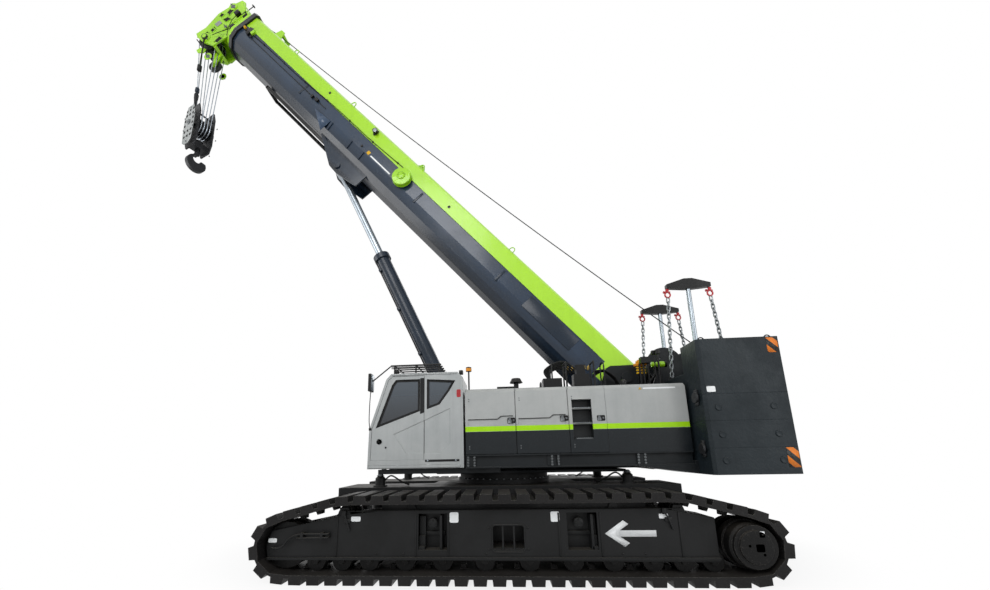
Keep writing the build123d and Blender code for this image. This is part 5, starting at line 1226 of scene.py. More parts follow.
@dataclass
class Undercarriage:
    """What is bolted and painted on the two track frames and the middle frame."""

    face_y: float = 2.45
    hub_y: float = 2.615
    hub: tuple[float, float] = (-3.285, 0.492)
    front_hub: tuple[float, float] = (3.285, 0.492)
    labels: tuple[tuple[float, float, float, float], ...] = (
        (3.42, 3.55, 0.535, 0.595), (2.15, 2.295, 0.825, 0.895), (0.69, 0.82, 0.80, 0.945),
        (-0.76, -0.635, 0.805, 0.945), (-2.26, -2.135, 0.84, 0.905))

    def arrow(self) -> None:
        """Travel arrow: shaft and open head pointing at the front, painted plate thin."""
        tip, tail, middle = -1.376, -2.075, 0.644
        outline = [(tip, middle), (tip - 0.26, middle + 0.175), (tip - 0.33, middle + 0.125),
                (tip - 0.205, middle + 0.042),
                   (tail, middle + 0.042), (tail, middle - 0.042), (tip - 0.205, middle - 0.042),
                           (tip - 0.33, middle - 0.125),
                   (tip - 0.26, middle - 0.175)]
        for side, name in ((1, "left"), (-1, "right")):
            patch = side_plate(outline, self.face_y, 0.002)
            make_piece(f"travel_arrow_{name}", patch if side > 0 else mirrored(patch), Finish.LABEL, "undercarriage",
                       Shading.FLAT)

    def plates(self) -> None:
        """Blank plates on the frames and hubs."""
        patches = [label(x0, x1, z0, z1, self.face_y) for x0, x1, z0, z1 in self.labels]
        patches += [label(-3.405, -3.335, 0.615, 0.695, self.hub_y - 0.004),
                label(-3.38, -3.27, 0.435, 0.535, self.hub_y - 0.004)]
        make_piece("frame_plates", both(joined(patches)), Finish.LABEL, "undercarriage")

    def edge_flanges(self) -> None:
        """Welded flange along the foot of each frame, weld beads and stiffener ribs on its face."""
        lines = []
        for x0, x1 in ((-2.35, -1.31), (-0.77, 0.86), (1.30, 2.45)):
            lines.append(rounded_box((x0, self.face_y - 0.01, 0.300), (x1, self.face_y + 0.018, 0.336), 0.006))
        for x in (-2.40, -1.325, -0.745, 0.842, 1.318, 2.50):
            lines.append(rounded_box((x - 0.012, self.face_y - 0.01, 0.34), (x + 0.012, self.face_y + 0.012, 0.93),
                    0.005))
        bead_x = np.linspace(-2.45, 2.45, 420)
        bead = np.column_stack([bead_x, np.full_like(bead_x, self.face_y + 0.001), np.full_like(bead_x, 0.972)])
        radius = 0.008 * (1 + 0.25 * np.sin(bead_x * 260.0))
        lines.append(tube(bead, radius, 6, up=(0, 0, 1)))
        make_piece("frame_flanges", both(joined(lines)), Finish.CHASSIS, "undercarriage")

    def recess_linings(self) -> None:
        """Inside the two deep recesses: back rails, a cross tie and pin heads."""
        patches = []
        for x0, x1 in ((0.873, 1.283), (-1.292, -0.778)):
            patches.append(rounded_box((x0 + 0.03, self.face_y - 0.20, 0.60), (x1 - 0.03, self.face_y - 0.15, 0.66),
                    0.012))
            patches.append(rounded_box((x0 + 0.06, self.face_y - 0.17, 0.42), (x0 + 0.10, self.face_y - 0.02, 0.90),
                    0.01))
            middle = (x0 + x1) / 2
            patches.append(lathe([(0, 0), (0.07, 0), (0.07, 0.05), (0.05, 0.06), (0, 0.06)], 24).placed(
                at((middle, self.face_y - 0.12, 0.78), "y")))
            patches.append(bolt_circle((middle, self.face_y - 0.06, 0.78), 0.045, 4, "y", 0.02, 0.01))
        make_piece("recess_linings", both(joined(patches)), Finish.CHASSIS, "undercarriage")

    def window_bars(self) -> None:
        """Inspection opening: rounded surround and its bolts."""
        x0, x1, z0, z1, y = -0.255, 0.205, 0.40, 0.766, self.face_y
        corners = [(x0, z0 + 0.03), (x0 + 0.03, z0), (x1 - 0.03, z0), (x1, z0 + 0.03), (x1, z1 - 0.03), (x1 - 0.03, z1),
                   (x0 + 0.03, z1), (x0, z1 - 0.03)]
        ring = [(x, y + 0.002, z) for x, z in corners]
        path = np.array(ring + ring[:2], float)
        path = np.concatenate([a + (b - a) * np.linspace(0, 1, 6, endpoint=False)[:, None] for a,
                b in zip(path[:-1], path[1:])])
        rim = tube(path, 0.012, 8)
        bolts = hex_bolt(0.026, 0.012).repeated(spots([(x, y, z) for x in (x0 - 0.05, x1 + 0.05) for z in (z0 + 0.04,
                z1 - 0.04)], "y"))
        make_piece("inspection_rim", both(joined([rim, bolts])), Finish.CHASSIS, "undercarriage")

    def hand_pipes(self) -> None:
        """Bent pipe step near the front of each frame, with its clamps."""
        y = self.face_y + 0.07
        rear = [(2.62, y - 0.08, 0.665), (2.62, y, 0.665), (2.85, y, 0.665), (3.05, y, 0.66), (3.20, y, 0.60),
                (3.30, y, 0.49),
                (3.44, y, 0.47), (3.46, y - 0.1, 0.47)]
        low = [(2.62, y - 0.08, 0.615), (2.62, y, 0.615), (2.82, y, 0.612), (3.06, y, 0.605), (3.10, y - 0.1, 0.60)]
        clamps = [rounded_box((x - 0.02, self.face_y - 0.01, 0.595), (x + 0.02, y + 0.022, 0.685),
                0.006) for x in (2.70, 3.0)]
        pipes = [tube(arc_path(points, 10), 0.013, 10, up=(0.1, 0.2, 0.97)) for points in (rear, low)]
        make_piece("frame_pipes", both(joined(pipes + clamps)), Finish.BLACK, "undercarriage")

    def lock_levers(self) -> None:
        """Locking levers and grease points on the frames' faces."""
        patches = []
        for x in (2.35, -2.255):
            bar = np.array([(x + 0.045, self.face_y + 0.02, 0.935), (x, self.face_y + 0.03, 0.83),
                    (x - 0.045, self.face_y + 0.02, 0.70)])
            patches.append(tube(arc_path(bar.tolist(), 10), 0.012, 8, up=(0, 1, 0.1)))
            patches.append(rounded_box((x - 0.05, self.face_y - 0.01, 0.80), (x + 0.05, self.face_y + 0.02, 0.86),
                    0.008))
            patches.append(rounded_box((x + 0.02, self.face_y - 0.02, 0.90), (x + 0.08, self.face_y + 0.035, 0.985),
                    0.01))
        nipple = lathe([(0, 0), (0.012, 0), (0.012, 0.008), (0.005, 0.012), (0.007, 0.02), (0, 0.024)], 10)
        patches.append(nipple.repeated(spots([(x, self.face_y, 0.38) for x in (-1.9, -1.6, 1.5, 1.9, 0.3)], "y")))
        make_piece("frame_levers", both(joined(patches)), Finish.BLACK, "undercarriage")

    def hub_bolts(self) -> None:
        """Bolts and plugs on the final drives and on the idlers' caps."""
        x, z = self.hub
        patches = [bolt_circle((x, self.hub_y - 0.012, z), 0.185, 12, "y", 0.026, 0.012)]
        patches.append(bolt_circle((x, self.hub_y - 0.045, z), 0.255, 20, "y", 0.024, 0.012))
        patches.append(lathe([(0, 0), (0.03, 0), (0.03, 0.01), (0.018, 0.02), (0, 0.02)], 12).repeated(
            spots([(x + 0.09, self.hub_y - 0.021, z + 0.02), (x - 0.08, self.hub_y - 0.021, z - 0.09)], "y")))
        front_x, front_z = self.front_hub
        patches.append(bolt_circle((front_x, 2.425, front_z), 0.075, 6, "y", 0.026, 0.012))
        make_piece("hub_bolts", both(joined(patches)), Finish.WHEEL, "undercarriage")

    def top_lugs(self) -> None:
        """Lifting lugs along the tops of the frames."""
        lug = [(0.0, 0.0), (0.16, 0.0), (0.12, 0.09), (0.04, 0.09)]
        patches = []
        for x in (-1.62, 1.32):
            outline = [(x + a, 0.97 + b) for a, b in lug]
            patches.append(side_plate(outline, self.face_y - 0.10, 0.03, 0.004))
        make_piece("frame_lugs", both(joined(patches)), Finish.CHASSIS, "undercarriage")

    def jack_details(self) -> None:
        """Collar bolts and hoses on the four jacks, and the caps on their upper ends."""
        patches, hoses = [], []
        for x in (2.29, -2.18):
            for y in (1.092, -1.092):
                patches.append(bolt_circle((x, y, 1.408), 0.06, 6, "z", 0.022, 0.012))
                patches.append(lathe([(0, 0), (0.05, 0), (0.05, 0.035), (0.03, 0.05), (0, 0.05)],
                        20).placed(at((x, y, 1.405))))
                inward = -0.13 if x > 0 else 0.13
                hoses.append(hose([(x + inward * 0.6, y, 1.33), (x + inward * 1.6, y, 1.41),
                        (x + inward * 3, y * 0.96, 1.30),
                                   (x + inward * 4, y * 0.9, 1.24)], 0.014))
        make_piece("jack_caps", joined(patches), Finish.BOLT, "undercarriage")
        make_piece("jack_hoses", joined(hoses), Finish.RUBBER, "undercarriage")

    def bearing_bolts(self) -> None:
        """Bolt ring under the slewing bearing and the swivel's hoses in the middle."""
        make_piece("bearing_bolts", bolt_circle((0, 0, 1.30), 0.915, 44, "z", 0.034, 0.02), Finish.BOLT,
                "undercarriage")
        angle = np.linspace(0.2, 5.8, 6)
        hoses = [hose([(0.2 * math.cos(a), 0.2 * math.sin(a), 1.25), (0.35 * math.cos(a), 0.35 * math.sin(a), 1.36),
                       (0.6 * math.cos(a), 0.6 * math.sin(a), 1.28)], 0.015) for a in angle]
        make_piece("swivel_hoses", joined(hoses), Finish.RUBBER, "undercarriage")

    def build(self) -> None:
        """Builds every piece of the undercarriage's dress."""
        for step in (self.arrow, self.plates, self.edge_flanges, self.recess_linings, self.window_bars, self.hand_pipes,
                     self.lock_levers, self.hub_bolts, self.top_lugs, self.jack_details, self.bearing_bolts):
            step()


# ======================================================================
# Upperworks
# ======================================================================


@dataclass
class Housing:
    """Latches, plates and joints on the machinery housing's sides."""

    face_y: float = 1.48
    latches: tuple[tuple[float, float], ...] = ((-0.165, 2.345), (-1.085, 2.36), (-1.715, 2.348))
    joints: tuple[float, ...] = (0.56, -0.89, -2.34)

    def latch(self, x: float, z: float) -> list[tuple[Patch, Finish]]:
        """Paddle latch: dark rim, recessed bright paddle with a curled lip, and its key barrel."""
        rim = label(x - 0.07, x + 0.07, z - 0.05, z + 0.05, self.face_y)
        v, u = np.linspace(0, 1, 9)[:, None], np.linspace(-1, 1, 7)[None]
        curl = np.stack(np.broadcast_arrays(x + 0.03 + 0.032 * u, self.face_y + 0.004 + 0.012 * v**3 - 0.003 * u**2,
                                            z + 0.045 - 0.09 * v), -1)
        back = curl.copy()
        back[..., 1] = self.face_y + 0.001
        paddle = grid(np.concatenate([curl, back[::-1]]), close_u=True)
        barrel = lathe([(0, 0), (0.016, 0), (0.016, 0.008), (0.012, 0.010), (0, 0.008)], 16).placed(
            at((x - 0.04, self.face_y + 0.002, z), "y"))
        return [(rim, Finish.BLACK), (joined([paddle, barrel]), Finish.BOLT)]

    def build_latches(self) -> None:
        """Latches on the doors of both sides; each rides on its own door."""
        for index, (x, z) in enumerate(self.latches, start=1):
            for patch, finish in self.latch(x, z):
                part = "rim" if finish is Finish.BLACK else "paddle"
                make_piece(f"latch_{part}_left_{index}", patch, finish, f"door_left_{index}")
                make_piece(f"latch_{part}_right_{index}", mirrored(patch), finish, f"door_right_{index}")

    def pull_lines(self) -> None:
        """Rolled bead over each pressed pull pocket, a thin dark lip that follows its step."""
        for index, (x0, x1) in enumerate(((0.60, -0.20), (-0.29, -1.12)), start=1):
            step = x0 + (x1 - x0) * 0.66
            points = [(x0, 2.374), (x0 - 0.2, 2.374), (step, 2.376), (step - 0.055, 2.425), (x1 + 0.05, 2.427),
                    (x1, 2.427)]
            line = np.concatenate([np.asarray(a) + (np.asarray(b) - np.asarray(a)) * np.linspace(0, 1, 12,
                    endpoint=False)[:, None]
                                   for a, b in zip(points[:-1], points[1:])])
            path = np.column_stack([line[:, 0], np.full(len(line), self.face_y - 0.001), line[:, 1]])
            lip = tube(path, 0.0065, 6, up=(0.1, 0, 1))
            make_piece(f"pull_lip_left_{index}", lip, Finish.BLACK, f"door_left_{index}")
            make_piece(f"pull_lip_right_{index}", mirrored(lip), Finish.BLACK, f"door_right_{index}")

    def seam_rubbers(self) -> None:
        """Black sealing strips in the upright seams between the panels."""
        strips = [rounded_box((x - 0.0035, self.face_y - 0.03, 1.765), (x + 0.0035, self.face_y - 0.003, 2.872), 0.002)
                  for x in (-0.238, -1.159, -1.812)]
        make_piece("seam_rubbers", both(joined(strips)), Finish.RUBBER, "superstructure")

    def joint_plates(self) -> None:
        """Bolted joint plates on the side channel, four bolts each side of the joint."""
        plates, bolts = [], []
        for x in self.joints:
            for offset in (-0.055, 0.055):
                plates.append(rounded_box((x + offset - 0.022, self.face_y - 0.06, 1.548),
                        (x + offset + 0.022, self.face_y - 0.022, 1.742), 0.004))
                bolts += [(x + offset, self.face_y - 0.022, z) for z in (1.575, 1.622, 1.670, 1.717)]
        make_piece("channel_joints", both(joined(plates)), Finish.DECK, "superstructure")
        make_piece("channel_bolts", both(hex_bolt(0.026, 0.013).repeated(spots(bolts, "y"))), Finish.BOLT,
                "superstructure")

    def rear_strip(self) -> None:
        """Blank bright strip and its blank yellow end on the rear panel."""
        make_piece("panel_strip", label(-3.02, -2.47, 2.832, 2.86, self.face_y - 0.001), Finish.LABEL, "superstructure")
        triangle = side_plate([(-2.45, 2.826), (-2.395, 2.826), (-2.4225, 2.872)], self.face_y - 0.001, 0.003)
        make_piece("panel_triangle", triangle, Finish.YELLOW, "superstructure", Shading.FLAT)

    def ladder_treads(self) -> None:
        """Perforated treads with turned-up lips in the step pocket of the third left door."""
        patches = []
        for z in (2.266, 2.529, 1.998):
            patches.append(rounded_box((-1.575, self.face_y - 0.155, z - 0.004),
                    (-1.277, self.face_y - 0.02, z + 0.016), 0.004))
            teeth = [(-1.555 + 0.0345 * i, self.face_y - 0.035, z + 0.016) for i in range(9)]
            patches.append(lathe([(0.011, 0), (0.008, 0.006), (0.005, 0.006), (0.005, 0)], 10).repeated(spots(teeth)))
        make_piece("ladder_treads", joined(patches), Finish.BOLT, "door_left_3")

    def door_bolts(self) -> None:
        """Hinge screws down the front edge of each door."""
        for index, x in enumerate((0.585, -0.315, -1.235), start=1):
            places = [(x, self.face_y, z) for z in (1.86, 1.90, 2.70, 2.74)]
            screws = lathe([(0, 0), (0.011, 0), (0.010, 0.003), (0.004, 0.0045), (0.003, 0.0025), (0, 0.0025)],
                    12).repeated(spots(places, "y"))
            make_piece(f"hinge_screws_left_{index}", screws, Finish.BOLT, f"door_left_{index}")
            make_piece(f"hinge_screws_right_{index}", mirrored(screws), Finish.BOLT, f"door_right_{index}")

    def build(self) -> None:
        """Builds every piece of the housing's dress."""
        for step in (self.build_latches, self.pull_lines, self.seam_rubbers, self.joint_plates, self.rear_strip,
                     self.ladder_treads, self.door_bolts):
            step()


@dataclass
class Cab:
    """Trim, handles, wipers, lamps and the seat of the cab."""

    face_y: float = 1.48
    inner_y: float = 0.525
    pillar_foot: tuple[float, float] = (2.404, 2.243)
    pillar_top: tuple[float, float] = (2.111, 3.159)
    door_window: tuple[tuple[float, float], ...] = ((1.475, 2.555), (2.284, 2.261), (2.000, 3.050), (1.925, 3.144),
            (1.475, 3.144))
    rear_window: tuple[tuple[float, float], ...] = ((1.350, 2.584), (1.350, 3.138), (0.826, 3.100), (0.933, 2.913),
            (1.116, 2.666),
                                                   (1.186, 2.640))

    def gasket(self, outline: Sequence[tuple[float, float]], y: float, radius: float = 0.011) -> Patch:
        """Rubber round a pane: a bead carried round its outline with the corners cut short."""
        points = np.asarray(outline, float)
        ahead, behind = np.roll(points, -1, axis=0) - points, np.roll(points, 1, axis=0) - points
        cut = 0.035
        start, end = points + unit(behind) * cut, points + unit(ahead) * cut
        t = np.linspace(0, 1, 7)[:, None, None]
        corner = (1 - t) ** 2 * start + 2 * t * (1 - t) * points + t**2 * end
        flat = corner.transpose(1, 0, 2).reshape(-1, 2)
        path = np.column_stack([flat[:, 0], np.full(len(flat), y), flat[:, 1]])
        along = unit(np.roll(path, -1, axis=0) - np.roll(path, 1, axis=0))
        normal = unit(np.cross(along, (0.0, 1.0, 0.0)))
        angle = np.linspace(0, 2 * math.pi, 8, endpoint=False)
        ring = path[:, None] + radius * (np.cos(angle)[None, :, None] * normal[:, None]
                                         + np.sin(angle)[None, :, None] * np.array([0.0, 1.0, 0.0]))
        return grid(ring, close_u=True, close_v=True)

    def glazing(self) -> None:
        """Gaskets round all side panes and a black print band inside the door's pane."""
        patches = [self.gasket(window, y) for window in (self.door_window,
                self.rear_window) for y in (self.face_y - 0.012, self.inner_y + 0.012)]
        patches.append(side_plate([(1.393, 2.53), (1.473, 2.50), (1.473, 3.165), (1.393, 3.165)], self.face_y - 0.001,
                0.003, 0.001))
        make_piece("window_rubbers", joined(patches), Finish.RUBBER, "superstructure")

    def frit(self) -> None:
        """Black printed border inside the edge of each side pane: a ring between its outline and a smaller one."""
        patches = []
        for window, y in ((self.door_window, self.face_y - 0.0165), (self.rear_window, self.face_y - 0.0165)):
            outer = np.asarray(window, float)
            area = np.sum(outer[:, 0] * np.roll(outer[:, 1], -1) - np.roll(outer[:, 0], -1) * outer[:, 1])
            outer = outer if area > 0 else outer[::-1]
            levels = np.stack([outline_inset(outer, 0.004), outline_inset(outer, 0.045)])
            ring = np.stack([levels[..., 0], np.full(levels.shape[:2], y), levels[..., 1]], -1)
            patches.append(grid(ring, close_v=True))
        make_piece("pane_borders", joined(patches), Finish.DARK_PRINT_AND_SHADE, "superstructure", Shading.FLAT)

    def roof_guard(self) -> None:
        """Dark mesh side of the roof guard: slats between its rails."""
        slats = [rounded_box((1.11, y, 3.375 + 0.013 * i), (2.05, y + 0.006, 3.383 + 0.013 * i),
                0.002) for y in (1.372, 0.632) for i in range(5)]
        make_piece("roof_guard_slats", joined(slats), Finish.BLACK, "superstructure")

    def windshield(self) -> None:
        """Rubber frame of the sloping front pane and its two wipers."""
        foot, top = np.asarray(self.pillar_foot), np.asarray(self.pillar_top)
        along = unit(top - foot)
        out = np.array([along[1], -along[0]])
        corners = []
        for share, y in ((0.04, 0.595), (0.04, 1.41), (0.94, 1.41), (0.94, 0.595)):
            place = foot + share * (top - foot) - 0.006 * out
            corners.append((place[0], y, place[1]))
        ring = np.array(corners + corners[:1])
        path = np.concatenate([a + (b - a) * np.linspace(0, 1, 12, endpoint=False)[:, None] for a,
                b in zip(ring[:-1], ring[1:])])
        patches = [tube(np.concatenate([path, path[:1]]), 0.012, 8, up=(out[0], 0.05, out[1]))]
        for y, reach in ((0.80, 0.62), (1.22, 0.30)):
            base = foot + 0.06 * (top - foot) + 0.004 * out
            tip = foot + (0.06 + reach) * (top - foot) + 0.002 * out
            arm = np.array([(base[0], y, base[1]), ((base[0] + tip[0]) / 2 + 0.006, y - 0.03, (base[1] + tip[1]) / 2),
                            (tip[0], y - 0.06, tip[1])])
            patches.append(tube(arc_path(arm.tolist(), 8), 0.006, 6, up=(0.2, 1, 0.1)))
            blade = np.array([(base[0] * 0.45 + tip[0] * 0.55, y - 0.02, base[1] * 0.45 + tip[1] * 0.55),
                    (tip[0], y - 0.08, tip[1])])
            patches.append(tube(blade[0] + (blade[1] - blade[0]) * np.linspace(0, 1, 5)[:, None], 0.008, 4,
                    up=(0.2, 1, 0.1)))
        make_piece("windshield_rubber", joined(patches), Finish.RUBBER, "superstructure")

    def door_gear(self) -> None:
        """Door handle in its round cup, lock, sliding track with its two screws, and the seam's rubber."""
        y = self.face_y
        cup = lathe([(0.046, 0.0), (0.050, 0.003), (0.054, 0.0)], 28).placed(at((2.213, y - 0.001, 2.02), "y"))
        bar = tube(arc_path([(2.235, y - 0.010, 2.045), (2.222, y + 0.004, 2.03), (2.205, y + 0.005, 2.01),
                (2.19, y - 0.010, 1.993)], 8), 0.009, 8,
                   up=(1, 0.1, 0))
        lock = lathe([(0, 0), (0.017, 0), (0.017, 0.004), (0.009, 0.007), (0, 0.005)],
                18).placed(at((2.09, y, 1.917), "y"))
        make_piece("door_handle", joined([cup, bar, lock]), Finish.BLACK, "superstructure")
        slot = rounded_box((0.767, y - 0.004, 1.655), (1.377, y + 0.004, 1.695), 0.003)
        seam = rounded_box((1.3925, y - 0.02, 1.67), (1.3985, y - 0.004, 3.205), 0.002)
        make_piece("door_track", joined([slot, seam]), Finish.RUBBER, "superstructure")
        roller = lathe([(0, 0), (0.014, 0), (0.014, 0.012), (0.008, 0.016), (0, 0.016)], 14)
        make_piece("door_rollers", roller.repeated(spots([(0.83, y, 1.675), (1.33, y, 1.675)], "y")), Finish.CHROME,
                "superstructure")

    def roof_trim(self) -> None:
        """Rain gutter under the roof, corner caps and the work lamps on the roof's front."""
        y = self.face_y
        gutter = np.array([(x, y + 0.006, z) for x, z in ((0.80, 3.232), (1.2, 3.236), (1.6, 3.236), (2.00, 3.232))])
        rail = tube(arc_path(gutter.tolist(), 10), 0.010, 8, up=(0, 0.2, 1))
        make_piece("roof_gutter", rail, Finish.CAB, "superstructure")
        cases, lenses = [], []
        for lamp_y in (0.70, 1.30):
            cases.append(rounded_box((1.93, lamp_y - 0.07, 3.275), (2.00, lamp_y + 0.07, 3.375), 0.012))
            lenses.append(rounded_box((1.998, lamp_y - 0.06, 3.285), (2.006, lamp_y + 0.06, 3.365), 0.003))
        cases.append(rounded_box((0.705, 1.16, 3.262), (0.78, 1.26, 3.34), 0.012))
        make_piece("roof_lamp_cases", joined(cases), Finish.BLACK, "superstructure")
        make_piece("roof_lamp_lenses", joined(lenses), Finish.LENS, "superstructure")

    def mirror(self) -> None:
        """Mirror glass and its stay down to the sill bracket."""
        make_piece("mirror_glass", rounded_box((2.355, 1.432, 2.95), (2.3615, 1.588, 3.24), 0.003), Finish.CHROME,
                "superstructure")
        stay = tube(arc_path([(2.39, 1.51, 2.94), (2.40, 1.51, 2.7), (2.405, 1.50, 2.42), (2.40, 1.47, 2.27)], 12),
                0.008, 8)
        bracket = rounded_box((2.36, 1.40, 2.225), (2.414, 1.49, 2.275), 0.01)
        make_piece("mirror_stay", joined([stay, bracket]), Finish.BLACK, "superstructure")

    def small_plates(self) -> None:
        """Blank red plate behind the rear window, beacon dome, and the sill's step pads."""
        make_piece("cab_plate", label(0.73, 0.805, 2.79, 2.93, self.face_y), Finish.RED, "superstructure")
        dome = lathe([(0.054, 3.322), (0.055, 3.37), (0.048, 3.395), (0.03, 3.408), (0, 3.412)],
                28).placed(at((0.6, 1.18, 0)))
        make_piece("beacon_dome", dome, Finish.ORANGE, "superstructure")
        pads = [rounded_box((x, self.face_y + 0.002, 1.60), (x + 0.5, self.face_y + 0.011, 1.607),
                0.002) for x in (0.8, 1.35, 1.9)]
        make_piece("sill_pads", joined(pads), Finish.RUBBER, "superstructure")

    def cushion(self, centre: Point, half: Point, crown: float, tilt: float = 0.0) -> Patch:
        """Crowned cushion: a superellipse pad whose top swells by cos^0.6 and whose sides pull in between corners.

        p(u, v) = (a C(v, 0.35) C(u, 0.3), b C(v, 0.35) S(u, 0.3), c S(v, 0.5)), where C and S are signed powers of
        cosine and sine; two sewn channels dip the top along its width.

        Args:
            centre: middle of the pad.
            half: half sizes.
            crown: extra height at the middle.
            tilt: lean about the width, in radians.

        Returns:
            The closed patch.
        """
        u = np.linspace(-math.pi, math.pi, 56, endpoint=False)[None]
        v = np.linspace(-math.pi / 2, math.pi / 2, 26)[:, None]

        def power(value: np.ndarray, exponent: float) -> np.ndarray:
            """Signed power."""
            return np.sign(value) * np.abs(value) ** exponent

        x = half[0] * power(np.cos(v), 0.35) * power(np.cos(u), 0.3)
        y = half[1] * power(np.cos(v), 0.35) * power(np.sin(u), 0.3)
        z = half[2] * power(np.sin(v), 0.5) * np.ones_like(u)
        pull = 1 - 0.035 * np.cos(2 * u) ** 2 * np.cos(v)
        swell = crown * np.clip(1 - (x / half[0]) ** 2, 0, 1) * np.clip(1 - (y / half[1]) ** 2, 0, 1) * (z > 0)
        channels = 0.012 * (np.exp(-((np.abs(y) - half[1] * 0.5) / 0.012) ** 2)) * (z > 0)
        stack = np.stack([x * pull, y * pull, z + swell - channels], -1)
        patch = rings(stack)
        return patch.placed(turned_frame(centre, tilt, "y"))

    def seat(self) -> None:
        """Suspension base, cushions, back rest, head rest, two consoles with their levers."""
        middle = (self.inner_y + self.face_y) / 2
        base = [rounded_box((1.20, middle - 0.18, 1.5892), (1.56, middle + 0.18, 1.63), 0.01),
                rounded_box((1.22, middle - 0.17, 1.77), (1.56, middle + 0.17, 1.84), 0.012)]
        for z in np.linspace(1.64, 1.76, 7):
            base.append(rounded_box((1.235, middle - 0.15, z - 0.011), (1.54, middle + 0.15, z + 0.007), 0.007))
        for side in (-1, 1):
            y = middle + side * 0.315
            base.append(rounded_box((1.28, y - 0.07, 1.95), (1.66, y + 0.07, 2.09), 0.03))
            base.append(rounded_box((1.33, y - 0.045, 1.63), (1.45, y + 0.045, 1.96), 0.02))
            knob = lathe([(0, 0), (0.008, 0), (0.008, 0.09), (0.022, 0.10), (0.026, 0.13), (0.018, 0.155), (0, 0.16)],
                    16)
            base.append(knob.placed(at((1.58, y, 2.085))))
        make_piece("seat_frame", joined(base), Finish.INTERIOR, "superstructure")
        pads = {"seat_cushion": self.cushion((1.40, middle, 1.915), (0.25, 0.235, 0.065), 0.028),
                "seat_back": self.cushion((1.135, middle, 2.265), (0.30, 0.225, 0.06), 0.02, math.radians(100)),
                "seat_head_rest": self.cushion((1.085, middle, 2.61), (0.075, 0.13, 0.045), 0.012, math.radians(98))}
        for name, patch in pads.items():
            pad = make_piece(name, patch, Finish.SEAT, "superstructure")
            if name == "seat_cushion":
                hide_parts("cab_seat")

    def build(self) -> None:
        """Builds every piece of the cab's dress."""
        for step in (self.glazing, self.frit, self.roof_guard, self.windshield, self.door_gear, self.roof_trim,
                self.mirror, self.small_plates, self.seat):
            step()


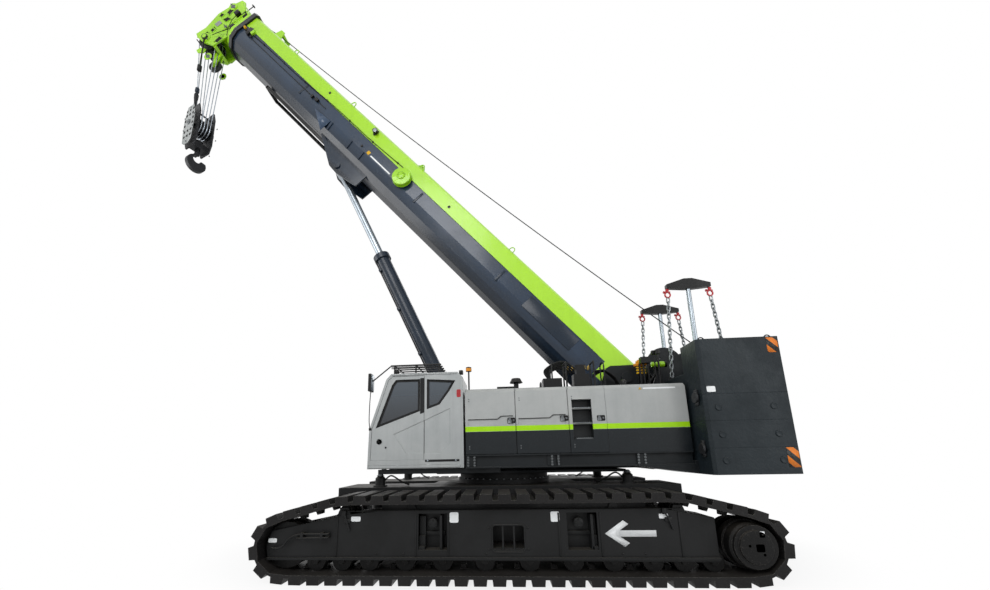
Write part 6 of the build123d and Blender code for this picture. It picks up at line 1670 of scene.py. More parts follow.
@dataclass
class Deck:
    """Hoses, valve fittings, lamps and rails on top of the upperworks."""

    deck_z: float = 2.93

    def hoses(self) -> None:
        """Hose bundle from the valve block to the boom's foot and to the winches."""
        runs = []
        for index in range(6):
            y = 0.62 + 0.045 * index
            runs.append(hose([(-1.30 - 0.05 * index, y, 3.30), (-1.22, y + 0.05, 3.42 + 0.02 * index),
                    (-1.02 + 0.03 * index, y, 3.36),
                              (-1.00, y - 0.02, 3.12), (-1.20, y - 0.06, 2.98)], 0.014))
        for index in range(4):
            y = 0.60 + 0.04 * index
            runs.append(hose([(-1.85, y, 3.25 + 0.03 * index), (-2.05, y + 0.05, 3.34), (-2.25, y, 3.20),
                    (-2.40, y - 0.06, 3.02),
                              (-2.8, y - 0.05, 2.96 + 0.02 * index)], 0.015))
        for index in range(3):
            runs.append(hose([(-2.9, 0.62, 3.05 + 0.03 * index), (-3.02, 0.66, 3.22), (-3.05, 0.60, 3.38),
                    (-2.98, 0.50, 3.48)], 0.012))
        make_piece("deck_hoses", joined(runs), Finish.RUBBER, "superstructure")

    def valve_fittings(self) -> None:
        """Hose unions on the valve block and its blank plate."""
        union = joined([lathe([(0, 0), (0.022, 0), (0.022, 0.018), (0.016, 0.022), (0.016, 0.05), (0, 0.05)], 6),
                        lathe([(0.013, 0.05), (0.013, 0.075), (0, 0.075)], 12)])
        places = [(x, y, 3.38) for x in np.linspace(-1.75, -1.35, 6) for y in (0.66, 0.76)]
        make_piece("valve_unions", union.repeated(spots(places)), Finish.BRASS, "superstructure")
        make_piece("valve_plate", label(-1.60, -1.50, 3.30, 3.37, 0.872), Finish.LABEL, "superstructure")

    def warning_bars(self) -> None:
        """Row of small yellow handles under the orange case, and the case's ribs."""
        handles = [rounded_box((-2.84 + 0.0, 0.72, z), (-2.66, 0.76, z + 0.035), 0.012) for z in (3.25, 3.305, 3.36)]
        make_piece("valve_handles", joined(handles), Finish.YELLOW, "superstructure")
        case = [rounded_box((-2.86, 0.64, 3.41), (-2.69, 0.80, 3.53), 0.02)]
        case += [rounded_box((-2.86 + 0.033 * i, 0.80, 3.43), (-2.845 + 0.033 * i, 0.807, 3.51),
                0.003) for i in range(5)]
        case.append(rounded_box((-2.72, 0.70, 3.40), (-2.62, 0.78, 3.46), 0.02))
        make_piece("pilot_case", joined(case), Finish.ORANGE, "superstructure")
        stand = [rounded_box((-2.80, 0.66, 2.931), (-2.72, 0.74, 3.42), 0.008),
                rounded_box((-2.86, 0.62, 2.931), (-2.66, 0.80, 2.95), 0.006)]
        make_piece("pilot_stand", joined(stand), Finish.BLACK, "superstructure")

    def winch_motor(self) -> None:
        """Green hydraulic motor at the front winch's end with its ringed cover."""
        body = lathe([(0, 0), (0.055, 0.0), (0.06, 0.02), (0.06, 0.12), (0.045, 0.14), (0.045, 0.20), (0.052, 0.205),
                (0.052, 0.24), (0, 0.25)], 26)
        make_piece("winch_motor", body.placed(at((-3.26, 0.60, 3.46), "x")), Finish.LIME, "superstructure")
        ring = lathe([(0.03, 0), (0.062, 0), (0.066, 0.012), (0.062, 0.03), (0.03, 0.034)], 26)
        make_piece("winch_motor_ring", ring.placed(at((-3.30, 0.60, 3.46), "x")), Finish.BLACK, "superstructure")
        carrier = [rounded_box((-3.16, 0.436, 3.40), (-3.10, 0.60, 3.52), 0.01),
                bolt_circle((-3.13, 0.437, 3.46), 0.09, 8, "y", 0.022, 0.012)]
        make_piece("winch_motor_arm", joined(carrier), Finish.DECK, "superstructure")

    def vents(self) -> None:
        """Bolted rims of the two mushroom vents and the filler cap."""
        rims = [bolt_circle((x, y, z), r, 8, "z", 0.018, 0.009) for x, y, z,
                r in ((-0.24, 1.25, self.deck_z, 0.10), (0.05, 1.24, self.deck_z, 0.05))]
        make_piece("vent_bolts", joined(rims), Finish.BOLT, "superstructure")

    def rails(self) -> None:
        """Grab rails by the valve block and along the deck's inner edge."""
        rails = []
        for x in (-0.98, -1.95):
            rails.append(tube(arc_path([(x, 1.08, 2.93), (x, 1.08, 3.30), (x, 1.06, 3.42), (x, 0.95, 3.45),
                    (x, 0.84, 3.42), (x, 0.82, 3.3),
                                        (x, 0.82, 2.93)], 10), 0.014, 8, up=(1, 0.05, 0.1)))
        feet = [rounded_box((x - 0.04, y - 0.04, 2.93), (x + 0.04, y + 0.04, 2.942), 0.004) for x in (-0.98,
                -1.95) for y in (0.82, 1.08)]
        make_piece("deck_rails", both(joined(rails + feet)), Finish.BLACK, "superstructure")

    def tread_studs(self) -> None:
        """Non-slip studs on both walkways: small flat domes on a staggered grid."""
        x, y = np.meshgrid(np.arange(-0.95, 0.60, 0.075), np.arange(0.62, 1.38, 0.075), indexing="ij")
        x = x + 0.0375 * (np.arange(y.shape[1])[None] % 2)
        places = np.column_stack([x.ravel(), y.ravel(), np.full(x.size, self.deck_z)])
        keep = ~((np.abs(places[:, 0] + 0.24) < 0.16) & (places[:,
                1] > 1.1)) & ~((np.abs(places[:, 0] - 0.05) < 0.1) & (places[:, 1] > 1.1))
        stud = lathe([(0.012, 0), (0.010, 0.004), (0.004, 0.005), (0, 0.005)], 8)
        make_piece("tread_studs", both(stud.repeated(spots(places[keep]))), Finish.DECK, "superstructure")

    def foot_pins(self) -> None:
        """Caps and keeper bolts on the boom's foot pin."""
        cap = lathe([(0, 0), (0.10, 0), (0.10, 0.012), (0.08, 0.02), (0, 0.02)], 32)
        patches = [cap.placed(at((-2.55, 0.502, 3.24), "y")),
                bolt_circle((-2.55, 0.518, 3.24), 0.06, 6, "y", 0.024, 0.012)]
        make_piece("pivot_caps", both(joined(patches)), Finish.BOLT, "superstructure")

    def lamp_mast(self) -> None:
        """Thin mast with a lamp behind the boom's foot."""
        mast = [tube(np.array([(-2.98, 0.86, z) for z in np.linspace(2.93, 3.62, 6)]), 0.012, 8),
                rounded_box((-3.03, 0.82, 3.60), (-2.93, 0.90, 3.68), 0.015)]
        make_piece("lamp_mast", joined(mast), Finish.BLACK, "superstructure")

    def build(self) -> None:
        """Builds every piece of the deck's dress."""
        for step in (self.hoses, self.valve_fittings, self.warning_bars, self.winch_motor, self.vents, self.rails,
                self.tread_studs,
                     self.foot_pins, self.lamp_mast):
            step()


@dataclass
class Counterweight:
    """Hazard bars, plates, lugs, clamps, chains and the chromed lifting rods."""

    side_y: float = 1.933
    levels: tuple[float, ...] = (1.385, 1.790, 2.215, 2.647, 3.570)
    rod_x: float = -3.87
    rod_y: float = 0.707

    def hazard(self) -> None:
        """Slanted bars in the upper and lower rear corners of both sides, plate thin."""
        patches = []
        for z0, z1, x0, x1 in ((3.30, 3.55, -4.505, -4.335), (1.485, 1.785, -4.51, -4.34)):
            patches.append(side_plate([(x0, z0), (x1, z0), (x1, z1), (x0, z1)], self.side_y, 0.002))
        make_piece("hazard_sides", both(joined(patches)), Finish.HAZARD, "superstructure", Shading.FLAT)

    def plates(self) -> None:
        """Blank plates on the slabs."""
        patches = [label(-3.435, -3.30, 2.68, 2.775, self.side_y - 0.001)]
        make_piece("ballast_plates", both(joined(patches)), Finish.LABEL, "superstructure")

    def lugs(self) -> None:
        """Cast lifting pockets and bosses on the slabs' sides."""
        rim = lathe([(0.032, 0), (0.05, 0), (0.055, 0.006), (0.045, 0.014), (0.032, 0.010)], 24)
        places = [(x, self.side_y - 0.002, z) for x in (-3.44, -4.28) for z in (1.60, 2.0, 2.43)]
        make_piece("ballast_pockets", both(rim.repeated(spots(places, "y"))), Finish.BALLAST, "superstructure")
        clamps = []
        for z in (2.62, 1.79):
            ring = lathe([(0.05, 0), (0.085, 0), (0.09, 0.01), (0.085, 0.035), (0.05, 0.035)], 24)
            clamps.append(ring.placed(at((-3.215, 1.74, z), "x")))
            clamps.append(rounded_box((-3.238, 1.70, z - 0.13), (-3.20, 1.78, z + 0.13), 0.01))
        make_piece("ballast_clamps", both(joined(clamps)), Finish.CAST, "superstructure")
        eye_angle = np.linspace(-0.3, math.pi + 0.3, 20)
        eyes = []
        for x in (-3.38, -4.44):
            for y in (1.50, 1.82):
                bow = np.stack([x + 0.05 * np.cos(eye_angle), np.full(20, y), 3.575 + 0.05 * np.sin(eye_angle)], -1)
                eyes.append(tube(bow, 0.010, 8))
        make_piece("ballast_eyes", both(joined(eyes)), Finish.CAST, "superstructure")

    def chains(self) -> None:
        """Four lifting chains from the jacking beams, splayed to the deck lugs, with red shackles at their tops."""
        links, tops, lugs = [], [], []
        for x_top, x_low in ((-3.455, -3.33), (-4.285, -4.41)):
            links.append(chain((x_top, self.rod_y, 4.80), (x_low, self.rod_y + 0.01, 3.17), 0.088, 0.0125))
            tops.append(shackle(0.016, 0.045, 0.11).placed(at((x_top, self.rod_y, 4.935))))
            tops.append(rounded_box((x_top - 0.03, self.rod_y - 0.022, 4.92), (x_top + 0.03, self.rod_y + 0.022, 5.0),
                    0.008))
            lugs.append(side_plate([(x_low - 0.08, 3.10), (x_low + 0.08, 3.10), (x_low + 0.04, 3.19),
                    (x_low - 0.04, 3.19)],
                                   self.rod_y - 0.015, 0.03, 0.004))
        make_piece("ballast_chains", both(joined(links)), Finish.CHAIN, "superstructure")
        make_piece("chain_shackles", both(joined(tops)), Finish.SHACKLE, "superstructure")
        make_piece("chain_lugs", both(joined(lugs)), Finish.CAST, "superstructure")

    def rods(self) -> None:
        """Chromed sleeves of the lifting rods, their wipers and the nuts above the beams."""
        sleeve = lathe([(0.0447, 3.285), (0.0450, 3.30), (0.0450, 4.97), (0.0447, 4.975)], 32)
        angle = at((self.rod_x, self.rod_y, 0))
        make_piece("lifting_rods", both(sleeve.placed(angle)), Finish.CHROME, "superstructure")
        nut = joined([lathe([(0, 5.19), (0.05, 5.19), (0.05, 5.197), (0, 5.199)], 6),
                lathe([(0.045, 3.28), (0.075, 3.28), (0.08, 3.29), (0.075, 3.315), (0.0448, 3.325)], 28)])
        make_piece("rod_nuts", both(nut.placed(angle)), Finish.BOLT, "superstructure")

    def build(self) -> None:
        """Builds every piece of the counterweight's dress."""
        for step in (self.hazard, self.plates, self.lugs, self.chains, self.rods):
            step()


# ======================================================================
# Boom and rigging
# ======================================================================


@dataclass
class Boom:
    """Dress of the boom's base section, its cylinder and its cable gear; sizes are (along, across, off the middle line)."""

    side: float = 0.44
    top: float = 0.35

    def reel(self) -> None:
        """Cable reel: green spoked disc with its cap and bolts."""
        centre = (6.871, 0.0, -0.201)
        y = self.side + 0.125
        disc = lathe([(0, 0), (0.10, 0), (0.105, 0.014), (0.10, 0.02), (0.22, 0.012), (0.225, 0.006), (0.228, 0),
                (0.228, -0.01), (0, -0.01)], 40)
        spokes = [rounded_box((-0.21, -0.016, 0.004), (0.21, 0.016, 0.016),
                0.005).placed(turned_frame((0, 0, 0), a, "z"))
                  for a in np.arange(4) * math.pi / 4]
        face = joined([disc, *spokes]).placed(BOOM @ at((centre[0], y, centre[2]), "y"))
        make_piece("reel_face", face, Finish.LIME, "boom_base")
        cap = joined([lathe([(0, 0.018), (0.085, 0.018), (0.09, 0.026), (0.07, 0.036), (0, 0.038)], 32),
                      hex_bolt(0.022, 0.012).repeated(np.array([np.eye(4) + np.pad(np.array([[r * math.cos(a)],
                              [r * math.sin(a)], [0.036]]), ((0, 1), (3, 0)))
                                                                for r, a in ((0.06, 0.0), (0.06, 2.1), (0.06, 4.2))]))])
        make_piece("reel_cap", cap.placed(BOOM @ at((centre[0], y - 0.002, centre[2]), "y")), Finish.LIME, "boom_base")

    def cable(self) -> None:
        """Signal cable from the reel up the boom's side to the head, held by clips."""
        u = np.linspace(6.95, 13.75, 60)
        n = 0.02 + 0.012 * np.sin(u * 2.1) - 0.17 * (u - 6.95) / 6.8
        path = np.column_stack([u, np.full_like(u, self.side + 0.02), n])
        patch = tube(path, 0.008, 8, up=(0, 0.2, 1)).placed(BOOM)
        make_piece("signal_cable", patch, Finish.RUBBER, "boom_base")
        clips = [rounded_box((c - 0.014, self.side - 0.004, m - 0.02), (c + 0.014, self.side + 0.03, m + 0.02), 0.005)
                 for c, m in zip(u[3::8], n[3::8])]
        make_piece("cable_clips", joined(clips).placed(BOOM), Finish.BLACK, "boom_base")

    def side_lamps(self) -> None:
        """Two work lamps, the lug and the marker discs on the left side."""
        patches = []
        lamp = lathe([(0, 0), (0.05, 0), (0.062, 0.03), (0.066, 0.09), (0.058, 0.095), (0.052, 0.085), (0, 0.085)], 28)
        patches.append(lamp.placed(BOOM @ at((8.366, self.side + 0.005, 0.20), "y")))
        patches.append(rounded_box((8.33, self.side - 0.004, 0.12), (8.40, self.side + 0.02, 0.28), 0.01).placed(BOOM))
        disc = lathe([(0, 0), (0.03, 0), (0.033, 0.008), (0.02, 0.016), (0, 0.016)], 24)
        for u, n in ((5.518, 0.089), (10.205, 0.149), (8.339, -0.286)):
            patches.append(disc.placed(BOOM @ at((u, self.side, n), "y")))
        for u, n in ((10.445, -0.238), (10.30, -0.222), (10.247, -0.223)):
            patches.append(rounded_box((u - 0.03, self.side - 0.004, n - 0.05), (u + 0.03, self.side + 0.05, n + 0.04),
                    0.01).placed(BOOM))
        make_piece("side_lamps", joined(patches), Finish.BLACK, "boom_base")
        lens = lathe([(0, 0.086), (0.052, 0.086), (0.05, 0.092), (0, 0.098)],
                28).placed(BOOM @ at((8.366, self.side + 0.005, 0.20), "y"))
        make_piece("side_lamp_lens", lens, Finish.LENS, "boom_base")

    def belly_rails(self) -> None:
        """Long dark guide rails under the belly, ahead of the cylinder's bracket, and flat plates of lighter boom paint
        beside the bracket as painted shading of a facet.
        """
        rails = [rounded_box((9.25, y - 0.02, -0.875), (11.95, y + 0.02, -0.79), 0.008) for y in (-0.22, 0.22)]
        rails.append(rounded_box((11.90, -0.24, -0.88), (11.96, 0.24, -0.79), 0.008))
        make_piece("belly_rails", joined(rails).placed(BOOM), Finish.BLACK, "boom_base")
        # Painted shading: flat triangles of lighter boom paint where a facet would catch the light differently.
        shading_plates = side_plate([(9.50, -0.73), (10.13, -0.42), (9.51, -0.38)], self.side - 0.004, 0.01)
        make_piece("bracket_facet_shading", joined([shading_plates.placed(BOOM), mirrored(shading_plates).placed(BOOM)]), Finish.BOOM_EDGE,
                "boom_base", Shading.FLAT)

    def side_gear(self) -> None:
        """Sensor, connector and bracket near the boom's front end, with the slim conduit along its side."""
        black = [rounded_box((u - a, self.side - 0.003, m - b), (u + a, self.side + d, m + b), 0.008)
                 for u, m, a, b, d in ((13.62, -0.155, 0.06, 0.04, 0.05), (13.46, -0.20, 0.05, 0.05, 0.07),
                         (13.33, -0.215, 0.04, 0.03, 0.04))]
        conduit = np.column_stack([np.linspace(9.9, 13.3, 30), np.full(30, self.side + 0.009), np.full(30, -0.235)])
        black.append(tube(conduit, 0.010, 8, up=(0, 0.2, 1)))
        make_piece("side_gear", joined(black).placed(BOOM), Finish.BLACK, "boom_base")
        yellow = lathe([(0, 0), (0.035, 0), (0.04, 0.02), (0.03, 0.05), (0, 0.055)], 20)
        make_piece("side_sensor", yellow.placed(BOOM @ at((13.64, self.side + 0.045, -0.15), "y")), Finish.YELLOW,
                "boom_base")

    def plates(self) -> None:
        """Blank plates where the boom carries signs."""
        warning = joined([rounded_box((8.02, self.side - 0.002, -0.34), (8.11, self.side + 0.003, -0.25),
                0.001)]).placed(BOOM)
        strip = joined([rounded_box((7.22, self.side - 0.002, -0.335), (7.96, self.side + 0.002, -0.30),
                0.001)]).placed(BOOM)
        make_piece("boom_sign", warning, Finish.YELLOW, "boom_base")
        make_piece("boom_sign_strip", strip, Finish.LABEL, "boom_base")

    def seams(self) -> None:
        """Long weld beads where the upper shell meets the lower one, doubler plates, and pad bolts at the front end."""
        u = np.linspace(0.7, 13.6, 900)
        bead = np.column_stack([u, np.full_like(u, self.side + 0.001), np.full_like(u, -0.058)])
        radius = 0.006 * (1 + 0.3 * np.sin(u * 240.0))
        patches = [tube(bead, radius, 6, up=(0, 0, 1))]
        for start, end in ((1.2, 2.6), (3.4, 3.46), (6.2, 6.26), (10.8, 10.86)):
            patches.append(rounded_box((start, self.side - 0.006, -0.42), (end, self.side + 0.008, -0.10), 0.006))
        make_piece("boom_beads", joined([patch.placed(BOOM) for patch in (joined(patches), mirrored(joined(patches)))]),
                   Finish.BOOM_DARK, "boom_base")
        bolts = [(c, self.side + 0.043, n) for c in (13.80, 13.86) for n in (-0.38, -0.30, -0.16, 0.08, 0.16)]
        top_bolts = [(c, y, self.top + 0.043) for c in (13.80, 13.86) for y in (-0.26, -0.18, 0.18, 0.26)]
        head = hex_bolt(0.028, 0.014)
        local = joined([both(head.repeated(spots(bolts, "y"))), head.repeated(spots(top_bolts))])
        make_piece("collar_bolts", local.placed(BOOM), Finish.BOLT, "boom_base")

    def roof_gear(self) -> None:
        """Rope rollers, eyes and clips on the boom's roof."""
        patches = []
        for u in (2.2, 5.0, 8.9, 10.9):
            roller = lathe([(0, -0.14), (0.03, -0.14), (0.03, -0.10), (0.022, -0.08), (0.022, 0.08), (0.03, 0.10),
                    (0.03, 0.14), (0, 0.14)], 20)
            patches.append(roller.placed(BOOM @ at((u, 0, self.top + 0.055), "y")))
            patches += [rounded_box((u - 0.04, y - 0.008, self.top - 0.004), (u + 0.04, y + 0.008, self.top + 0.085),
                    0.004).placed(BOOM)
                        for y in (-0.15, 0.15)]
        make_piece("roof_rollers", joined(patches), Finish.BLACK, "boom_base")
        eye_angle = np.linspace(-0.2, math.pi + 0.2, 18)
        eyes = []
        for u, y in ((3.704, 0.40), (6.816, 0.40), (9.5, 0.40), (12.0, 0.40)):
            bow = np.stack([u + 0.055 * np.cos(eye_angle), np.full(18, y),
                    self.top + 0.01 + 0.075 * np.sin(eye_angle)], -1)
            eyes.append(tube(bow, 0.012, 8))
        make_piece("roof_eyes", joined([part.placed(BOOM) for part in (joined(eyes), mirrored(joined(eyes)))]),
                Finish.LIME, "boom_base")

    def cylinder_gear(self) -> None:
        """Hydraulic pipe up the lift cylinder's barrel with its clamps, gland bolts and the wiper ring."""
        foot, eye = np.array([0.710, 2.076]), np.array([3.891, 8.942])
        along = unit(eye - foot)
        across = np.array([-along[1], along[0]])

        def place(distance: float, off: float, y: float) -> Point:
            """Point on the cylinder, off its axis."""
            spot = foot + along * distance + across * off
            return (float(spot[0]), y, float(spot[1]))

        pipes = [tube(np.array([place(d, -0.17, y) for d in np.linspace(0.35, 4.70, 20)]), 0.016, 10) for y in (0.10,
                -0.10)]
        pipes.append(tube(arc_path([place(4.70, -0.17, 0.10), place(4.80, -0.16, 0.10), place(4.82, -0.12, 0.10)], 6),
                0.016, 10))
        make_piece("cylinder_pipes", joined(pipes), Finish.BLACK, "luff_barrel")
        turn = turned_frame((foot[0], 0.0, foot[1]), math.atan2(along[1], along[0]), "y")
        clamps = [rounded_box((d - 0.03, -0.13, 0.12), (d + 0.03, 0.13, 0.195),
                0.01).placed(turn @ np.diag([1.0, 1.0, -1.0, 1.0])) for d in (1.0, 2.2, 3.4, 4.5)]
        gland = bolt_circle((4.895, 0, 0), 0.165, 12, "x", 0.026, 0.016).placed(turn)
        ring = lathe([(0.089, 0), (0.13, 0), (0.13, 0.012), (0.10, 0.03), (0.089, 0.03)],
                32).placed(turn @ at((4.89, 0, 0), "x"))
        make_piece("cylinder_clamps", joined([Patch(c.points, [g[:, ::-1] for g in c.faces]) for c in clamps]),
                Finish.BOOM_DARK, "luff_barrel")
        make_piece("cylinder_gland", joined([gland, ring]), Finish.BOLT, "luff_barrel")

    def build(self) -> None:
        """Builds every piece of the boom's dress."""
        for step in (self.reel, self.cable, self.side_lamps, self.belly_rails, self.side_gear, self.plates, self.seams,
                self.roof_gear, self.cylinder_gear):
            step()


@dataclass
class Head:
    """Dress of the boom's head: bolts, guards, lamp, hoses and blank plate."""

    plate_y: float = 0.285

    def guards(self) -> None:
        """Rope guards round the main and the upper sheaves, round bars between the head's plates."""
        bars = []
        for (u, n), reach in (((14.62, -1.08), 0.285), ((14.90, 0.13), 0.208)):
            for angle in (0.3, 1.4, -0.8, -2.1):
                bars.append(tube(np.array([(u + reach * math.cos(angle), y,
                        n + reach * math.sin(angle)) for y in np.linspace(-0.25, 0.25, 5)]), 0.014, 10,
                                 up=(1, 0, 0.2)))
        make_piece("sheave_guards", joined(bars).placed(BOOM), Finish.CHASSIS, "boom_section_4")

    def pins(self) -> None:
        """Pin caps with keeper plates on the head's plates."""
        patches = []
        for u, n, r in ((14.62, -1.08, 0.085), (14.90, 0.13, 0.07), (13.99, -1.41, 0.06), (14.45, -0.45, 0.05)):
            cap = lathe([(0, 0), (r, 0), (r, 0.012), (r * 0.8, 0.022), (0, 0.022)], 28)
            patches.append(cap.placed(at((u, self.plate_y, n), "y")))
            patches.append(rounded_box((u - r * 1.5, self.plate_y, n - r * 0.25),
                    (u + r * 1.5, self.plate_y + 0.03, n + r * 0.25), 0.006))
            patches.append(hex_bolt(0.024, 0.012).repeated(spots([(u - r * 1.25, self.plate_y + 0.03, n),
                    (u + r * 1.25, self.plate_y + 0.03, n)], "y")))
        local = joined(patches)
        make_piece("head_pins", both(local).placed(BOOM), Finish.BOLT, "boom_section_4")

    def ribs(self) -> None:
        """Stiffening ribs and doubler rings welded on the head's plates."""
        y = self.plate_y
        ribs = []
        for (u0, n0), (u1, n1) in (((14.20, 0.30), (14.74, 0.40)), ((14.20, -0.10), (14.80, -0.16)),
                ((14.25, -0.70), (14.78, -0.72)),
                                   ((14.42, 0.22), (14.42, -0.60))):
            line = np.array([(u0, y + 0.006, n0), (u1, y + 0.006, n1)])
            path = line[0] + (line[1] - line[0]) * np.linspace(0, 1, 8)[:, None]
            ribs.append(tube(path, 0.018, 4, up=(0, 1, 0.01)))
        for u, n, r in ((14.62, -1.08, 0.15), (14.90, 0.13, 0.12), (13.99, -1.41, 0.11)):
            ribs.append(lathe([(r * 0.62, 0), (r, 0), (r, 0.012), (r * 0.62, 0.012)], 36).placed(at((u, y, n), "y")))
        local = joined(ribs)
        make_piece("head_ribs", both(local).placed(BOOM), Finish.LIME, "boom_section_4")

    def lugs(self) -> None:
        """Tip lugs, upper lugs, and the lower bracket for the runner."""
        patches = []
        tip = [(14.70, -1.20), (14.84, -1.24), (14.90, -1.18), (14.88, -1.08), (14.72, -1.00)]
        top = [(14.72, 0.34), (14.88, 0.34), (14.85, 0.42), (14.78, 0.45), (14.70, 0.44)]
        low = [(14.28, -1.30), (14.44, -1.38), (14.46, -1.52), (14.36, -1.54), (14.22, -1.42)]
        for outline in (tip, top, low):
            patches.append(side_plate(anticlockwise(outline), self.plate_y - 0.03, 0.028, 0.004))
        local = joined(patches)
        make_piece("head_lugs", both(local).placed(BOOM), Finish.LIME, "boom_section_4")

    def openings(self) -> None:
        """Painted shade in the hand holes and in the gaps between the head's webs: dark inset plates with a raised
        green rim.
        """
        shapes = (((14.78, 0.10), (14.93, 0.06), (14.86, -0.13), (14.72, -0.12)),
                ((14.86, -0.20), (14.98, -0.24), (14.93, -0.36), (14.84, -0.32)),
                  ((14.56, -0.16), (14.72, -0.20), (14.76, -0.36), (14.60, -0.34)),
                          ((14.62, -0.68), (14.74, -0.66), (14.72, -0.82), (14.60, -0.84)),
                  ((14.20, -0.74), (14.34, -0.78), (14.30, -1.00), (14.18, -0.94)),
                          ((14.66, -0.90), (14.76, -0.92), (14.74, -1.00), (14.64, -0.98)),
                  ((14.24, 0.22), (14.50, 0.30), (14.48, 0.12), (14.24, 0.06)),
                          ((14.22, -0.20), (14.40, -0.22), (14.38, -0.36), (14.22, -0.34)))
        shade_plates, rims = [], []
        for shape in shapes:
            points = anticlockwise(shape)
            # Dark plate that paints the shade in a gap or opening.
            shade_plates.append(side_plate(points, self.plate_y - 0.004, 0.006))
            path = np.column_stack([points[:, 0], np.full(4, self.plate_y + 0.004), points[:, 1]])
            path = np.concatenate([path, path[:2]])
            path = np.concatenate([a + (b - a) * np.linspace(0, 1, 6, endpoint=False)[:, None] for a,
                    b in zip(path[:-1], path[1:])])
            rims.append(tube(path, 0.009, 6, up=(0, 1, 0)))
        for name, patches, finish in (("head_painted_shade", shade_plates, Finish.DARK_PRINT_AND_SHADE), ("head_rims", rims, Finish.LIME)):
            local = joined(patches)
            make_piece(name, both(local).placed(BOOM), finish, "boom_section_4")

    def gear(self) -> None:
        """Wind gauge, lamp and switch box with their leads, and the blank grey plate."""
        box_piece = [rounded_box((14.46, self.plate_y + 0.002, -0.02), (14.60, self.plate_y + 0.09, 0.14), 0.015),
                     rounded_box((14.16, self.plate_y + 0.002, -0.40), (14.30, self.plate_y + 0.08, -0.26), 0.012),
                     tube(np.array([(14.66, 0.16, n) for n in np.linspace(0.36, 0.60, 5)]), 0.011, 8),
                     rounded_box((14.61, 0.13, 0.585), (14.71, 0.19, 0.62), 0.012)]
        leads = [tube(arc_path([(14.50, 0.33, -0.02), (14.42, 0.35, -0.2), (14.30, 0.34, -0.42), (14.12, 0.33, -0.62)],
                10), 0.008, 6, up=(0.1, 1, 0.1)),
                 tube(arc_path([(14.22, 0.34, -0.40), (14.3, 0.37, -0.66), (14.45, 0.34, -0.90)], 10), 0.008, 6,
                         up=(0.1, 1, 0.1))]
        make_piece("head_boxes", joined(box_piece).placed(BOOM), Finish.BLACK, "boom_section_4")
        make_piece("head_leads", joined(leads).placed(BOOM), Finish.RUBBER, "boom_section_4")
        plate_piece = rounded_box((14.66, self.plate_y + 0.002, -0.62), (14.80, self.plate_y + 0.012, -0.44), 0.004)
        make_piece("head_plate", plate_piece.placed(BOOM), Finish.CHEEK, "boom_section_4")

    def build(self) -> None:
        """Builds every piece of the head's dress."""
        for step in (self.guards, self.pins, self.ribs, self.lugs, self.openings, self.gear):
            step()


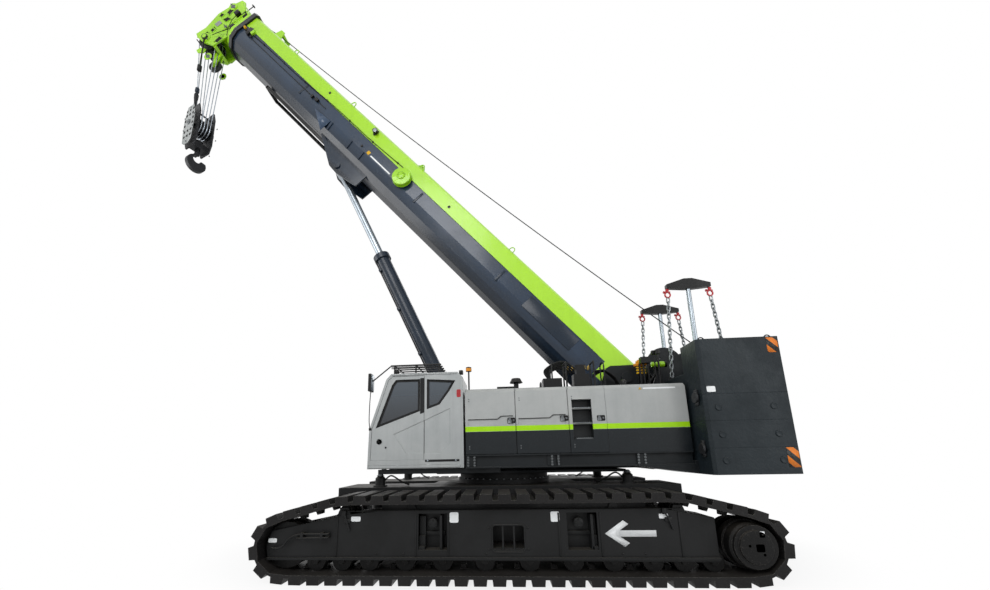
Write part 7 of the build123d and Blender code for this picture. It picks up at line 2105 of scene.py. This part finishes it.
@dataclass
class Rigging:
    """Taut ropes: hoist line, falls, dead end with its wedge socket, and the windings on both drums."""

    line: float = 0.012
    falls_y: tuple[float, ...] = (-0.18, -0.06, 0.06, 0.18)
    block_y: tuple[float, ...] = (-0.11, -0.037, 0.037, 0.11)
    sheave: Point = (7.964, 0.0, 13.456)
    sheave_radius: float = 0.25
    block_sheave_z: float = 0.70
    block_radius: float = 0.245
    wrap: float = 0.19

    def hoist(self) -> None:
        """Hoist line: off the main drum, through a slight sag to the guide, along the roof and over the upper sheave."""
        guide = on(BOOM, (13.23, 0.06, 0.53))
        head = on(BOOM, (14.90, 0.06, 0.13 + self.wrap))
        start = (-4.345, 0.06, 3.815)
        share = np.linspace(0, 1, 60)[:, None]
        straight = np.asarray(start) + share * (np.asarray(guide) - np.asarray(start))
        straight[:, 2] -= 0.16 * 4 * (share * (1 - share))[:, 0]
        turn = np.linspace(math.pi / 2, -0.62, 14)
        over = np.array([on(BOOM, (14.90 + self.wrap * math.cos(a), 0.06,
                0.13 + self.wrap * math.sin(a))) for a in turn])
        down = np.array([(8.178, 0.06, 13.61), (8.226, 0.06, 13.456)])
        lead = np.asarray(head)[None] * 0.4 + np.asarray(guide)[None] * 0.6
        run = make_piece("hoist_line", rope(straight, self.line, lay=0.2), Finish.HOIST_ROPE)
        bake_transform(run)
        path = np.concatenate([straight[-1:], lead, over, down])
        make_piece("head_line", rope(path, self.line, lay=0.2), Finish.HOIST_ROPE, "boom_section_4")

    def falls(self) -> None:
        """Falls between the head's sheaves and the block's, front and rear of each sheave, and their wraps."""
        runs = []
        for index, (y_top, y_low) in enumerate(zip(self.falls_y, self.block_y)):
            for side in (1, -1):
                if side == 1 and index == 3:
                    continue
                top = (self.sheave[0] + side * (self.sheave_radius + 0.004), y_top, self.sheave[2])
                low = on(BLOCK, (side * (self.block_radius + 0.004), y_low, self.block_sheave_z))
                runs.append(rope(np.array([top, low]), self.line))
            wrap = np.linspace(0, math.pi, 24)
            arch = np.column_stack([self.sheave[0] + (self.sheave_radius + 0.004) * np.cos(wrap), np.full(24, y_top),
                                    self.sheave[2] + (self.sheave_radius + 0.004) * np.sin(wrap)])
            runs.append(rope(arch, self.line))
        make_piece("hook_falls", joined(runs), Finish.ROPE, "limit_weight")
        bights = []
        for y_low in self.block_y:
            wrap = np.linspace(math.pi, 2 * math.pi, 24)
            reach = self.block_radius + 0.004
            local = np.column_stack([reach * np.cos(wrap), np.full(24, y_low),
                    self.block_sheave_z + reach * np.sin(wrap)])
            bights.append(rope(local @ BLOCK[:3, :3].T + BLOCK[:3, 3], self.line))
        make_piece("block_bights", joined(bights), Finish.ROPE, "hook_block")

    def dead_end(self) -> None:
        """Dead end: the last part of the line, its switch weight, wedge socket and pin above the block."""
        top, low = (8.226, 0.18, 13.456), on(BLOCK, (0.20, 0.13, 2.02))
        make_piece("dead_line", rope(np.array([top, low]), self.line), Finish.ROPE, "limit_weight")
        body = lathe([(0, 0.02), (0.03, 0.02), (0.034, 0.08), (0.052, 0.22), (0.056, 0.33), (0.04, 0.37),
                (0.016, 0.38), (0, 0.38)], 24)
        socket = [body.placed(BLOCK @ at((0.20, 0.13, 1.50))),
                rounded_box((0.165, 0.10, 1.30), (0.235, 0.16, 1.53), 0.012).placed(BLOCK)]
        socket.append(lathe([(0, -0.045), (0.022, -0.045), (0.022, 0.045), (0, 0.045)],
                16).placed(BLOCK @ at((0.20, 0.13, 1.36), "y")))
        make_piece("wedge_socket", joined(socket), Finish.CAST, "hook_block")
        weight = lathe([(0.014, 0.0), (0.05, 0.005), (0.055, 0.05), (0.05, 0.13), (0.02, 0.15), (0.014, 0.15)], 24)
        make_piece("switch_weight", weight.placed(BLOCK @ at((0.20, 0.13, 1.92))), Finish.BOOM_DARK, "hook_block")

    def windings(self) -> None:
        """Rope wound on both drums, in two layers on the main drum, and bolt circles on each drum's flanges."""
        for name, (x, z) in (("main", (-4.13, 3.55)), ("aux", (-3.37, 3.50))):
            layer = ribbed_ring(0.300, 0.024, 0.70, 29)
            patches = [layer.placed(at((x, 0.0, z), "y"))]
            if name == "main":
                patches.append(ribbed_ring(0.321, 0.024, 0.62, 26).placed(at((x, -0.03, z), "y")))
            make_piece(f"winding_{name}", joined(patches), Finish.HOIST_ROPE, f"winch_drum_{name}")
            bolts = bolt_circle((x, 0.386, z), 0.14, 10, "y", 0.03, 0.012)
            make_piece(f"drum_bolts_{name}", both(bolts), Finish.BOLT, f"winch_drum_{name}")

    def block_dress(self) -> None:
        """Pierced light cheek on the block's left side, with dark discs that paint the shade in its holes, and pins and
        bolts.
        """
        outline = [(-0.20, 0.10), (-0.10, 0.02), (0.10, 0.02), (0.20, 0.10), (0.235, 0.48), (0.235, 0.86),
                (0.14, 1.22), (-0.14, 1.22),
                   (-0.235, 0.86), (-0.235, 0.48)]
        cheek = plate(outline, 0.006, 0.002)
        x, z, t = cheek.points.T
        local = Patch(np.column_stack([x, 0.287 + t, z]), [group[:, ::-1] for group in cheek.faces])
        make_piece("block_cheek", local.placed(BLOCK), Finish.CHEEK, "hook_block")
        # Dark discs on the cheek paint the shade seen in its holes.
        hole = lathe([(0.0, 0.0), (0.036, 0.0), (0.040, 0.002), (0.040, 0.0), (0.036, -0.002)], 22)
        grid_x, grid_z = np.meshgrid((-0.14, 0.0, 0.14), (0.26, 0.42, 0.94, 1.08), indexing="ij")
        places = [(float(a), 0.2935, float(b)) for a, b in zip(grid_x.ravel(), grid_z.ravel())]
        places += [(-0.175, 0.2935, 0.62), (0.175, 0.2935, 0.62), (-0.175, 0.2935, 0.78), (0.175, 0.2935, 0.78)]
        make_piece("cheek_hole_shade", hole.repeated(spots(places, "y")).placed(BLOCK), Finish.DARK_PRINT_AND_SHADE, "hook_block")
        pins = [lathe([(0, 0), (0.075, 0), (0.075, 0.02), (0.055, 0.03), (0, 0.03)],
                28).placed(at((0, 0.287, 0.70), "y")),
                bolt_circle((0, 0.315, 0.70), 0.052, 6, "y", 0.018, 0.009),
                hex_bolt(0.03, 0.016).repeated(spots([(a, 0.293, b) for a in (-0.21, 0.21) for b in (0.50,
                        0.88)] + [(0, 0.293, 0.09), (0, 0.293, 1.17)], "y"))]
        local = joined(pins)
        make_piece("block_pins", joined([local.placed(BLOCK), mirrored(local).placed(BLOCK)]), Finish.BOLT,
                "hook_block")

    def build(self) -> None:
        """Builds every rope and the block's dress."""
        for step in (self.hoist, self.falls, self.dead_end, self.windings, self.block_dress):
            step()


ASSEMBLIES: tuple[type, ...] = (Undercarriage, Housing, Cab, Deck, Counterweight, Boom, Head, Rigging)


# ======================================================================
# Assembly
# ======================================================================


def main() -> None:
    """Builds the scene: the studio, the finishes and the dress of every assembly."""
    logging.basicConfig(level=logging.INFO, format="%(name)s %(message)s")
    Studio().build()
    Coats().apply()
    for assembly in ASSEMBLIES:
        assembly().build()


if __name__ == "__main__":
    main()
